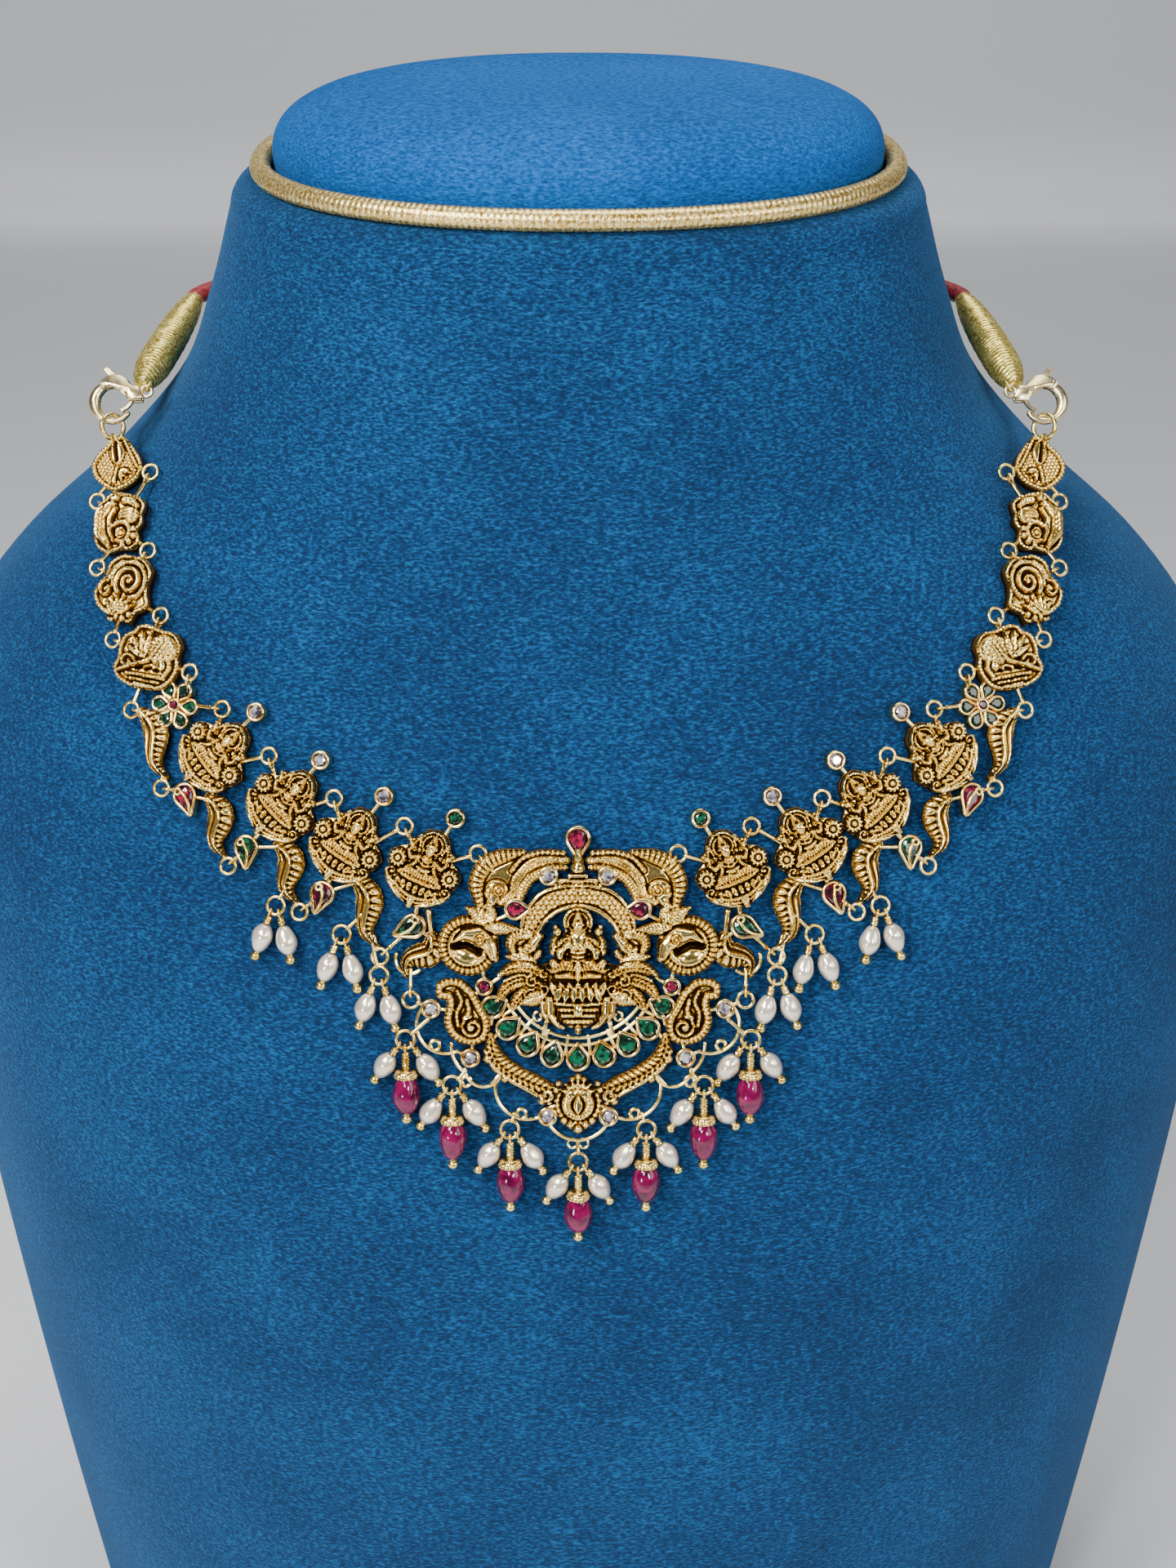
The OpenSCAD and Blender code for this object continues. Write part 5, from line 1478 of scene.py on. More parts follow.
@dataclass
class Studio:
    """The pale floor, the soft lights and the camera at the photograph's angle."""

    eye: tuple[float, float, float] = (1.5, -447.39, 380.0)
    look_down: float = 26.386
    lens: float = 65.306
    floor: float = 1600

    def build(self) -> None:
        """Makes the floor, the lights and the camera."""
        half = self.floor
        sweep = [(-half, 0.0), (600, 0.0), (900, 60.0), (1100, 260.0), (1180, 600.0), (1200, 1500.0)]
        line = curve([vec(0, y, z) for y, z in sweep], 8)
        rows = np.array([[p + vec(x, 0, 0) for x in (-half, half)] for p in line])
        ids = np.arange(len(line) * 2).reshape(-1, 2)
        quads = np.stack([ids[:-1, 0], ids[:-1, 1], ids[1:, 1], ids[1:, 0]], -1)
        mesh = bpy.data.meshes.new("studio_floor")
        mesh.from_pydata([tuple(p * MM) for p in rows.reshape(-1, 3)], [], quads.tolist())
        mesh.polygons.foreach_set("use_smooth", np.ones(len(mesh.polygons), bool))
        mesh.materials.append(StudioPaper("matt_studio_paper", "").material())
        floor = bpy.data.objects.new("studio_floor", mesh)
        bpy.context.scene.collection.objects.link(floor)
        self.add_light("key_softbox", (-420, -520, 820), (0, -60, 170), 300, 10.5)
        self.add_light("fill_softbox", (620, -420, 480), (0, -50, 170), 420, 2.2)
        self.add_light("top_softbox", (60, 120, 900), (0, -30, 200), 420, 3.5)
        self.add_light("left_strip", (-170, -640, 560), (0, -80, 140), 90, 2.2)
        self.add_light("right_strip", (300, -560, 420), (0, -80, 140), 90, 1.7)
        self.add_light("low_strip", (-330, -560, 180), (0, -80, 140), 80, 1.0)
        world = bpy.data.worlds.new("studio_air")
        world.use_nodes = True
        world.node_tree.nodes["Background"].inputs[0].default_value = linear("DDE2EA")
        world.node_tree.nodes["Background"].inputs[1].default_value = 0.16
        bpy.context.scene.world = world
        lens = bpy.data.cameras.new("camera")
        lens.lens = self.lens
        lens.sensor_width = 36
        camera = bpy.data.objects.new("camera", lens)
        camera.location = Vector(self.eye) * MM
        camera.rotation_euler = Euler((math.radians(90 - self.look_down), 0, 0))
        bpy.context.scene.collection.objects.link(camera)
        bpy.context.scene.camera = camera

    def add_light(self, name: str, at: Point, target: Point, size: float, watts: float) -> None:
        """A square soft light that faces a target.

        Args:
            name: The light's name.
            at: Its place in millimetres.
            target: What it faces.
            size: Length of its side.
            watts: Its power.
        """
        light = bpy.data.lights.new(name, "AREA")
        light.energy = watts
        light.size = size * MM
        lamp = bpy.data.objects.new(name, light)
        lamp.location = Vector(at) * MM
        lamp.rotation_euler = (Vector(target) - Vector(at)).to_track_quat("-Z", "Y").to_euler()
        bpy.context.scene.collection.objects.link(lamp)


# Where the units sit, what links them and which stones they carry

BUST = NeckBust()
LINK_LIFT = 1.3
ANCHOR_LIFT = 1.0
SEAT_GAP = 0.4
# Degrees round the bust, height as a share of the bust's, turn towards the
# viewer, roll, and half width
ROUTE = {
    "leaf": (-70, 0.835, 0.75, 1, 4),
    "peacock": (-59, 0.813, 0.6, 18, 4),
    "paisley": (-49.5, 0.787, 0.4, 27, 4.6),
    "bird": (-40.5, 0.759, 0.25, 38, 6),
    "flower": (-35.3, 0.739, 0.15, 42, 5),
    "plaque_1": (-29.5, 0.7175, 0.1, 37, 6),
    "plaque_2": (-22.2, 0.6965, 0.05, 29, 6),
    "plaque_3": (-16.4, 0.6785, 0, 24, 6),
    "plaque_4": (-10.3, 0.6685, 0, 12, 6),
    "pendant": (0, 0.62, 0, 0, 6),
}
# The ring's unit, the ring's place and where its bar ends, then the same for
# the loop that hangs in it
LINKS = [
    ("leaf", (5.5, -1), (2.6, -0.4), "peacock", (5.5, 7.4), (1.2, 2.2)),
    ("leaf", (-2.6, -6.3), (-1.2, -3), "peacock", (-3.7, 4.4), (-1.4, 2.6)),
    ("peacock", (4.6, -5.6), (2, -2.4), "paisley", (4.5, 5.3), (2.4, 2.8)),
    ("peacock", (-3.8, -6.8), (-0.8, -2.6), "paisley", (-4.4, 5.5), (-1.6, 3)),
    ("paisley", (5, -6.1), (2.4, -3.4), "bird", (4.4, 5.1), (2.4, 3)),
    ("paisley", (-3.5, -7.2), (-1.6, -4), "bird", (-4.2, 5.8), (-2, 3)),
    ("bird", (-6.2, -5.6), (-3.2, -2.8), "flower", (-6.4, 3.4), (-4.2, 1.4)),
    ("bird", (4.6, -5.6), (2.8, -3), "flower", (5, 3.2), (3.2, 1)),
    ("plaque_1", (4.5, 5.5), (2.4, 3), "flower", (6.2, -4.9), (2.6, -1.8)),
    ("flower", (-8.5, -9.6), (-7, -7.4), "plaque_1", (-10, 0), (-7.6, -1.9)),
    ("plaque_1", (7.4, -4.4), (3.4, -3), "plaque_2", (1.1, 7.7), (0.6, 3.6)),
    ("plaque_1", (-6.4, -15.6), (-6.2, -13.2), "plaque_2", (-11.7, -5), (-8.8, -4)),
    ("plaque_2", (7.6, -2.3), (3.6, -1.8), "plaque_3", (0.8, 7.5), (0.4, 3.6)),
    ("plaque_2", (-4.2, -15.8), (-4.1, -13.2), "plaque_3", (-10.3, -6.8), (-7.4, -5.9)),
    ("plaque_3", (9.2, -0.3), (4, -1), "plaque_4", (-1.5, 7.2), (-0.6, 3.2)),
    ("plaque_3", (-1, -17.3), (-0.9, -14.2), "plaque_4", (-8.8, -11.7), (-5.2, -9.4)),
    ("plaque_4", (8.7, 1.2), (4, 0.6), "pendant", (-15.1, 16.9), (-12.6, 14.2)),
    ("pendant", (-24.4, -7.6), (-21.6, -6.6), "plaque_4", (-5.6, -16.4), (-4.6, -14.4)),
]
# A pair of pearls hangs from each: its unit, the ring's place, the bar's end
PAIR_HANGERS = [
    ("plaque_2", (-7.2, -13.4), (-4.6, -11.4)),
    ("plaque_3", (-5.4, -12.2), (-1.3, -10.4)),
    ("plaque_3", (-2.1, -19.9), (-1.2, -13.6)),
]
# Rings under the pendant from its left to its middle, and their bars' ends
CLUSTER_HANGERS = [
    ((-26, -11.2), (-22.6, -8.2)),
    ((-19, -18.2), (-17, -16.1)),
    ((-10.3, -25), (-9.7, -22.7)),
    ((0, -30), (0, -26.9)),
]


def level(x: float = 0, y: float = 0, z: float = 0) -> Place:
    """An unturned frame at a point."""
    return Place(vec(x, y, z), *np.eye(3))


def facing(at: Array, out: Array, roll: float = 0) -> Place:
    """A frame that faces a way, upright before its roll in degrees."""
    up = unit(vec(0, 0, 1) - out[2] * out)
    return Place(at, np.cross(up, out), up, out).turned(roll)


def unit_place(name: str) -> Place:
    """The frame of a unit on the left side, off the velvet by its seat gap.

    Args:
        name: The unit.

    Returns:
        Its frame.
    """
    degrees, share, turn, roll, half = ROUTE[name]
    z = share * BUST.height
    n = BUST.normal(degrees, z)
    out = unit(mix(n, VIEW_DIR, turn))
    lift = SEAT_GAP + half * np.linalg.norm(np.cross(n, out))
    return facing(BUST.skin(degrees, z) + n * lift, out, roll)


PLACES = {name: unit_place(name) for name in ROUTE}


def both(name: str, shell: Shell, finish: Finish, node: str = "", body: str = "root",
         sharp: float = 42) -> None:
    """Makes a left piece and its mirrored twin on the right.

    Args:
        name: Name of the pieces before their side.
        shell: The left one, in the necklace's frame.
        finish: What they are made of.
        node: The model's node that they stand for, before its side.
        body: The body that carries them, before its side unless it is root.
        sharp: Angle above which an edge is crisp.
    """
    for side, made in (("left", shell), ("right", shell.mirrored())):
        replaced = [node.format(side)] if node else []
        carrier = body if body == "root" else f"{body}_{side}"
        made.piece(f"{name}_{side}", finish, replaced, carrier, sharp)


@dataclass
class Wirework:
    """Rings, loops and bars of hard gold wire between the units."""

    ring_r: float = 1.2
    ring_wire: float = 0.54
    loop_r: float = 0.8
    loop_wire: float = 0.44
    bar_d: float = 0.7
    drop_ring_r: float = 1.35

    def bar(self, start: Array, end: Array, thick: float = 0.7) -> Shell:
        """A soldered bar between two points, a little thicker at its ends.

        Args:
            start: One end.
            end: The other end.
            thick: Its thickness.

        Returns:
            The bar.
        """
        half = thick / 2
        return tube([mix(start, end, t) for t in np.linspace(0, 1, 6)],
                    [half * 1.1, half * 0.9, half * 0.85, half * 0.9, half * 1.15], 10)

    def ring_at(self, at: Array, out: Array, anchor: Array, radius: float = 0) -> list[Shell]:
        """A ring that faces out and its bar to an anchor.

        Args:
            at: The ring's middle.
            out: The way it faces.
            anchor: The bar's far end.
            radius: The ring's radius; 0 is the usual one.

        Returns:
            The ring and the bar.
        """
        radius = radius or self.ring_r
        reach = unit(anchor - at)
        along = unit(reach - (reach @ out) * out)
        place = Place(at, along, np.cross(out, along), out)
        return [ring(place, radius, self.ring_wire, 40, 12),
                self.bar(at + along * radius, anchor, self.bar_d)]

    def loop_at(self, at: Array, out: Array, anchor: Array) -> list[Shell]:
        """A loop that hangs in a ring at a point, and its bar to an anchor.

        Args:
            at: The ring's middle.
            out: The way the ring faces.
            anchor: The bar's far end.

        Returns:
            The loop and the bar.
        """
        reach = unit(anchor - at)
        along = unit(reach - (reach @ out) * out)
        place = Place(at + along * self.ring_r, along, out, np.cross(along, out))
        start = at + along * (self.ring_r + self.loop_r)
        return [ring(place, self.loop_r, self.loop_wire, 32, 10), self.bar(start, anchor, self.bar_d)]

    def of_unit(self, name: str) -> list[Shell]:
        """Every ring and loop that belongs to a unit on the left side.

        Args:
            name: The unit.

        Returns:
            The shells, in the necklace's frame.
        """
        shells = []
        for first, ring_place, ring_anchor, second, loop_place, loop_anchor in LINKS:
            a, b = PLACES[first], PLACES[second]
            at = (a.point(ring_place, LINK_LIFT) + b.point(loop_place, LINK_LIFT)) / 2
            out = unit(a.out + b.out)
            if name == first:
                shells += self.ring_at(at, out, a.point(ring_anchor, ANCHOR_LIFT))
            if name == second:
                shells += self.loop_at(at, out, b.point(loop_anchor, ANCHOR_LIFT))
        for owner, place, anchor in PAIR_HANGERS:
            if name == owner:
                shells += self.hanger(owner, place, anchor)
        return shells

    def hanger(self, name: str, place: Point, anchor: Point) -> list[Shell]:
        """A drop's ring under a unit.

        Args:
            name: The unit.
            place: The ring's place in its frame.
            anchor: Where the bar ends in it.

        Returns:
            The ring and the bar.
        """
        frame_of = PLACES[name]
        return self.ring_at(frame_of.point(place, LINK_LIFT), frame_of.out,
                            frame_of.point(anchor, ANCHOR_LIFT), self.drop_ring_r)


WIRES = Wirework()


class Gem(Enum):
    """The glass and zirconia stones."""

    RUBY = "ruby"
    EMERALD = "emerald"
    CLEAR = "diamond"


def round_outline(across: float, count: int = 16) -> Array:
    """A round stone's outline, counter-clockwise."""
    return np.array([on_circle(360 * k / count, across / 2) for k in range(count)])


def tear_outline(length: float, width: float, count: int = 16) -> Array:
    """A teardrop stone's outline from its point, its round end about 0.

    Args:
        length: From the point to the round end.
        width: Its greatest width.
        count: Corners of the outline.

    Returns:
        The corners, counter-clockwise.
    """
    r, tip = width / 2, length - width / 2
    a0 = math.degrees(math.asin(r / tip))
    round_end = [on_circle(180 - a0 + (180 + 2 * a0) * t, r) for t in np.linspace(0, 1, 40)]
    line = np.vstack([[0, tip], round_end, [0, tip]])
    run = lengths(line)
    steps = np.linspace(0, run[-1], count, endpoint=False)
    return np.stack([np.interp(steps, run, line[:, 0]), np.interp(steps, run, line[:, 1])], -1)


@dataclass
class Setting:
    """A cut stone and the burnished cup that holds it."""

    gem: Gem
    at: Point
    outline: Array
    z: float = 0.2
    turn: float = 0
    wall: float = 0.42
    gap: float = 0.06
    height: float = 1.5
    pocket: float = 0.75
    girdle: float = 0.42
    crown: float = 0.4

    def place(self) -> Place:
        """The setting's own frame inside its unit's."""
        return level(*self.at[:2], self.z).turned(self.turn)

    def bezel(self) -> Shell:
        """The cup, its rim rubbed over the stone and its foot open to the plate.

        Returns:
            Its mesh in the unit's frame.
        """
        fine = curve(self.outline, 3, closed=True)
        h, wall, gap = self.height, self.wall, self.gap
        profile = [(wall, 0), (wall, h - 0.3), (wall * 0.9, h - 0.08), (wall * 0.55, h + 0.06),
                   (wall * 0.2, h + 0.08), (-0.04, h + 0.02), (0, h - 0.2), (0, h - self.pocket)]
        return loft(np.array([at_height(grown(fine, gap + by), z) for by, z in profile])).placed(self.place())

    def stone(self) -> Shell:
        """The stone: table, star, kite and girdle facets, and a flat back.

        Returns:
            Its mesh in the unit's frame.
        """
        base = self.height - self.pocket + self.gap
        top = base + self.girdle + self.crown
        middle = self.outline.mean(0)
        half_step = (self.outline + np.roll(self.outline, -1, 0)) / 2

        def shrunk(points: Array, share: float, z: float) -> Array:
            """Points drawn in towards the stone's middle, at a height."""
            return at_height(middle + (points - middle) * share, z)

        table = shrunk(self.outline[::2], 0.6, top)
        star = shrunk(self.outline[1::2], 0.82, top - 0.15)
        girdle = shrunk(self.outline, 1, base + self.girdle * 0.8)
        foot = shrunk(half_step, 0.93, base)
        faces = []
        for k in range(8):
            t0, t1 = k, (k + 1) % 8
            s0, s1 = 8 + k, 8 + (k - 1) % 8
            g = [16 + (2 * k + j) % 16 for j in range(3)]
            faces += [(t0, s0, t1), (s1, g[0], t0), (t0, g[0], s0), (s0, g[0], g[1]), (s0, g[1], g[2])]
        ids = np.arange(16)
        belt = np.stack([32 + np.roll(ids, 1), 32 + ids, 16 + ids], -1)
        lower = np.stack([16 + ids, 32 + ids, 16 + np.roll(ids, -1)], -1)
        points = np.vstack([table, star, girdle, foot])
        caps = [np.arange(8)[None, :], np.arange(47, 31, -1)[None, :]]
        return Shell(points, [np.array(faces), belt, lower, *caps]).placed(self.place())


def settings_of(name: str) -> list[Setting]:
    """The settings of a unit on the left side, in its own frame.

    Args:
        name: The unit.

    Returns:
        Its settings.
    """
    if name == "flower":
        hub = Setting(Gem.RUBY, (0, 0), round_outline(1.3), 0.35)
        petals = [Setting(Gem.EMERALD, on_circle(a, 2.65), tear_outline(2.3, 1.7), 0, a + 90)
                  for a in range(20, 321, 60)]
        return [hub, *petals]
    if name.startswith("plaque"):
        k = int(name[-1])
        trim = PLAQUE_TRIM[k]
        return [
            Setting(Gem.EMERALD if k == 4 else Gem.CLEAR, trim.stone, round_outline(2.1)),
            Setting(Gem.RUBY if k % 2 else Gem.EMERALD, trim.tear, tear_outline(4.6, 3), 0.2, trim.tear_turn),
        ]
    return []


def pendant_settings() -> list[Setting]:
    """The pendant's settings, both sides of it.

    Returns:
        The settings in the pendant's frame.
    """
    made = [Setting(Gem.RUBY, (0, 19.3), tear_outline(4.3, 3), 0.3, 180)]
    made += [Setting(Gem.EMERALD, on_circle(-90 + 16 * i, 14.3), tear_outline(3.6, 2.8), 0.1, 16 * i)
             for i in range(-4, 5)]
    for s in (1, -1):
        made.append(Setting(Gem.RUBY, (s * -9.4, 8.7), tear_outline(3.2, 2.4), 0.9, s * -90))
        made.append(Setting(Gem.RUBY, (s * -14.1, -3.1), round_outline(1.9), 0.3))
        for x, y, z in ((-4.4, 13.7, 0.4), (-22.1, -6.5, 0.2), (-16.2, -14, 0.2), (-4.6, -23, 0.2)):
            made.append(Setting(Gem.CLEAR, (s * x, y), round_outline(2.1), z))
    return made


@dataclass
class PlaqueTrim:
    """What is soldered round one goddess plaque, in its own frame.

    Attributes:
        stone: Place of the round stone.
        tear: Place of the teardrop stone.
        tear_turn: Turn of the teardrop stone.
        leaf_from: Upper end of the leaf scroll.
        leaf_to: Lower end of the leaf scroll.
        figure_turn: Turn of the goddess, who stands nearly upright on the bust.
    """

    stone: Point
    tear: Point
    tear_turn: float
    leaf_from: Point
    leaf_to: Point
    figure_turn: float


PLAQUE_TRIM = {
    1: PlaqueTrim((9, 2.4), (-7.2, -2.8), 168, (-3.9, -5.6), (-6.2, -13.8), -82),
    2: PlaqueTrim((8.1, 3.9), (-7.9, -3.5), 155, (-2.9, -5.6), (-4.1, -13.9), -69),
    3: PlaqueTrim((8, 5.1), (-6, -5.4), 138, (-0.2, -5.6), (-1, -15.4), -53),
    4: PlaqueTrim((6.1, 6.9), (-3, -8), 105, (-0.6, -10.4), (-5.2, -14.8), -33),
}


@dataclass
class Stones:
    """Every cut stone of the necklace, one piece for each kind and part."""

    def build(self) -> None:
        """Makes the stones of the pendant and of the two sides."""
        finish = {Gem.RUBY: FINISH.ruby, Gem.EMERALD: FINISH.emerald, Gem.CLEAR: FINISH.clear}
        for gem in Gem:
            shells = [s.stone().placed(PLACES["pendant"]) for s in pendant_settings() if s.gem is gem]
            joined(shells).piece(f"pendant_{gem.value}_stones", finish[gem], [f"pendant_{PLURAL[gem]}"],
                                 sharp=0)
            left = [s.stone().placed(PLACES[name]) for name in ROUTE
                    for s in settings_of(name) if s.gem is gem]
            side = joined(left)
            joined([side, side.mirrored()]).piece(f"side_{gem.value}_stones", finish[gem],
                                                  [f"side_{PLURAL[gem]}"], sharp=0)


PLURAL = {Gem.RUBY: "rubies", Gem.EMERALD: "emeralds", Gem.CLEAR: "diamonds"}


@dataclass
class Drops:
    """Beads and pearls on wrapped head pins under the pendant and the plaques."""

    pearl_w: float = 3.3
    pearl_l: float = 4.6
    ruby_w: float = 4.3
    ruby_l: float = 6.7
    pin_d: float = 0.44
    bore_d: float = 0.68
    ball_d: float = 1.6
    pin_loop_r: float = 0.62
    drop_gap: float = 0.4
    pearl_start: float = 2
    ruby_start: float = 3.9
    pair_start: float = 1.9

    def line(self, name: str, at: Point, hang: float, turn: float, half: float, length: float) -> Place:
        """The frame of a drop, its Z down the pin.

        Args:
            name: The unit that it hangs from.
            at: Its ring's place in that unit's frame.
            hang: Degrees round the ring from its lowest point.
            turn: Degrees the drop leans to the side.
            half: Half its bead's width.
            length: Distance to the bead's middle.

        Returns:
            The drop's frame, laid back until the bead rests just off the velvet.
        """
        unit_frame = PLACES[name]
        out = unit_frame.out
        down = unit(vec(0, 0, -1) + out[2] * out)
        side = np.cross(out, down)
        (ct, st), (ch, sh) = on_circle(turn, 1), on_circle(hang, 1)
        start = unit_frame.point(at, LINK_LIFT) + (down * ch + side * sh) * WIRES.drop_ring_r
        far = start + (down * ct + side * st) * length
        sink = min(0, (BUST.skin_behind(far) - far) @ out + half + self.drop_gap)
        axis = unit(far + out * sink - start)
        across = unit(np.cross(out, axis))
        return Place(start, across, np.cross(axis, across), axis)

    def pin(self, place: Place, start: float, length: float) -> Shell:
        """A head pin: its loop, the wire wrapped under it, the shaft and the ball.

        Args:
            place: The drop's frame.
            start: Where the bead starts on the pin.
            length: The bead's length.

        Returns:
            The pin.
        """
        r, wire = self.pin_loop_r, self.pin_d / 2
        loop = [vec(0, *on_circle(a, r)) for a in np.arange(0, 360, 15)]
        neck = np.linspace(0, 1, 12 * max(2, round((start - r) / 0.5)) + 1)
        coils = [vec(*on_circle(360 * t * (start - r) / 0.5, 0.36), mix(r + 0.1, start - 0.15, t))
                 for t in neck]
        shaft = [vec(0, 0, z) for z in (r, start + length / 2, start + length + 0.3)]
        end = start + length + self.ball_d / 2
        collar = lathe([(0.3, end - 0.86), (0.55, end - 0.8), (0.55, end - 0.62), (0.3, end - 0.5)], 14)
        shells = [tube(loop, wire, 10, closed=True), tube(coils, 0.25, 6), tube(shaft, wire, 8),
                  collar, ball((0, 0, end), self.ball_d / 2, 20, 0.94)]
        return joined(shells).placed(place)

    def bead(self, start: float, length: float, width: float, power: float, seed: int) -> Shell:
        """A drilled bead, each a little uneven in its own way.

        Args:
            start: Distance from the loop to its top.
            length: Its length on the pin.
            width: Its greatest width.
            power: How full its ends are; less is fuller.
            seed: Number that sets its unevenness.

        Returns:
            The bead in the drop's frame.
        """
        t = np.linspace(0, 1, 25)
        low, high = start + 0.12, start + length - 0.08
        swell = np.sin(np.pi * t) ** power
        bore = self.bore_d / 2
        lean = 0.06 * math.sin(seed * 2.4)
        outer = [(mix(bore + 0.25, width / 2, s) * (1 + lean * math.sin(math.pi * 2 * x)), mix(low, high, x))
                 for x, s in zip(t, swell)]
        inner = [(bore, high - 0.02), (bore, low + 0.02)]

        def uneven(angle: Array, height: Array) -> Array:
            """A slight oval and a flat, which nature or the drum left."""
            oval = 0.022 * (1 + np.cos(2 * angle + seed))
            return 1 - oval - 0.012 * (1 + np.sin(3 * angle + seed * 1.7 + height))

        return lathe([*outer, *inner], 32, True, uneven)

    def cap(self) -> Shell:
        """A bead cap: a scalloped and fluted cup over the bead's top.

        Returns:
            Its mesh, with the bead's end at 0.
        """
        z = self.ruby_start - 0.6
        profile = [(0.62, z + 0.14), (0.8, z), (1.2, z + 0.1), (1.56, z + 0.36), (1.68, z + 0.62),
                   (1.64, z + 0.74),
                   (1.78, z + 0.9), (1.86, z + 1.16), (1.8, z + 1.3), (1.66, z + 1.3), (1.5, z + 0.9),
                   (1.1, z + 0.52), (0.62, z + 0.5)]

        def flutes(angle: Array, height: Array) -> Array:
            """Sixteen flutes, deepest at the rim."""
            deep = np.clip((height - z) / 1.2, 0, 1)
            return 1 - 0.12 * deep * (1 - np.abs(np.cos(8 * angle)))

        return lathe(profile, 64, True, flutes)

    def hung(self, name: str, at: Point, parts: Sequence[tuple[float, float, float, float, float, bool]],
             seed: int) -> tuple[list[Shell], list[Shell], list[Shell], list[Shell]]:
        """Drops on one ring.

        Args:
            name: The unit that they hang from.
            at: The ring's place in its frame.
            parts: Rows of hang, turn, start, length, width and whether it is a ruby.
            seed: Number that sets the first bead's unevenness.

        Returns:
            Pins, pearls, ruby beads and caps in the necklace's frame.
        """
        pins, pearls, rubies, caps = [], [], [], []
        for k, (hang, turn, start, length, width, ruby) in enumerate(parts):
            place = self.line(name, at, hang, turn, width / 2, 8 if ruby else 5)
            pins.append(self.pin(place, start, length))
            bead = self.bead(start, length, width, 0.62 if ruby else 0.7, seed + k)
            (rubies if ruby else pearls).append(bead.placed(place))
            if ruby:
                caps.append(self.cap().placed(place))
        return pins, pearls, rubies, caps

    def build(self) -> None:
        """Makes every drop, mirrored to the right where it has a twin."""
        pearl = (self.pearl_l, self.pearl_w)
        cluster = [(0, 0, self.ruby_start, self.ruby_l, self.ruby_w, True)]
        cluster += [(s * 50, s * 33, self.pearl_start, *pearl, False) for s in (-1, 1)]
        pair = [(s * 32, s * 17, self.pair_start, *pearl, False) for s in (-1, 1)]
        pins: list[Shell] = []
        caps: list[Shell] = []
        for k, (at, _) in enumerate(CLUSTER_HANGERS, 1):
            made_pins, pearls, rubies, made_caps = self.hung("pendant", at, cluster, 7 * k)
            for number in {k, 8 - k}:
                turned = (lambda s: s) if number == k else Shell.mirrored
                turned(joined(rubies)).piece(f"ruby_drop_{number}", FINISH.bead, [f"ruby_bead_{number}"])
                turned(joined(pearls)).piece(f"pearls_{number}", FINISH.pearl, [f"cluster_pearls_{number}"])
                caps += [turned(c) for c in made_caps]
            if k == 4:
                joined(made_pins).piece("wrapped_pins_centre", FINISH.wire, ["head_pins_centre"])
            else:
                pins += made_pins
        pearls = []
        for k, (name, at, _) in enumerate(PAIR_HANGERS):
            made_pins, made_pearls, _, _ = self.hung(name, at, pair, 40 + 3 * k)
            pins += made_pins
            pearls += made_pearls
        both("wrapped_pins", joined(pins), FINISH.wire, "head_pins_{}")
        both("paired_pearls", joined(pearls), FINISH.pearl, "pearl_pairs_{}")
        joined(caps).piece("scalloped_bead_caps", FINISH.casting, ["bead_caps"])


def slab(outline: Array, low: float, high: float, bevel: float = 0.12,
         hole: tuple[Point, float] | None = None) -> Shell:
    """A flat plate with bevelled edges and, where asked, a round hole.

    Args:
        outline: Its outline, counter-clockwise.
        low: Height of its underside.
        high: Height of its upper side.
        bevel: Width of the bevel.
        hole: Centre and radius of the hole.

    Returns:
        The closed plate.
    """
    n = len(outline)
    inner = grown(outline, -bevel)
    rows = ((inner, low), (outline, low + bevel), (outline, high - bevel), (inner, high))
    points = [at_height(p, z) for p, z in rows]
    ids = np.arange(4 * n).reshape(4, n)
    quads = np.stack([ids[:-1], np.roll(ids[:-1], -1, 1), np.roll(ids[1:], -1, 1), ids[1:]], -1)
    quads = quads.reshape(-1, 4)
    if not hole:
        return Shell(np.vstack(points), [quads, ids[-1:], ids[:1, ::-1]])
    m = 24
    circle = vec(*hole[0]) + round_outline(2 * hole[1], m)
    points += [at_height(circle, z) for z in (low, high)]
    a = 4 * n + np.arange(m)
    wall = np.stack([a, a + m, np.roll(a + m, -1), np.roll(a, -1)], -1)
    rim = [(k, (k + 1) % n) for k in range(n)] + [(n + k, n + (k + 1) % m) for k in range(m)]
    flat = np.vstack([inner, circle])
    tri = triangulated(flat, rim)
    middle = flat[tri].mean(1)
    tri = tri[np.linalg.norm(middle - vec(*hole[0]), axis=1) > hole[1]]
    below = np.where(tri < n, tri, tri + 3 * n)
    above = np.where(tri < n, tri + 3 * n, tri + 3 * n + m)
    return Shell(np.vstack(points), [quads, wall, above, below[:, ::-1]])


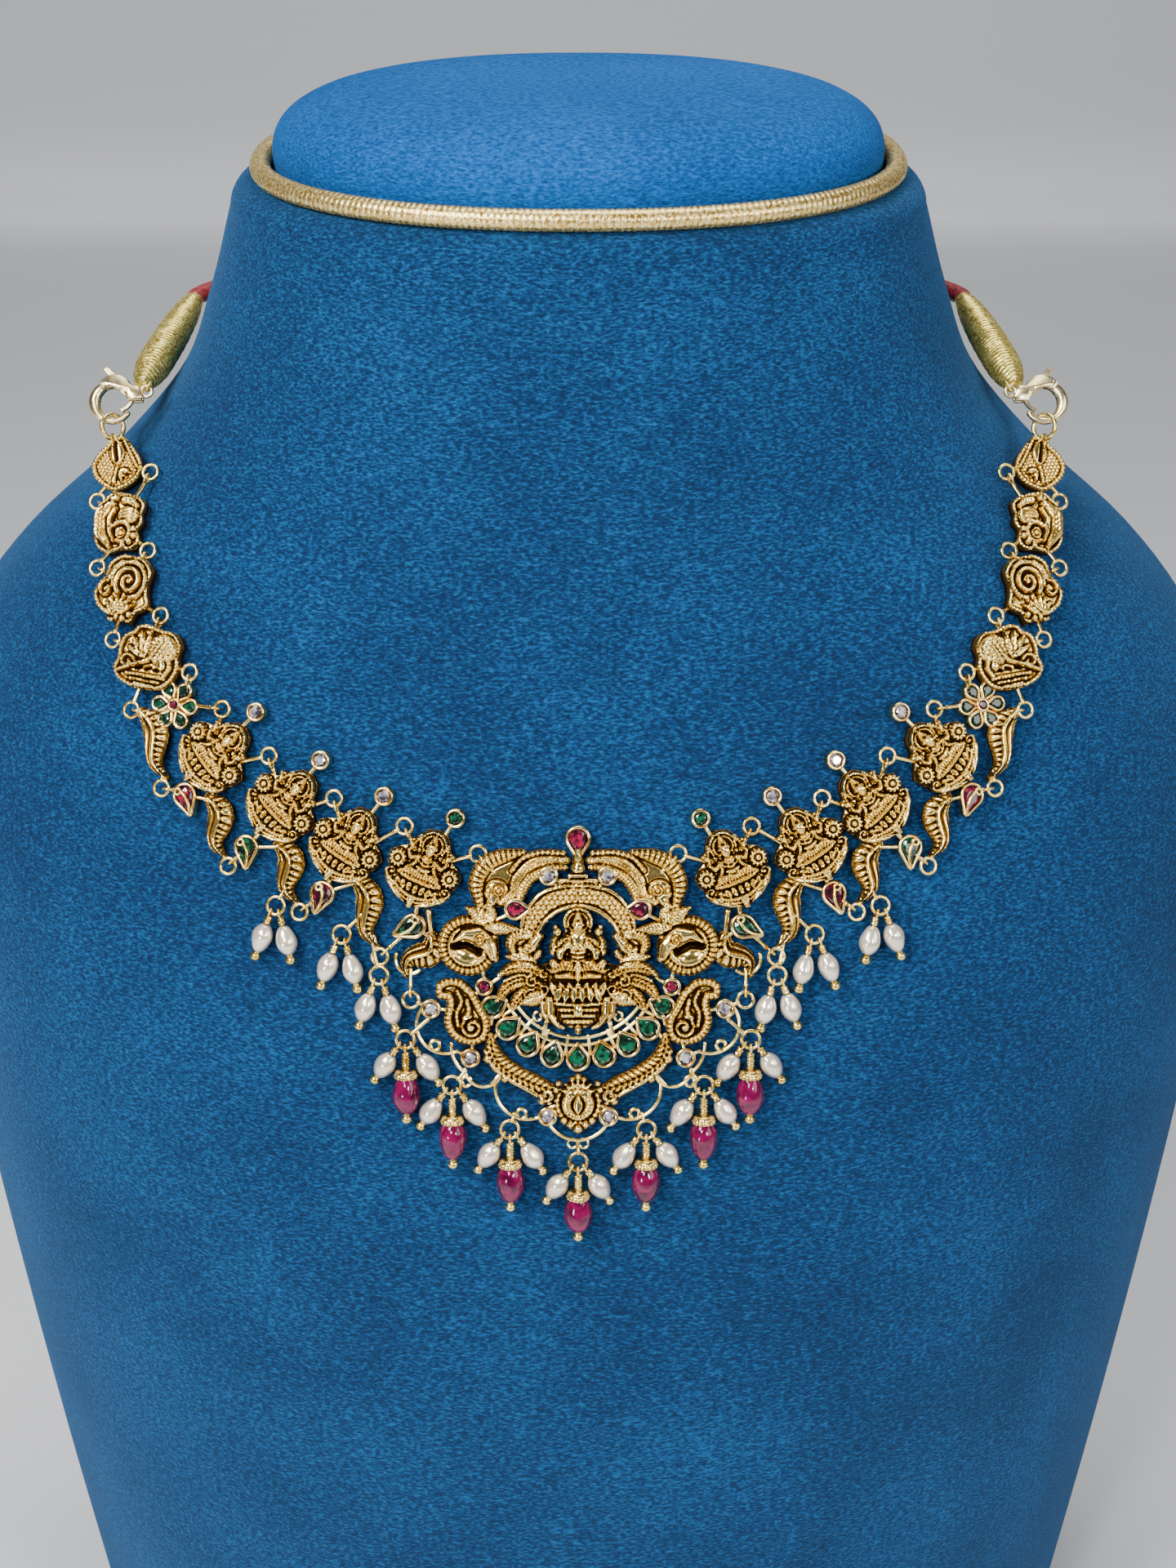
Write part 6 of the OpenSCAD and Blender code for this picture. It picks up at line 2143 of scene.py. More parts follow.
@dataclass
class Clasp:
    """Lever clasp, jump ring, thread winding and the cord behind the neck."""

    hook_at: Point = (-74, -15.4, 233.3)
    hook_r: float = 2.9
    hook_wire: float = 1.1
    cheeks: float = 2.2
    lever_t: float = 0.8
    lever_gap: float = 0.1
    hinge_d: float = 0.8
    hinge_gap: float = 0.05
    pivot_angle: float = 45
    gate_bend: float = 6
    gate_end: float = -46
    tail: Point = (5.3, 1.9)
    jump_r: float = 1.97
    jump_wire: float = 0.7
    jump_turn: float = 50
    leaf_loop: float = 0.95
    eye_r: float = 0.85
    eye_wire: float = 0.6
    winding_from: Point = (-69.9, -11.8, 235)
    winding_to: Point = (-65.1, 20, 239.5)
    winding_d: float = 5.8
    # The thread's pitch is coarser than the real 0.35 mm, so that its turns show
    thread_pitch: float = 0.8
    profile: Sequence[Point] = ((0, 0.36), (0.08, 0.72), (0.2, 0.96), (0.36, 1), (0.6, 0.96), (0.82, 0.82),
                                (0.94, 0.66), (1, 0.54))
    cord_d: float = 3
    cord_half: Sequence[Point] = (
        (-65.06, 20.27, 239.54), (-64.7, 21.7, 239.75), (-62.4, 24.6, 240), (-57.4, 29, 240.4),
        (-51.8, 32.3, 240.9), (-45, 36.4, 241.8), (-36, 41, 243), (-25.4, 44.6, 244), (-13.5, 46.9, 244.5))
    cord_middle: Point = (0, 47.6, 244.6)

    def __post_init__(self) -> None:
        """Works out the hook's frame and the jump ring's place."""
        right = vec(1, 0, 0)
        self.hook = Place(vec(*self.hook_at), right, np.cross(VIEW_DIR, right), VIEW_DIR)
        drop = self.hook_r + self.jump_r - self.jump_wire / 2 - self.hook_wire / 2 - 0.16
        self.jump = self.hook.point((0, -drop), 0)
        self.foot = self.jump - self.hook.up * self.jump_r

    def gate_r(self, degrees: float) -> float:
        """Radius of the lever's gate at an angle."""
        t = max(0.0, min(1.0, (self.gate_bend - degrees) / 40))
        return mix(self.hook_r + 0.42, self.hook_r - self.hook_wire / 2 - self.lever_gap, t)

    def hook_shell(self) -> Shell:
        """The claw, its head with a slot for the lever, the hinge pin and the eye.

        Returns:
            Their mesh in place.
        """
        r = self.hook_r
        claw = tube([[*on_circle(a, r), 0] for a in range(96, 328, 6)],
                    [0.62, 0.9, 0.95, 0.8, 0.6, 0.52, 0.46], 24)
        half, slot = self.cheeks / 2, self.lever_t / 2 + self.lever_gap
        cheek = [on_circle(2, 4.7), on_circle(12, 4.95), on_circle(24, 4.95), on_circle(34, 4.8)]
        cheek += [on_circle(a, r + 0.85 + 0.75 * math.sin(math.pi * (136 - a) / 120) ** 2)
                  for a in range(40, 125, 6)]
        cheek += [on_circle(a, r - 0.5) for a in range(124, 3, -6)]
        block = [on_circle(a, r + 0.8) for a in (110, 118, 126)]
        block += [on_circle(a, r - 0.45) for a in (126, 118, 110)]
        shells = [claw, slab(np.array(block), -half, half, 0.1)]
        shells += [slab(np.array(cheek), *sorted((s * slot, s * half)), 0.16) for s in (-1, 1)]
        pivot = on_circle(self.pivot_angle, r)
        pin = lathe([(self.hinge_d / 2, -half - 0.12), (self.hinge_d / 2, half + 0.12)], 24)
        eye = ring(level(*self.tail), self.eye_r, self.eye_wire, 36, 12)
        pin.points = pin.points + vec(*pivot, 0)
        return joined([*shells, pin, eye]).placed(self.hook)

    def lever_shell(self) -> Shell:
        """The lever: gate, boss round the pin and thumb tab.

        Returns:
            Its mesh in place.
        """
        boss = self.pivot_angle
        outer = [on_circle(a, self.gate_r(a) + 0.42 * math.exp(-((a - boss) / 11) ** 2))
                 for a in np.arange(self.gate_end, 59, 4)]
        tab = [vec(1.4, 3.7), vec(-0.8, 5.7), vec(-1.25, 5.65), vec(-1.5, 5.2), vec(0.6, 2.9), vec(1.3, 1.6)]
        inner = [on_circle(a, self.gate_r(a) - 0.7) for a in np.arange(16, self.gate_end - 1, -5)]
        hole = (on_circle(self.pivot_angle, self.hook_r), self.hinge_d / 2 + self.hinge_gap)
        return slab(np.array(outer + tab + inner), -self.lever_t / 2, self.lever_t / 2, 0.1,
                    hole).placed(self.hook)

    def jump_shell(self) -> Shell:
        """The jump ring, its cut a hair open.

        Returns:
            Its mesh in place.
        """
        up = self.hook.up
        c, s = on_circle(self.jump_turn, 1)
        out = unit(self.hook.right * c + self.hook.out * s)
        place = Place(self.jump, up, np.cross(out, up), out)
        return ring(place, self.jump_r, self.jump_wire, 48, 14, gap=3)

    def leaf_wires(self) -> list[Shell]:
        """The leaf's loop round the jump ring, and its bar.

        Returns:
            Their meshes in place.
        """
        up = self.hook.up
        c, s = on_circle(self.jump_turn, 1)
        out = unit(self.hook.right * c + self.hook.out * s)
        place = Place(self.foot - up * (self.leaf_loop - self.jump_wire), out, up, np.cross(out, up))
        start = self.foot - up * (2 * self.leaf_loop - self.jump_wire)
        end = PLACES["leaf"].point((-0.2, 3.9), LINK_LIFT)
        return [ring(place, self.leaf_loop, 0.5, 36, 12), WIRES.bar(start, end, 0.9)]

    def winding_shell(self) -> Shell:
        """The spindle of thread, its turns laid side by side, and its eye.

        Returns:
            Its mesh in place.
        """
        start, end = vec(*self.winding_from), vec(*self.winding_to)
        axis, length = unit(end - start), float(np.linalg.norm(end - start)) - 0.1
        side = unit(np.cross(axis, vec(0, 0, 1)))
        heights = np.arange(0, length, self.thread_pitch / 7)
        rows = [(smooth(self.profile, z / length, 1) * self.winding_d / 2, z) for z in heights]

        def thread(angle: Array, height: Array) -> Array:
            """How high the round threads stand, which cross a little as they climb."""
            lay = angle / 2 + 0.5 * np.sin(angle + 0.7 * height) + 0.3 * np.sin(2 * angle - 1.3 * height)
            return np.abs(np.sin(np.pi * height / self.thread_pitch + lay)) ** 0.7

        def turns(angle: Array, height: Array) -> Array:
            """The threads over a few coarser plies."""
            return 0.9 + 0.09 * thread(angle, height) + 0.01 * np.sin(2 * np.pi * height / 3.1 - angle)

        spindle = lathe(rows, 32, shape=turns)
        x, y, z = spindle.points.T
        # Deep between the threads, where the thread's finish paints shade
        spindle.recess = 1 - thread(np.arctan2(y, x), z)
        spindle = spindle.placed(Place(start, side, np.cross(axis, side), axis))
        hold = on_circle(60, self.eye_r)
        eye_out = unit(self.hook.right * hold[0] + self.hook.up * hold[1])
        eye = self.hook.point(vec(*self.tail) + hold, 0)
        loop = ring(Place(eye, VIEW_DIR, eye_out, np.cross(eye_out, VIEW_DIR)), WIRES.loop_r,
                    WIRES.loop_wire, 32, 10)
        neck = WIRES.bar(eye - VIEW_DIR * WIRES.loop_r, start + axis * 0.4, 0.9)
        return joined([spindle, loop, neck])

    def cord_path(self) -> Array:
        """Points along the cord's middle, from the left winding to the right one.

        Returns:
            The points, one row each.
        """
        half = [vec(*p) for p in self.cord_half]
        flipped = [p * vec(-1, 1, 1) for p in half[::-1]]
        return curve([*half, vec(*self.cord_middle), *flipped], 10)

    def cord_shell(self) -> Shell:
        """The round braid of the cord.

        Returns:
            Its mesh in place.
        """
        def braid(length: Array, angle: Array) -> Array:
            """Strands that cross over each other both ways round.

            Args:
                length: Millimetres along the cord.
                angle: Angles round it.

            Returns:
                Factor on its radius.
            """
            one = np.abs(np.sin(np.pi * length / 2.2 + 2 * angle))
            other = np.abs(np.sin(np.pi * length / 2.2 - 2 * angle))
            return 0.94 + 0.06 * np.maximum(one, other) ** 2

        path = self.cord_path()
        run = lengths(path)
        even = np.arange(0, run[-1], 0.3)
        fine = np.stack([np.interp(even, run, path[:, k]) for k in range(3)], -1)
        return tube(np.vstack([fine, path[-1]]), self.cord_d / 2, 24, shape=braid)

    def build(self) -> None:
        """Makes both clasps, both windings and the cord."""
        both("clasp_hook", self.hook_shell(), FINISH.steel, "clasp_{}", sharp=50)
        both("clasp_thumb_lever", self.lever_shell(), FINISH.steel, "clasp_lever_{}", "lever", sharp=35)
        both("jump_ring_wire", self.jump_shell(), FINISH.wire, "jump_ring_{}")
        both("zari_winding_thread", self.winding_shell(), FINISH.zari, "zari_winding_{}")
        path = self.cord_path()
        cord = self.cord_shell().piece("braided_neck_cord", FINISH.silk, ["cord_back"], sharp=60)


# The castings, each drawn in its unit's own frame

def leaf_to(r: Relief, start: Point, tip: Point, width: float, z: float, height: float,
            pitch: float = 0.5, veined: bool = True) -> None:
    """Presses a pointed leaf from its stem to its tip.

    Args:
        r: The casting.
        start: Where its stem is.
        tip: Where it points.
        width: Its greatest width.
        z: Height of its edges.
        height: Rise of its middle.
        pitch: Distance between two veins.
        veined: Whether it has veins.
    """
    d = vec(*tip) - vec(*start)
    turn = math.degrees(math.atan2(d[1], d[0])) - 90
    r.leaf(start, turn, float(np.hypot(*d)), width, z, height, pitch, 0.35, veined)


def daisy(r: Relief, at: Point, radius: float, petals: int, z: float) -> None:
    """Presses a daisy with round petals and a boss.

    Args:
        r: The casting.
        at: Its middle.
        radius: Half its width.
        petals: How many petals it has.
        z: Height of their edges.
    """
    r.dome(at, radius, z - 0.35, 0.3)
    for k in range(petals):
        a = 360 * k / petals
        r.dome(vec(*at[:2]) + on_circle(a, radius * 0.68), radius * 0.19, z, 0.38, 0.2, 1.9, a)
    r.dome(at, radius * 0.34, z + 0.05, 0.5, 0.35)


def eye(r: Relief, at: Point, radius: float, z: float) -> None:
    """Presses a ringed eye.

    Args:
        r: The casting.
        at: Its middle.
        radius: Half its width.
        z: Height of its edge.
    """
    r.dome(at, radius, z, 0.25, 0.3)
    r.stroke(arc(at, radius * 0.8, 0, 360, 30), radius * 0.2, z + 0.2, 0.25, moat=0.15)
    r.dome(at, radius * 0.42, z + 0.2, 0.35, 0.25)


def goddess_bust(r: Relief, head: Point, w: float, z: float) -> None:
    """Presses a calm, plain face with its crown, halo and necklaces.

    Args:
        r: The casting.
        head: Middle of the face.
        w: Half the face's width.
        z: Height of the ground round it.
    """
    x, y = head
    r.dome((x, y + w * 1.1), w * 2.1, z - 0.3, 0.35, 0)
    r.stroke(arc((x, y + w * 1), w * 2.15, -25, 230, 8), w * 0.27, z, 0.5, Cut.ROPE, 0.42)
    r.stroke(arc((x, y + w * 0.9), w * 1.62, -30, 240, 8), w * 0.24, z + 0.1, 0.45, Cut.BEADS, 0.4)
    # Crown of narrowing bands over a fillet of beads
    r.stroke([(x, y + w * 0.8), (x, y + w * 2), (x, y + w * 2.9)], [w * 1, w * 0.62, w * 0.2], z + 0.3, 0.9,
                  Cut.RIBS, w * 0.42)
    r.stroke(arc((x, y - w * 0.1), w * 1.12, 35, 110, 10), w * 0.2, z + 0.9, 0.45, Cut.BEADS, w * 0.34)
    r.dome((x, y), w * 0.86, z + 0.6, 0.95, 0.4, 1.28, 90)
    # Brows, closed lids, nose and lips
    for s in (-1, 1):
        r.stroke(arc((x + s * w * 0.36, y + w * 0.1), w * 0.3, 25, 130, 20), w * 0.07, z + 1.45, 0.14,
                 moat=0.05)
        r.dome((x + s * w * 0.36, y + w * 0.1), w * 0.2, z + 1.42, 0.12, 0.12, 1.5)
        r.dome((x + s * w * 1.08, y - w * 0.25), w * 0.3, z + 0.7, 0.45, 0.3)
        r.dome((x + s * w * 1.12, y - w * 0.8), w * 0.24, z + 0.65, 0.4, 0.2)
    r.stroke([(x, y + w * 0.25), (x, y - w * 0.28)], [w * 0.06, w * 0.15], z + 1.5, 0.2, moat=0.05)
    r.dome((x, y - w * 0.62), w * 0.2, z + 1.38, 0.16, 0.1, 1.6)
    # Neck, necklaces and shoulders
    r.stroke([(x - w * 1.5, y - w * 1.9), (x, y - w * 1.5), (x + w * 1.5, y - w * 1.9)], w * 0.62, z + 0.25,
             0.65, moat=0.3)
    for k, reach in enumerate((0.75, 1.25, 1.8)):
        r.stroke(arc((x, y - w * 0.75), w * reach, 205, 130, 8), w * 0.2, z + 0.75 + 0.06 * k, 0.4,
                 Cut.BEADS if k % 2 else Cut.ROPE, 0.36)


def plaque_figure() -> Shell:
    """The seated goddess of the plaques, on her lotus between two daisies.

    Returns:
        Its mesh in the plaque's frame.
    """
    r = Relief((-6.6, -6.6), (6.6, 7.6), 0.1)
    side = [(0, 7.1), (1.7, 6.6), (2.7, 5.2), (3.4, 3.2), (5, 2.3), (6.2, 1.2), (6.1, -0.5), (5.5, -1.4),
            (5.7, -2.6), (4.5, -4.2), (2.2, -5.5), (0.8, -6.2), (0, -6.3)]
    outline = [(-x, y) for x, y in side] + side[-2:0:-1]
    r.plate(outline, 1.75, 0.5)
    goddess_bust(r, (0, 3.5), 0.98, 2.1)
    # Drawn on the left, then mirrored
    r.stroke([(-2.3, 5.2), (-2.9, 3.9), (-2.6, 2.6)], 0.34, 2, 0.6, Cut.BEADS, 0.5)
    r.stroke([(-1.4, 1.9), (-2.7, 1.3), (-3.3, 2.3), (-3, 3.2)], [0.5, 0.42, 0.34, 0.34], 2.3, 0.85,
             Cut.RIBS, 0.42)
    r.dome((-3.2, 3.4), 0.5, 2.3, 0.6)
    for a in (40, 90, 140):
        r.dome(vec(-3.3, 3.6) + on_circle(a, 0.6), 0.24, 2.2, 0.5, 0.15)
    r.stroke([(-1.3, 1.4), (-2, 0.2), (-2.9, -0.5)], [0.45, 0.38, 0.3], 2.25, 0.8, Cut.RIBS, 0.4)
    r.stroke([(0, 2), (0, -0.6)], [0.9, 1.15], 2.2, 0.75, moat=0.2)
    r.stroke([(-1.05, 1.25), (0, 0.85), (1.05, 1.25)], 0.2, 2.9, 0.3, Cut.BEADS, 0.36)
    r.stroke([(-1.05, 0.35), (0, 0.05), (1.05, 0.35)], 0.26, 2.85, 0.3, Cut.ROPE, 0.4)
    for x, y in ((-0.5, 1.15), (-0.28, -0.15), (-0.75, -0.2)):
        r.dome((x, y), 0.3, 2.75, 0.35, 0.15)
    r.stroke([(0.2, -1.15), (-1.6, -0.75), (-3.5, -1.35)], [0.62, 0.78, 0.5], 2.3, 1, Cut.RIBS, 0.46)
    r.stroke([(0.2, -1.9), (-1.4, -1.85), (-2.9, -1.75)], [0.4, 0.48, 0.34], 2.2, 0.9, Cut.RIBS, 0.4)
    daisy(r, (-4.6, 0.45), 1.5, 12, 2.5)
    for k, x in enumerate((-3.15, -2.2, -1.12, 0)):
        y = -3.1 - 0.22 * (k / 3)
        lean = (3 - k) * 9
        r.dome((x, y), 0.5, 2.2, 0.45, 0.35, 1.6, 90 + lean)
        r.carve([vec(x, y) + on_circle(90 + lean, t) for t in (-0.42, 0.45)], 0.26, 0.42)
        r.carve([vec(x, y - 0.2), vec(x, y + 0.45)], 0.08, 0.15)
    r.stroke([(-3.9, -3.55), (-2.6, -4.25), (-1.2, -4.6), (0, -4.7)], 0.42, 2.1, 0.6, Cut.RIBS, 0.5)
    r.stroke([(-4.7, -2.9), (-3.6, -4.2), (-2.1, -4.95), (-0.7, -5.35)], [0.3, 0.26, 0.24], 2.1, 0.6)
    r.stroke([(-5.25, -2.6), (-4.5, -3.75), (-2.8, -5), (-1, -5.8)], [0.4, 0.3, 0.26, 0.2], 2, 0.65)
    r.stroke(spiral((-4.75, -2), 0.82, 0.55, 250, -250), 0.2, 2.15, 0.6)
    r.dome((-4.7, -2.05), 0.36, 2.1, 0.5)
    r.stroke([(0, -5.2), (0, -6)], [0.75, 0.5], 2, 0.55, Cut.RIBS, 0.32)
    r.mirror()
    shell = r.shell(0.25)
    shell.points = shell.points * vec(0.92, 0.92, 1)
    return shell


def leaf_scroll(start: Point, end: Point, bulge: float) -> Shell:
    """An S-shaped acanthus leaf: one half in smooth folds, the other ribbed.

    Args:
        start: Its broad end.
        end: Its pointed end, with a small knob.
        bulge: How far its curves swing to the sides.

    Returns:
        The leaf in its unit's frame.
    """
    a, b = vec(*start), vec(*end)
    d = unit(b - a)
    n = vec(-d[1], d[0])
    spine = [mix(a, b, t) + n * bulge * math.sin(2 * math.pi * t) for t in np.linspace(-0.04, 1.02, 24)]
    r = Relief(np.min(spine, 0) - 2.4, np.max(spine, 0) + 2.4, 0.1)
    r.stroke(spine, [0.9, 1.6, 2.05, 2.15, 1.9, 1.6, 1.2, 0.75, 0.3], 0.75, 1.35, Cut.SPLIT, 0.9, 0)
    r.stroke(spine, [0.3, 0.34, 0.34, 0.28, 0.16], 1.9, 0.35, moat=0.3)
    r.dome(b + d * 0.35, 0.5, 0.8, 0.7)
    r.dome(a - d * 0.1, 0.75, 0.9, 0.8)
    return r.shell(0.3)


class Motif(Enum):
    """The small links up each side."""

    LEAF = "leaf"
    PEACOCK = "peacock"
    PAISLEY = "paisley"
    BIRD = "bird"


# Corners of the links' uneven outlines, drawn upright, in millimetres
LINK_OUTLINES = {
    Motif.PEACOCK: [(-0.5, 4.3), (1.5, 4.2), (3.2, 3.6), (3.5, 2.5), (3.3, 1.7), (3.7, 0.5), (3.1, -0.8),
                    (3.8, -2.4),
                    (3, -3.5), (1, -3.8), (-0.9, -4.5), (-2.9, -3.7), (-3.9, -1.3), (-3.3, 0.9), (-3.9, 2.3),
                    (-3, 3.2), (-2.2, 4.2)],
    Motif.PAISLEY: [(0.6, 4.9), (2.6, 4.6), (4.2, 3.1), (4, 1), (4.5, -0.8), (5, -1.9), (4, -2.8), (3, -3.4),
                    (2.6, -4.8), (1.1, -4.5), (-1.1, -4.8), (-1.9, -3.7), (-3.5, -3.1), (-4.7, -1.4),
                    (-4.1, 0.5), (-3.1, 1.6), (-3.2, 3.4), (-1.6, 4.7)],
    Motif.BIRD: [(-0.5, 4.7), (1.6, 4.2), (3.4, 4), (4.6, 2.4), (4.4, 0.8), (4.8, -0.8), (4.2, -2.8),
                 (2.8, -4.2),
                 (0.4, -4.6), (-2.2, -4.4), (-4, -3.6), (-4.9, -2.2), (-4.4, -0.6), (-4.6, 0.9), (-4.1, 2.9),
                 (-2.8, 3.6), (-2.1, 4.6)]}

# How far each link is drawn out sideways and upwards
LINK_STRETCH = {Motif.LEAF: (1, 1), Motif.PEACOCK: (1.04, 1.12), Motif.PAISLEY: (1, 1.1),
                Motif.BIRD: (1.14, 1.06)}


@dataclass
class SideLink:
    """A small cast link, drawn upright as it lies on the bust.

    Each motif has a method of its name, which draws it on a casting r inside
    the rim of its plate.
    """

    motif: Motif
    step: float = 0.11

    def outline(self, upright: Place) -> list[Array]:
        """Its plate's outline, drawn upright; only the leaf's follows its own axis.

        Args:
            upright: The upright frame in the unit's.

        Returns:
            The plate's corners.
        """
        if self.motif is Motif.LEAF:
            half = [vec(4.1 * math.sin(math.pi * t ** 0.8), 9.4 * t - 4.9) for t in np.linspace(0, 1, 14)]
            whole = half + [p * vec(-1, 1) for p in half[-2:0:-1]]
            return [vec(p @ upright.right[:2], p @ upright.up[:2]) for p in whole]
        return list(curve([vec(*p) for p in LINK_OUTLINES[self.motif]], 4, True))

    def shell(self) -> Shell:
        """The casting in its unit's own frame.

        Returns:
            Its mesh.
        """
        roll = ROUTE[self.motif.value][3]
        relief = Relief((-5.8, -5.8), (5.8, 5.8), self.step)
        upright = level().turned(-roll)
        flat = self.outline(upright)
        relief.plate(flat, 1.9, 0.5)
        rim = [p * 0.93 for p in flat + flat[:1]]
        getattr(self, self.motif.value)(relief, rim)
        shell = relief.shell(0.25)
        wide, high = LINK_STRETCH[self.motif]
        shell.points = shell.points * vec(wide, high, 1)
        return shell.placed(upright)

    def leaf(self, r: Relief, rim: list[Array]) -> None:
        """Rows of grains, a pointed hollow and a small fan.

        Args:
            r: The casting to draw on.
            rim: Points along its rim.
        """
        r.texture(r.cover > 0.5, r.grains(0.62, 0.42))
        r.stroke(rim, 0.34, 2.05, 0.5, Cut.BEADS, 0.62)
        leaf_to(r, (0.1, -0.6), (-0.9, 4), 2.5, 2.1, 0.45, veined=False)
        r.carve([(-0.1, 0.2), (-0.5, 1.6), (-0.85, 3.1)], 0.34, 0.9)
        r.stroke([(0.1, -0.9), (-0.1, -3.4)], 0.3, 2.2, 0.5, Cut.ROPE, 0.4)
        for tip in ((2, -2.6), (1.2, -3.3), (2.6, -1.6)):
            leaf_to(r, (0.7, -1.2), tip, 0.9, 2.25, 0.5, 0.4)
        r.stroke([(0.6, 3.6), (1.9, 1.6), (3.3, -0.4)], 0.3, 2.2, 0.5, Cut.BEADS, 0.5)

    def peacock(self, r: Relief, rim: list[Array]) -> None:
        """A fluted tail that sweeps down the left, a bud, a lined dome and an eye.

        Args:
            r: The casting to draw on.
            rim: Points along its rim.
        """
        r.stroke(rim, 0.26, 1.95, 0.4, Cut.BEADS, 0.55)
        r.stroke([(-1.6, 2.6), (-2.9, 0.9), (-2.5, -1.4), (-0.8, -3.6)], [0.6, 1.25, 1.2, 0.35], 2, 1,
                 Cut.FLUTES)
        r.stroke([(-0.9, 1.9), (-1.5, 0.3), (-1, -1.5), (-0.2, -2.8)], [0.3, 0.42, 0.4, 0.2], 2.2, 0.8)
        r.dome((1.3, 1.2), 1.35, 2.1, 0.9, 0.4, 1.25, 12)
        for k in (-1, 0, 1):
            r.carve([(0.3, 1 + 0.5 * k), (1.3, 1.25 + 0.52 * k), (2.4, 1.3 + 0.5 * k)], 0.13, 0.3)
        r.stroke(spiral((0.7, -1.4), 1.6, 1.2, 150, -260), 0.34, 2.1, 0.7, Cut.RIBS, 0.4)
        eye(r, (0.7, -1.45), 0.85, 2.2)
        for x, y in ((2.5, -0.6), (2.7, -1.6), (2.2, -2.5), (1.3, -3.1)):
            r.dome((x, y), 0.5, 2, 0.6)
        r.stroke([(0.2, 3.3), (1.4, 3.2), (2.4, 2.7)], [0.5, 0.6, 0.4], 2.1, 0.7, Cut.RIBS, 0.45)
        for a in (60, 100, 140):
            r.dome(vec(-1.3, 2.9) + on_circle(a, 0.6), 0.34, 2.1, 0.6, 0.2, 1.4, a)

    def paisley(self, r: Relief, rim: list[Array]) -> None:
        """A beaded volute over a fan of lotus petals.

        Args:
            r: The casting to draw on.
            rim: Points along its rim.
        """
        r.stroke(rim, 0.28, 1.95, 0.45, Cut.BEADS, 0.55)
        r.stroke(spiral((0.9, 1.1), 2.3, 0.5, 230, -560), [0.42, 0.38, 0.3], 2.15, 0.8)
        r.stroke(spiral((0.9, 1.1), 2.85, 2.6, 200, -250), 0.32, 2.1, 0.6, Cut.BEADS, 0.5)
        r.dome((0.9, 1.1), 0.42, 2.3, 0.6)
        for a in (168, 146, 124, 102, 80, 58, 38):
            leaf_to(r, (0.2, -3.9), vec(0.2, -3.9) + on_circle(a, 3.1), 0.95, 2.1, 0.85, 0.5, False)
            r.carve([vec(0.2, -3.9) + on_circle(a, t) for t in (0.9, 2.4)], 0.1, 0.3)
        r.stroke(spiral((-2.7, -0.4), 1.2, 0.5, 90, 330), 0.26, 2.1, 0.7)
        r.dome((-2.7, -0.4), 0.36, 2.2, 0.5)
        r.stroke([(-2.4, 1.4), (-1.9, 2.7), (-0.9, 3.6)], 0.5, 2.1, 0.7, Cut.RIBS, 0.45)
        r.stroke([(-0.2, 3.8), (1.2, 4), (2.4, 3.5)], 0.36, 2.1, 0.6, Cut.ROPE, 0.45)
        for x, y in ((0.2, -4.1), (1.2, -4.2), (2.2, -3.6)):
            r.dome((x, y), 0.5, 2.1, 0.7)

    def bird(self, r: Relief, rim: list[Array]) -> None:
        """Long feathers up the left, a grained breast and bead rows below a rope.

        Args:
            r: The casting to draw on.
            rim: Points along its rim.
        """
        r.stroke(rim, 0.28, 1.95, 0.45, Cut.BEADS, 0.55)
        r.dome((1.9, 1.4), 2.3, 2, 0.9, 0.3)
        body = np.hypot(r.x - 1.9, r.y - 1.4) < 2
        r.texture(body, r.grains(0.66, 0.35))
        for tip, width in (((-2.9, 3), 1.25), ((-1.5, 3.9), 1.25), ((-3.6, 1.5), 1), ((0, 4.2), 0.9)):
            leaf_to(r, (-0.2, -0.2), tip, width, 2.15, 0.8, 0.9, False)
            r.carve([mix(vec(-0.2, -0.2), vec(*tip), t) for t in (0.25, 0.85)], 0.09, 0.3)
        r.stroke([(-4, -2.3), (-2.1, -1.3), (0.1, -0.4), (1.2, 0.9), (1.9, 2.6)], 0.3, 2.3, 0.65, Cut.ROPE,
                 0.45)
        r.stroke(spiral((-2.9, -0.9), 1.1, 0.4, 20, 330), 0.26, 2.1, 0.6)
        for row, y in enumerate((-2.6, -3.3, -3.95)):
            half = 2.9 - row * 0.75
            r.stroke([(-half, y), (half, y - 0.1)], 0.3, 2, 0.55, Cut.BEADS, 0.52)
        for x in (-1.2, 0.2, 1.6):
            r.carve([(x - 0.35, -1.65), (x + 0.35, -1.45)], 0.3, 0.9)
        r.dome((2.3, -0.9), 0.75, 2.1, 0.6)
        r.stroke([(3.1, 0.3), (3.5, -1.1), (2.9, -2.3)], 0.34, 2.1, 0.6, Cut.BEADS, 0.5)


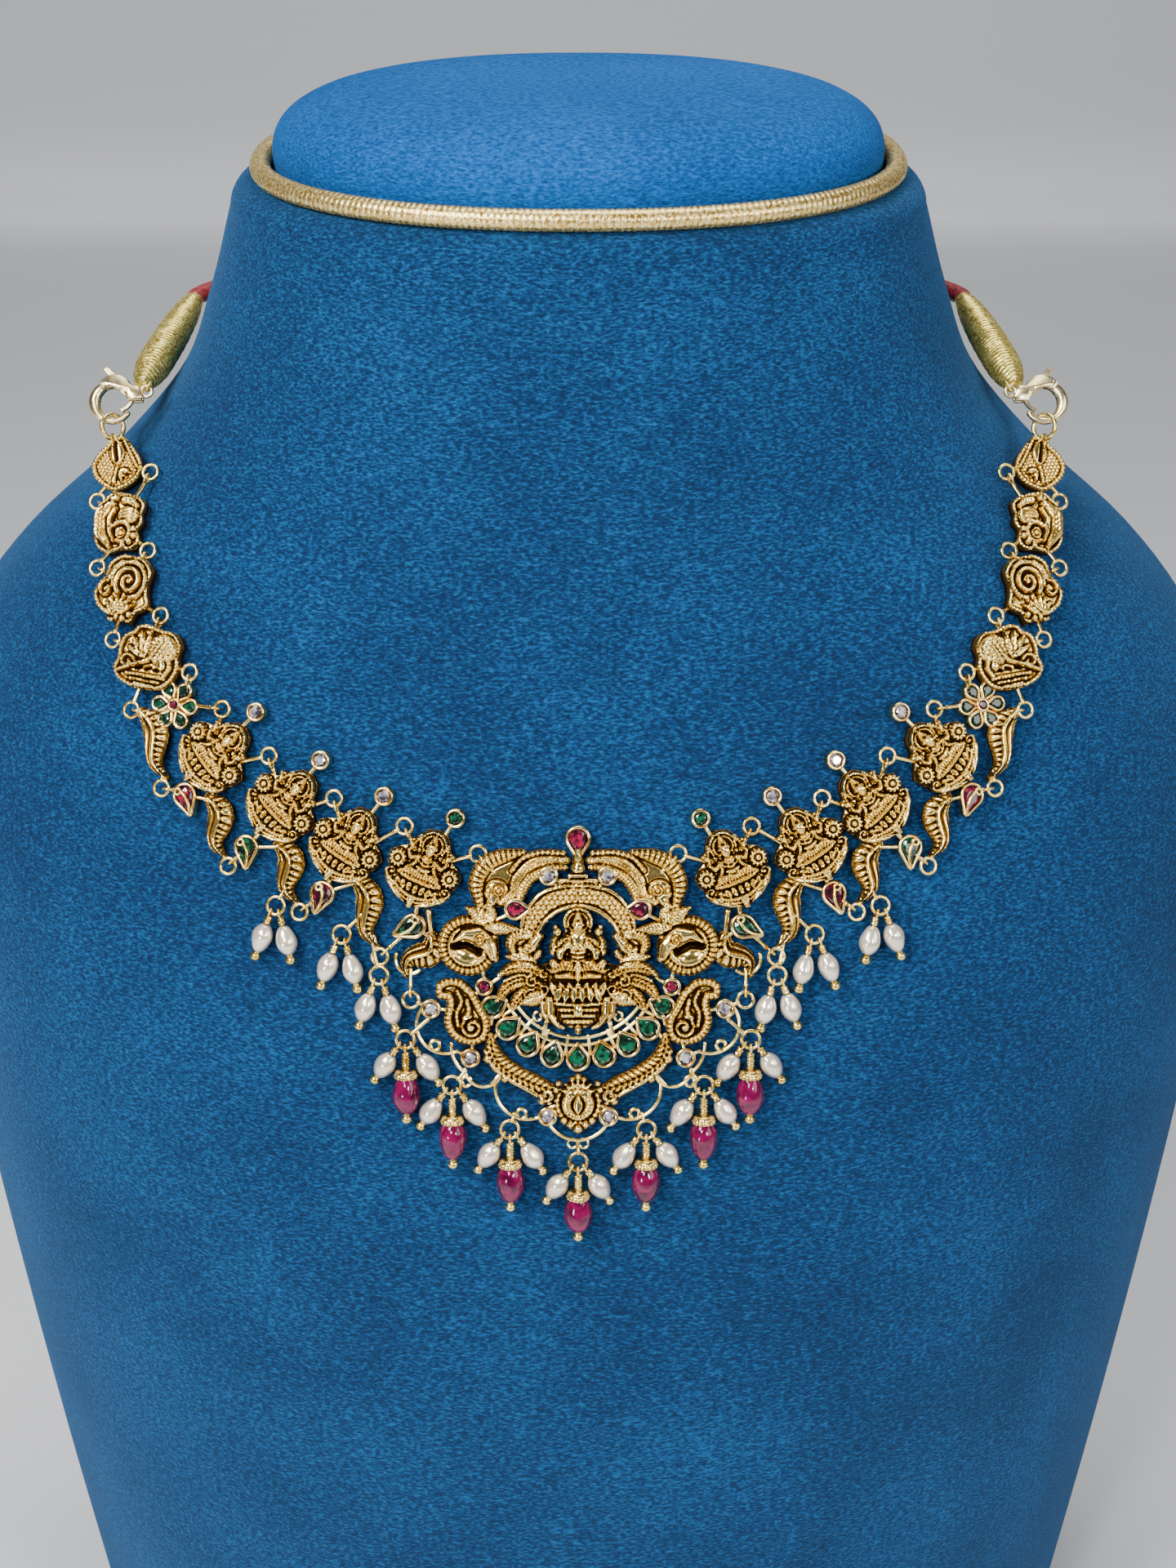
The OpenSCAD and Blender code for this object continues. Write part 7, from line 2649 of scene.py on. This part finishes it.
@dataclass
class Pendant:
    """The pendant's soldered castings and its wire scrolls.

    Each group of forms has a method that draws its left half on a casting r.
    """

    step: float = 0.115
    wire: float = 0.6

    def crest(self, r: Relief) -> None:
        """The arch with its scales, the crest birds and the finial.

        Args:
            r: The casting to draw on.
        """
        r.plate([(-15.4, 9.6), (-15.2, 13), (-13.4, 15.3), (-10, 16.6), (-7.4, 16.4), (-8.6, 13.4),
                 (-9.4, 10.6), (-11.6, 9), (-13.6, 8.6)], 1.2, 0.4)
        r.stroke(curve([(-14.7, 9.2), (-15.2, 12.6), (-13.9, 15.2), (-11.6, 16.5), (-8.2, 17.2)]),
                 [0.7, 1.15, 1.25, 1.1, 0.5], 1.1, 1.15, Cut.RIBS, 0.8)
        r.dome((-12.2, 11.2), 1.9, 1.3, 0.9)
        r.stroke([(-12.6, 10.2), (-13.3, 9.2), (-14.2, 8.7)], [0.9, 0.7, 0.3], 1.3, 0.8)
        eye(r, (-11.9, 11.5), 0.8, 2.05)
        r.dome((-13.5, 11.5), 0.35, 1.7, 0.4, 0.5)
        s_curve = curve([(-11.6, 9.6), (-9.7, 10.9), (-9, 13.1), (-7.1, 15.2), (-4.4, 16.2), (-1.6, 16)])
        r.stroke(s_curve, [0.5, 0.85, 0.95, 0.9, 0.8, 0.5], 1.25, 0.95, Cut.FLUTES)
        r.stroke(curve([(-9.9, 14.4), (-8.3, 16.3), (-5.6, 17.2), (-2.2, 17.1)]), 0.4, 1.4, 0.7, Cut.BEADS,
                 0.76)
        r.stroke(curve([(-8.9, 9.7), (-8, 12.1), (-6.2, 13.9), (-3.6, 14.9), (-1.9, 14.9)]),
                 [0.55, 0.75, 0.75, 0.6, 0.4], 1.2, 0.8, Cut.RIBS, 0.5)
        for p in ((-9.2, 9.4), (-8.3, 8.5)):
            r.dome(p, 0.75, 1.2, 0.8)
        r.stroke([(0, 17.2), (0, 15.6)], [0.62, 0.8], 1.4, 1)
        r.stroke([(0, 13.9), (0, 12.2)], [0.9, 1.6], 1.3, 1, Cut.FLUTES)
        r.dome((0, 14.8), 1, 1.6, 1)
        r.dome((0, 16.6), 0.7, 1.6, 0.8)
        r.stroke([(-1.2, 13.7), (1.2, 13.7)], 0.3, 2.2, 0.5)
        r.stroke([(-2.7, 12.9), (2.7, 12.9)], 0.32, 1.7, 0.6, Cut.ROPE, 0.5)
        r.stroke([(-3.6, 12.1), (0, 12.4), (3.6, 12.1)], 0.36, 1.6, 0.6, Cut.BEADS, 0.62)
        # Arch: a broad band of fish scales between two bright rims
        middle = curve([(-7.5, 4.7), (-6.7, 7.2), (-4.8, 9.4), (-2.3, 10.5), (0, 10.7), (2.3, 10.5)])
        r.stroke(middle, [1.3, 1.55, 1.65, 1.6, 1.55, 1.6], 1.2, 0.55, moat=0.2)
        near = np.full(r.x.shape, np.inf)
        for p in middle:
            near = np.minimum(near, np.hypot(r.x - p[0], r.y - p[1]))
        r.texture((near < 1.2) & (r.y > 4), r.grains(0.86, 0.5))
        r.stroke(curve([(-8.6, 5), (-7.9, 8), (-5.6, 10.9), (-2.6, 12), (0, 12.2), (2.6, 12)]),
                 0.26, 1.6, 0.5)
        r.stroke(curve([(-6.3, 4.6), (-5.2, 6.7), (-3.3, 8.3), (-1.5, 9), (0, 9.2), (1.5, 9)]),
                 0.36, 1.6, 0.7)

    def wings(self, r: Relief) -> None:
        """The swans and inner birds at the sides, and the leaves between them.

        Args:
            r: The casting to draw on.
        """
        at = vec(-16.4, 3.2)
        r.dome(at, 4, 0.9, 0.3, 0)
        r.stroke(arc(at, 3.78, 70, 305, 6), [0.62, 0.88, 0.9, 0.88, 0.7], 1, 1.1, Cut.RIBS, 0.72)
        r.stroke(arc(at, 2.75, 120, 240, 6), [0.3, 0.55, 0.6, 0.55], 1.4, 0.8)
        r.dome((-16.9, 1.5), 1.55, 1.35, 0.95, 0.3, 1.25, -15)
        r.stroke([(-18.7, 3.7), (-17, 4.9), (-14.9, 4.7), (-13.2, 3.2), (-12.6, 1.4)],
                 [0.2, 0.75, 1.3, 1.25, 0.7], 1.6, 1.1)
        r.stroke([(-13.6, 4.5), (-12.6, 3), (-12.4, 1.2)], 0.5, 1.9, 0.6, Cut.RIBS, 0.5)
        eye(r, (-14.7, 4.2), 0.72, 2.4)
        r.carve([(-18.7, 3.1), (-16.8, 3.15), (-14.9, 2.1)], 0.5, 1.5)
        leaf_to(r, (-12.2, 6), (-17, 9.1), 2.5, 1.3, 1)
        leaf_to(r, (-12.8, 6.3), (-13.4, 9.9), 1.7, 1.2, 0.8)
        leaf_to(r, (-14.2, 5.9), (-8.6, 5.6), 1.9, 1.5, 0.9)
        # Inner bird: its ribbed crest, head and the leaf below
        r.dome((-8.2, 3.2), 1.5, 1, 0.3, 0)
        r.stroke(arc((-8.3, 3.2), 1.75, -20, 235, 8), [0.5, 0.85, 0.9, 0.6], 1.2, 0.95, Cut.RIBS, 0.45)
        r.stroke([(-7.9, 2.3), (-6.9, 3.2), (-5.7, 4.6)], [0.8, 0.85, 0.5], 1.5, 0.9)
        r.stroke(arc((-7.2, 2.6), 1.5, 180, 160, 12), 0.4, 1.5, 0.7, Cut.RIBS, 0.45)
        eye(r, (-7.6, 3), 0.5, 2.1)
        leaf_to(r, (-6.2, 0.7), (-11, 1.6), 2, 1.4, 0.9)
        leaf_to(r, (-6, 0), (-9.9, -0.1), 1.4, 1.3, 0.8)
        # Sprays of feathers beside the throne
        r.plate([(-3.4, 0.6), (-7.8, -0.6), (-9.8, -2.2), (-8.6, -5.2), (-5.6, -5.8), (-3.2, -4.4)], 1, 0.4)
        for path in ([(-5.4, -1.2), (-7.6, -0.3), (-10, -0.4), (-11.9, -1.3)],
                     [(-5.8, -3), (-8, -2.2), (-10.4, -3), (-12.3, -5.3)],
                     [(-5.6, -4), (-7.4, -3.9), (-9, -4.9), (-9.9, -6.6)]):
            r.stroke(curve(path, 5), [0.7, 1, 1.05, 0.85, 0.2], 1.3, 1.15, Cut.VEINS, 0.6)
        r.stroke(curve([(-6.4, -1.7), (-8.8, -1.3), (-11, -2.2)]), [0.2, 0.26, 0.2], 1.9, 0.5, Cut.BEADS,
                 0.46)
        for at, turn in (((-5, -1.1), 0), ((-6.9, -2.2), 90), ((-5.2, -3.4), 200), ((-7.2, -4.4), 60)):
            r.stroke(spiral(at, 0.95, 0.3, turn, 400), 0.22, 1.9, 0.6)
        leaf_to(r, (-4.6, -4.2), (-8.9, -5.7), 2.2, 1.6, 0.9)

    def throne(self, r: Relief) -> None:
        """The goddess on her lotus, with the throne's foot and its tusks.

        Args:
            r: The casting to draw on.
        """
        r.plate([(-3.5, 0.8), (-3, 3.4), (-1.9, 5.2), (-1.5, 7.4), (1.5, 7.4), (1.9, 5.2), (3, 3.4),
                 (3.5, 0.8),
                 (4.6, -1.8), (3.6, -4.2), (3, -8.2), (1.2, -9.4), (-1.2, -9.4), (-3, -8.2), (-3.6, -4.2),
                 (-4.6, -1.8)], 1.4, 0.4)
        goddess_bust(r, (0, 5.9), 0.9, 2)
        r.stroke([(0, 4.4), (0, 2.6), (0, 1)], [1.5, 1.25, 1], 1.9, 1.3, moat=0.2)
        for x, y in ((-0.7, 3), (0.7, 3)):
            r.dome((x, y), 0.72, 2.5, 0.95, 0.15)
        for y, half in ((2.2, 1.1), (1.5, 1), (0.9, 1.2)):
            r.stroke([(-half, y + 0.15), (0, y), (half, y + 0.15)], 0.22, 2.9, 0.4, Cut.BEADS, 0.4)
        # Raised hand with a bud, and the hand that gives
        r.stroke([(-1.6, 4.2), (-3, 3.2), (-3.7, 2.2)], [0.6, 0.55, 0.5], 2, 0.9, Cut.RIBS, 0.5)
        r.stroke([(-3.8, 2.3), (-3.7, 3.8), (-3, 5.1)], [0.5, 0.42, 0.3], 2, 0.8, Cut.BEADS, 0.5)
        r.dome((-3.1, 5.3), 0.55, 2, 0.7)
        r.dome((-3.4, 6), 0.3, 1.9, 0.5)
        r.stroke([(-1.4, 3.6), (-2.5, 2.4), (-2.7, 1.6)], [0.5, 0.5, 0.6], 2.3, 1)
        r.dome((-2.7, 2.2), 0.62, 2.4, 0.9, 0.3, 1.3, 80)
        # Crossed legs under their folds
        r.stroke([(0.3, -0.5), (-1.9, 0.3), (-3.7, -0.5)], [0.8, 1, 0.6], 2, 1.4, Cut.RIBS, 0.46)
        r.stroke([(0, -1.4), (-1.8, -1.3), (-3.2, -1.4)], [0.55, 0.62, 0.45], 2, 1.2, Cut.RIBS, 0.42)
        r.stroke([(0, 0.4), (0, -1.8)], [0.5, 0.42], 2.7, 0.8, Cut.RIBS, 0.34)
        r.dome((-3.6, 0.5), 0.7, 2.1, 0.9, 0.3)
        # Lotus: two rows of petals over the foot
        for x in (-3.9, -2.6, -1.3, 0):
            leaf_to(r, (x * 0.72, -4.9), (x * 1.1, -2), 1.45, 1.8, 0.85, 0.6, False)
            r.carve([(x * 0.76, -4.4), (x * 1.02, -2.6)], 0.16, 0.3)
        for x in (-3.2, -1.95, -0.65):
            leaf_to(r, (x * 0.8, -3), (x * 1.05, -5.6), 1.3, 2, 0.8, 0.6, False)
        r.stroke([(-3.3, -5.6), (0, -5.9), (3.3, -5.6)], 0.34, 2, 0.6, Cut.ROPE, 0.5)
        r.stroke([(-2.8, -6.6), (2.8, -6.6)], 0.42, 1.8, 0.6, Cut.BEADS, 0.6)
        r.stroke([(-2.4, -7.5), (2.4, -7.5)], 0.36, 1.8, 0.6, Cut.RIBS, 0.5)
        r.stroke([(-1.9, -8.4), (1.9, -8.4)], 0.42, 1.7, 0.6, Cut.BEADS, 0.7)
        r.dome((0, -6.6), 0.8, 2.1, 0.8, 0.3, 1.4, 90)
        r.stroke([(-4.3, -5.2), (-4.2, -7.4), (-3, -9), (-2.2, -9.3)], [0.75, 0.7, 0.45, 0.2], 1.5, 0.9)
        r.stroke([(-5.3, -5.6), (-5.2, -7.2), (-4.4, -8.4)], [0.5, 0.42, 0.2], 1.3, 0.8)
        r.stroke([(0, -9.3), (0, -10.9)], [0.5, 0.3], 1.4, 0.7, Cut.BEADS, 0.6)

    def skirts(self, r: Relief) -> None:
        """The paisleys, the feather fronds and the medallion below.

        Args:
            r: The casting to draw on.
        """
        body = [(-20.4, -3.2), (-18.2, -2.5), (-16.4, -4), (-15, -6.4), (-13.7, -8.6), (-14.4, -11),
                (-16.6, -11.6), (-18.8, -10.6), (-19.8, -8.4), (-19.3, -6)]
        r.plate(curve(body, 4, True), 1.15, 0.4)
        edge = curve([(-16, -4.3), (-14.9, -6.4), (-13.9, -8.5), (-14.3, -10.7), (-16.3, -11.4),
                              (-18.5, -10.5), (-19.5, -8.4), (-19.1, -5.9), (-19.4, -4.6), (-20.6, -4.4),
                              (-20.8, -3.2), (-19.4, -2.4), (-17.7, -2.7), (-16.6, -3.7)])
        r.stroke(edge, 0.6, 1.2, 0.95, Cut.RIBS, 0.66)
        r.stroke(spiral((-15.9, -9.3), 1.65, 0.4, 100, 520), 0.3, 1.6, 0.75)
        r.dome((-15.9, -9.3), 0.4, 1.8, 0.5)
        r.stroke(curve([(-18.1, -3.9), (-17.5, -5.4), (-18.2, -7.2), (-18, -9.2)]), 0.34, 1.6, 0.65,
                 Cut.BEADS, 0.62)
        r.stroke(curve([(-16.7, -5.3), (-16.4, -6.9), (-17.1, -7.9)]), 0.4, 1.5, 0.7, Cut.BEADS, 0.8)
        frond = curve([(-13.2, -10.6), (-12.9, -12.8), (-11.9, -14.8), (-9.3, -16.7), (-6.4, -18),
                       (-3.9, -18.8)])
        r.stroke(frond, [0.45, 1.15, 1.45, 1.45, 1.4, 1.3, 0.7], 1, 1.25, Cut.VEINS, 0.92)
        vine = curve([(-14, -12.9), (-12.9, -15.2), (-10.3, -17.4), (-7, -19.2), (-4.4, -20.8)])
        r.stroke(vine, [0.3, 0.42, 0.36, 0.4, 0.5], 1, 0.9)
        for p in ((-13.6, -14.2), (-11, -17.1), (-5.4, -20.6)):
            r.dome(p, 0.62, 1.2, 0.8)
        r.stroke(spiral((-4.7, -19.7), 1, 0.35, 180, 380), 0.3, 1.4, 0.7)
        # Medallion: a fan over an oval boss with rays, in rows of beads
        hub = vec(0, -20.9)
        r.dome(hub, 3.4, 1, 0.4, 0)
        for a in (28, 50, 70, 90, 110, 130, 152):
            leaf_to(r, hub + vec(0, 0.9), hub + vec(0, 0.7) + on_circle(a, 3.2), 1.1, 1.5, 0.8, 0.5, False)
        r.stroke(arc(hub + vec(0, -0.3), 1.75, 100, 340, 8), 0.75, 1.6, 0.75, Cut.RIBS, 0.5)
        leaf_to(r, hub + vec(0, -1.6), hub + vec(0, 1.5), 1.5, 2, 0.9, 0.5, False)
        r.stroke(arc(hub, 3.15, 150, 240, 8), 0.42, 1.2, 0.75, Cut.BEADS, 0.82)
        for x, y, d in ((-3.3, -18.9, 0.5), (-2.9, -17.9, 0.42), (-0.9, -17.3, 0.42), (-1.1, -24.2, 0.62),
                        (0, -24.9, 0.7), (0, -16.9, 0.5), (-2.1, -23.6, 0.55)):
            r.dome((x, y), d, 1.3, 0.85)

    def casting(self) -> list[Shell]:
        """The upper and the lower casting in the pendant's own frame.

        Returns:
            Both meshes.
        """
        upper = Relief((-21.39, -10.2), (21.39, 18.4), self.step)
        self.crest(upper)
        self.wings(upper)
        self.throne(upper)
        upper.mirror()
        lower = Relief((-21.39, -26), (21.39, -1.8), self.step)
        self.skirts(lower)
        lower.mirror()
        return [upper.shell(0.3), lower.shell(0.3)]

    def wires(self) -> Shell:
        """The scrolled wires round the castings, and the rings of the links and drops.

        Returns:
            Their mesh in the pendant's own frame.
        """
        z, half = 1.0, self.wire / 2
        left = []
        for at, radius, start, sweep in (((-19.9, -9), 4.4, 128, 165), ((-13.9, -12.2), 5.2, 176, 58),
                                         ((-14.2, -15.6), 2.9, 184, 116), ((-7.6, -18.6), 4.9, 168, 114)):
            left.append([(*p, z) for p in arc(at, radius, start, sweep, 6)])
        for a, b in (((-18.2, -13), (-16.6, -13.8)), ((-13.2, -18.2), (-11.8, -16.6)),
                     ((-12.3, -17.8), (-11.4, -16.4)),
                     ((-6.4, -23.3), (-4.8, -23)), ((-4.6, -21.8), (-3, -21.2)), ((-12.9, 6.6), (-9.6, 8.2)),
                     ((-14.1, -1.8), (-14.4, -0.4)), ((-14.9, -4.0), (-16.2, -4.6)),
                     ((-12.6, -6.6), (-13.1, -8.9)),
                     ((-20.6, -6.6), (-18.8, -6.8)), ((-15.9, -12.8), (-15.9, -11.4)),
                     ((-5.6, 13.6), (-7.4, 13.6)),
                     ((-11.7, -1.7), (-13, -2.6)), ((-10.9, -8.8), (-12.6, -10.9)), ((0, 17.8), (0, 16.6))):
            left.append([(*a, 1.1), (*mix(vec(*a), vec(*b), 0.5), 1.15), (*b, 1.1)])
        for at, start, sweep in (((-21.6, -12.1), 250, 330), ((-16.9, -17.6), 250, 330),
                                 ((-8.6, -22.6), 240, 330)):
            left.append([(*p, z) for p in spiral(at, 0.85, 0.6, start, sweep)])
        shells = [tube(path, half, 8) for path in left]
        shells += [Shell.mirrored(s) for s in shells]
        across = [[(*p, z) for p in arc((0, -21.6), 5.1, 210, 120, 6)]]
        for radius, reach, bar in ((12.1, 68, 0.66), (11, 62, 0.6)):
            across.append([(*p, z) for p in arc((0, 0), radius, -90 - reach, 2 * reach, 5)])
        shells += [tube(path, 0.3, 8) for path in across]
        for i in range(-4, 4):
            a = -90 + 16 * (i + 0.5)
            shells.append(tube([(*on_circle(a, 10.8), z), (*on_circle(a, 13.6), z)], 0.3, 8))
        for s in (-1, 1):
            shells.append(tube([(*p, z) for p in arc((s * 0.85, -27.2), 0.7, 0, 345, 15)], 0.225, 8,
                               closed=True))
            shells.append(tube([(s * p[0], p[1], 1.3) for p in spiral((-6, -7.7), 0.75, 0.45, 100, 300)],
                               0.24, 8))
            shells.append(tube([(s * 4.8, -8.6, 1.2), (s * 5.2, -10.4, 1)], 0.4, 8))
        shell = joined(shells).placed(PLACES["pendant"])
        links = WIRES.of_unit("pendant")
        for place, anchor in CLUSTER_HANGERS:
            links += WIRES.hanger("pendant", place, anchor)
        side = joined(links)
        return joined([shell, side, side.mirrored()])

    def build(self) -> None:
        """Makes the castings, the wires and the bezels."""
        for name, shell in zip(("pendant_casting", "pendant_lower_casting"), self.casting()):
            shell.placed(PLACES["pendant"]).piece(name, FINISH.casting, ["pendant_frame"])
        self.wires().piece("pendant_wires", FINISH.wire, ["pendant_frame"])
        cups = joined([s.bezel() for s in pendant_settings()])
        cups.placed(PLACES["pendant"]).piece("pendant_bezels", FINISH.bezel, ["pendant_frame"])


@dataclass
class SideUnits:
    """Every unit up the two sides, with its wires and bezels."""

    clasp: Clasp

    def swirl(self, setting: Setting) -> Shell:
        """The wire that runs over a teardrop stone and ends in a curl.

        Args:
            setting: The stone's setting.

        Returns:
            The wire, in the unit's frame.
        """
        run = curve([(0.05, 3.2, 1.5), (-0.35, 2.0, 1.85), (-0.3, 0.5, 1.95), (0.3, -0.7, 1.85)], 5)
        curl = [(*p, 1.8) for p in spiral((0.75, -0.75), 0.5, 0.42, 180, 330)]
        return tube([*run, *curl], [0.2, 0.26, 0.24, 0.22, 0.2], 10).placed(setting.place())

    def bars(self, name: str) -> list[Shell]:
        """Solder bars between a plaque, its stones and its leaf.

        Args:
            name: The unit.

        Returns:
            The bars, in its frame.
        """
        if name == "flower":
            return [WIRES.bar(vec(-5.1, -1, 0.9), vec(-2.6, 0.4, 0.5), 0.8)]
        trim = PLAQUE_TRIM[int(name[-1])]
        stone, tear, leaf = vec(*trim.stone), vec(*trim.tear), vec(*trim.leaf_from)
        pairs = [(stone, stone * 0.5, 0.8), (tear * 0.92, tear * 0.55, 0.9), (leaf, leaf * 0.6, 0.9),
                 (leaf, tear, 0.7)]
        shells = [WIRES.bar(vec(*a, 0.8), vec(*b, 1.1), thick) for a, b, thick in pairs]
        if name == "plaque_4":
            shells.append(tube([(*p, 1) for p in arc((-4.4, -12.9), 2.2, 150, 150, 10)], 0.3, 8))
        return shells

    def castings(self, name: str, figure: Shell) -> list[Shell]:
        """The cast parts of a unit in its own frame.

        Args:
            name: The unit.
            figure: The plaques' goddess.

        Returns:
            The castings, in its frame.
        """
        if name == "flower":
            return [slab(round_outline(5.3, 32), 0, 0.6, 0.12), leaf_scroll((-5, 1.6), (-7.1, -8.2), 0.8)]
        if name.startswith("plaque"):
            trim = PLAQUE_TRIM[int(name[-1])]
            turned = figure.placed(level().turned(trim.figure_turn))
            return [turned, leaf_scroll(trim.leaf_from, trim.leaf_to, 0.9)]
        return [SideLink(Motif(name)).shell()]

    def build(self) -> None:
        """Makes every unit, from the leaves down to the plaques beside the pendant."""
        figure = plaque_figure()
        for name in ROUTE:
            if name == "pendant":
                continue
            plaque = name.startswith("plaque")
            node = f"goddess_plaque_{{}}_{name[-1]}" if plaque else f"{name}_link_{{}}"
            wires = WIRES.of_unit(name) + (self.clasp.leaf_wires() if name == "leaf" else [])
            cups = settings_of(name)
            if cups:
                extra = self.bars(name) + [self.swirl(cups[1])] * plaque
                wires += [joined(extra).placed(PLACES[name])]
                both(f"{name}_bezels", joined([c.bezel() for c in cups]).placed(PLACES[name]), FINISH.bezel,
                     node)
            both(f"{name}_casting", joined(self.castings(name, figure)).placed(PLACES[name]),
                 FINISH.casting, node)
            both(f"{name}_wires", joined(wires), FINISH.wire, node)


def main() -> None:
    """Builds every part of the scene in order."""
    logging.basicConfig(level=logging.INFO, format="%(name)s: %(message)s")
    clasp = Clasp()
    Studio().build()
    BUST.build()
    SideUnits(clasp).build()
    Pendant().build()
    Stones().build()
    Drops().build()
    clasp.build()


if __name__ == "__main__":
    main()
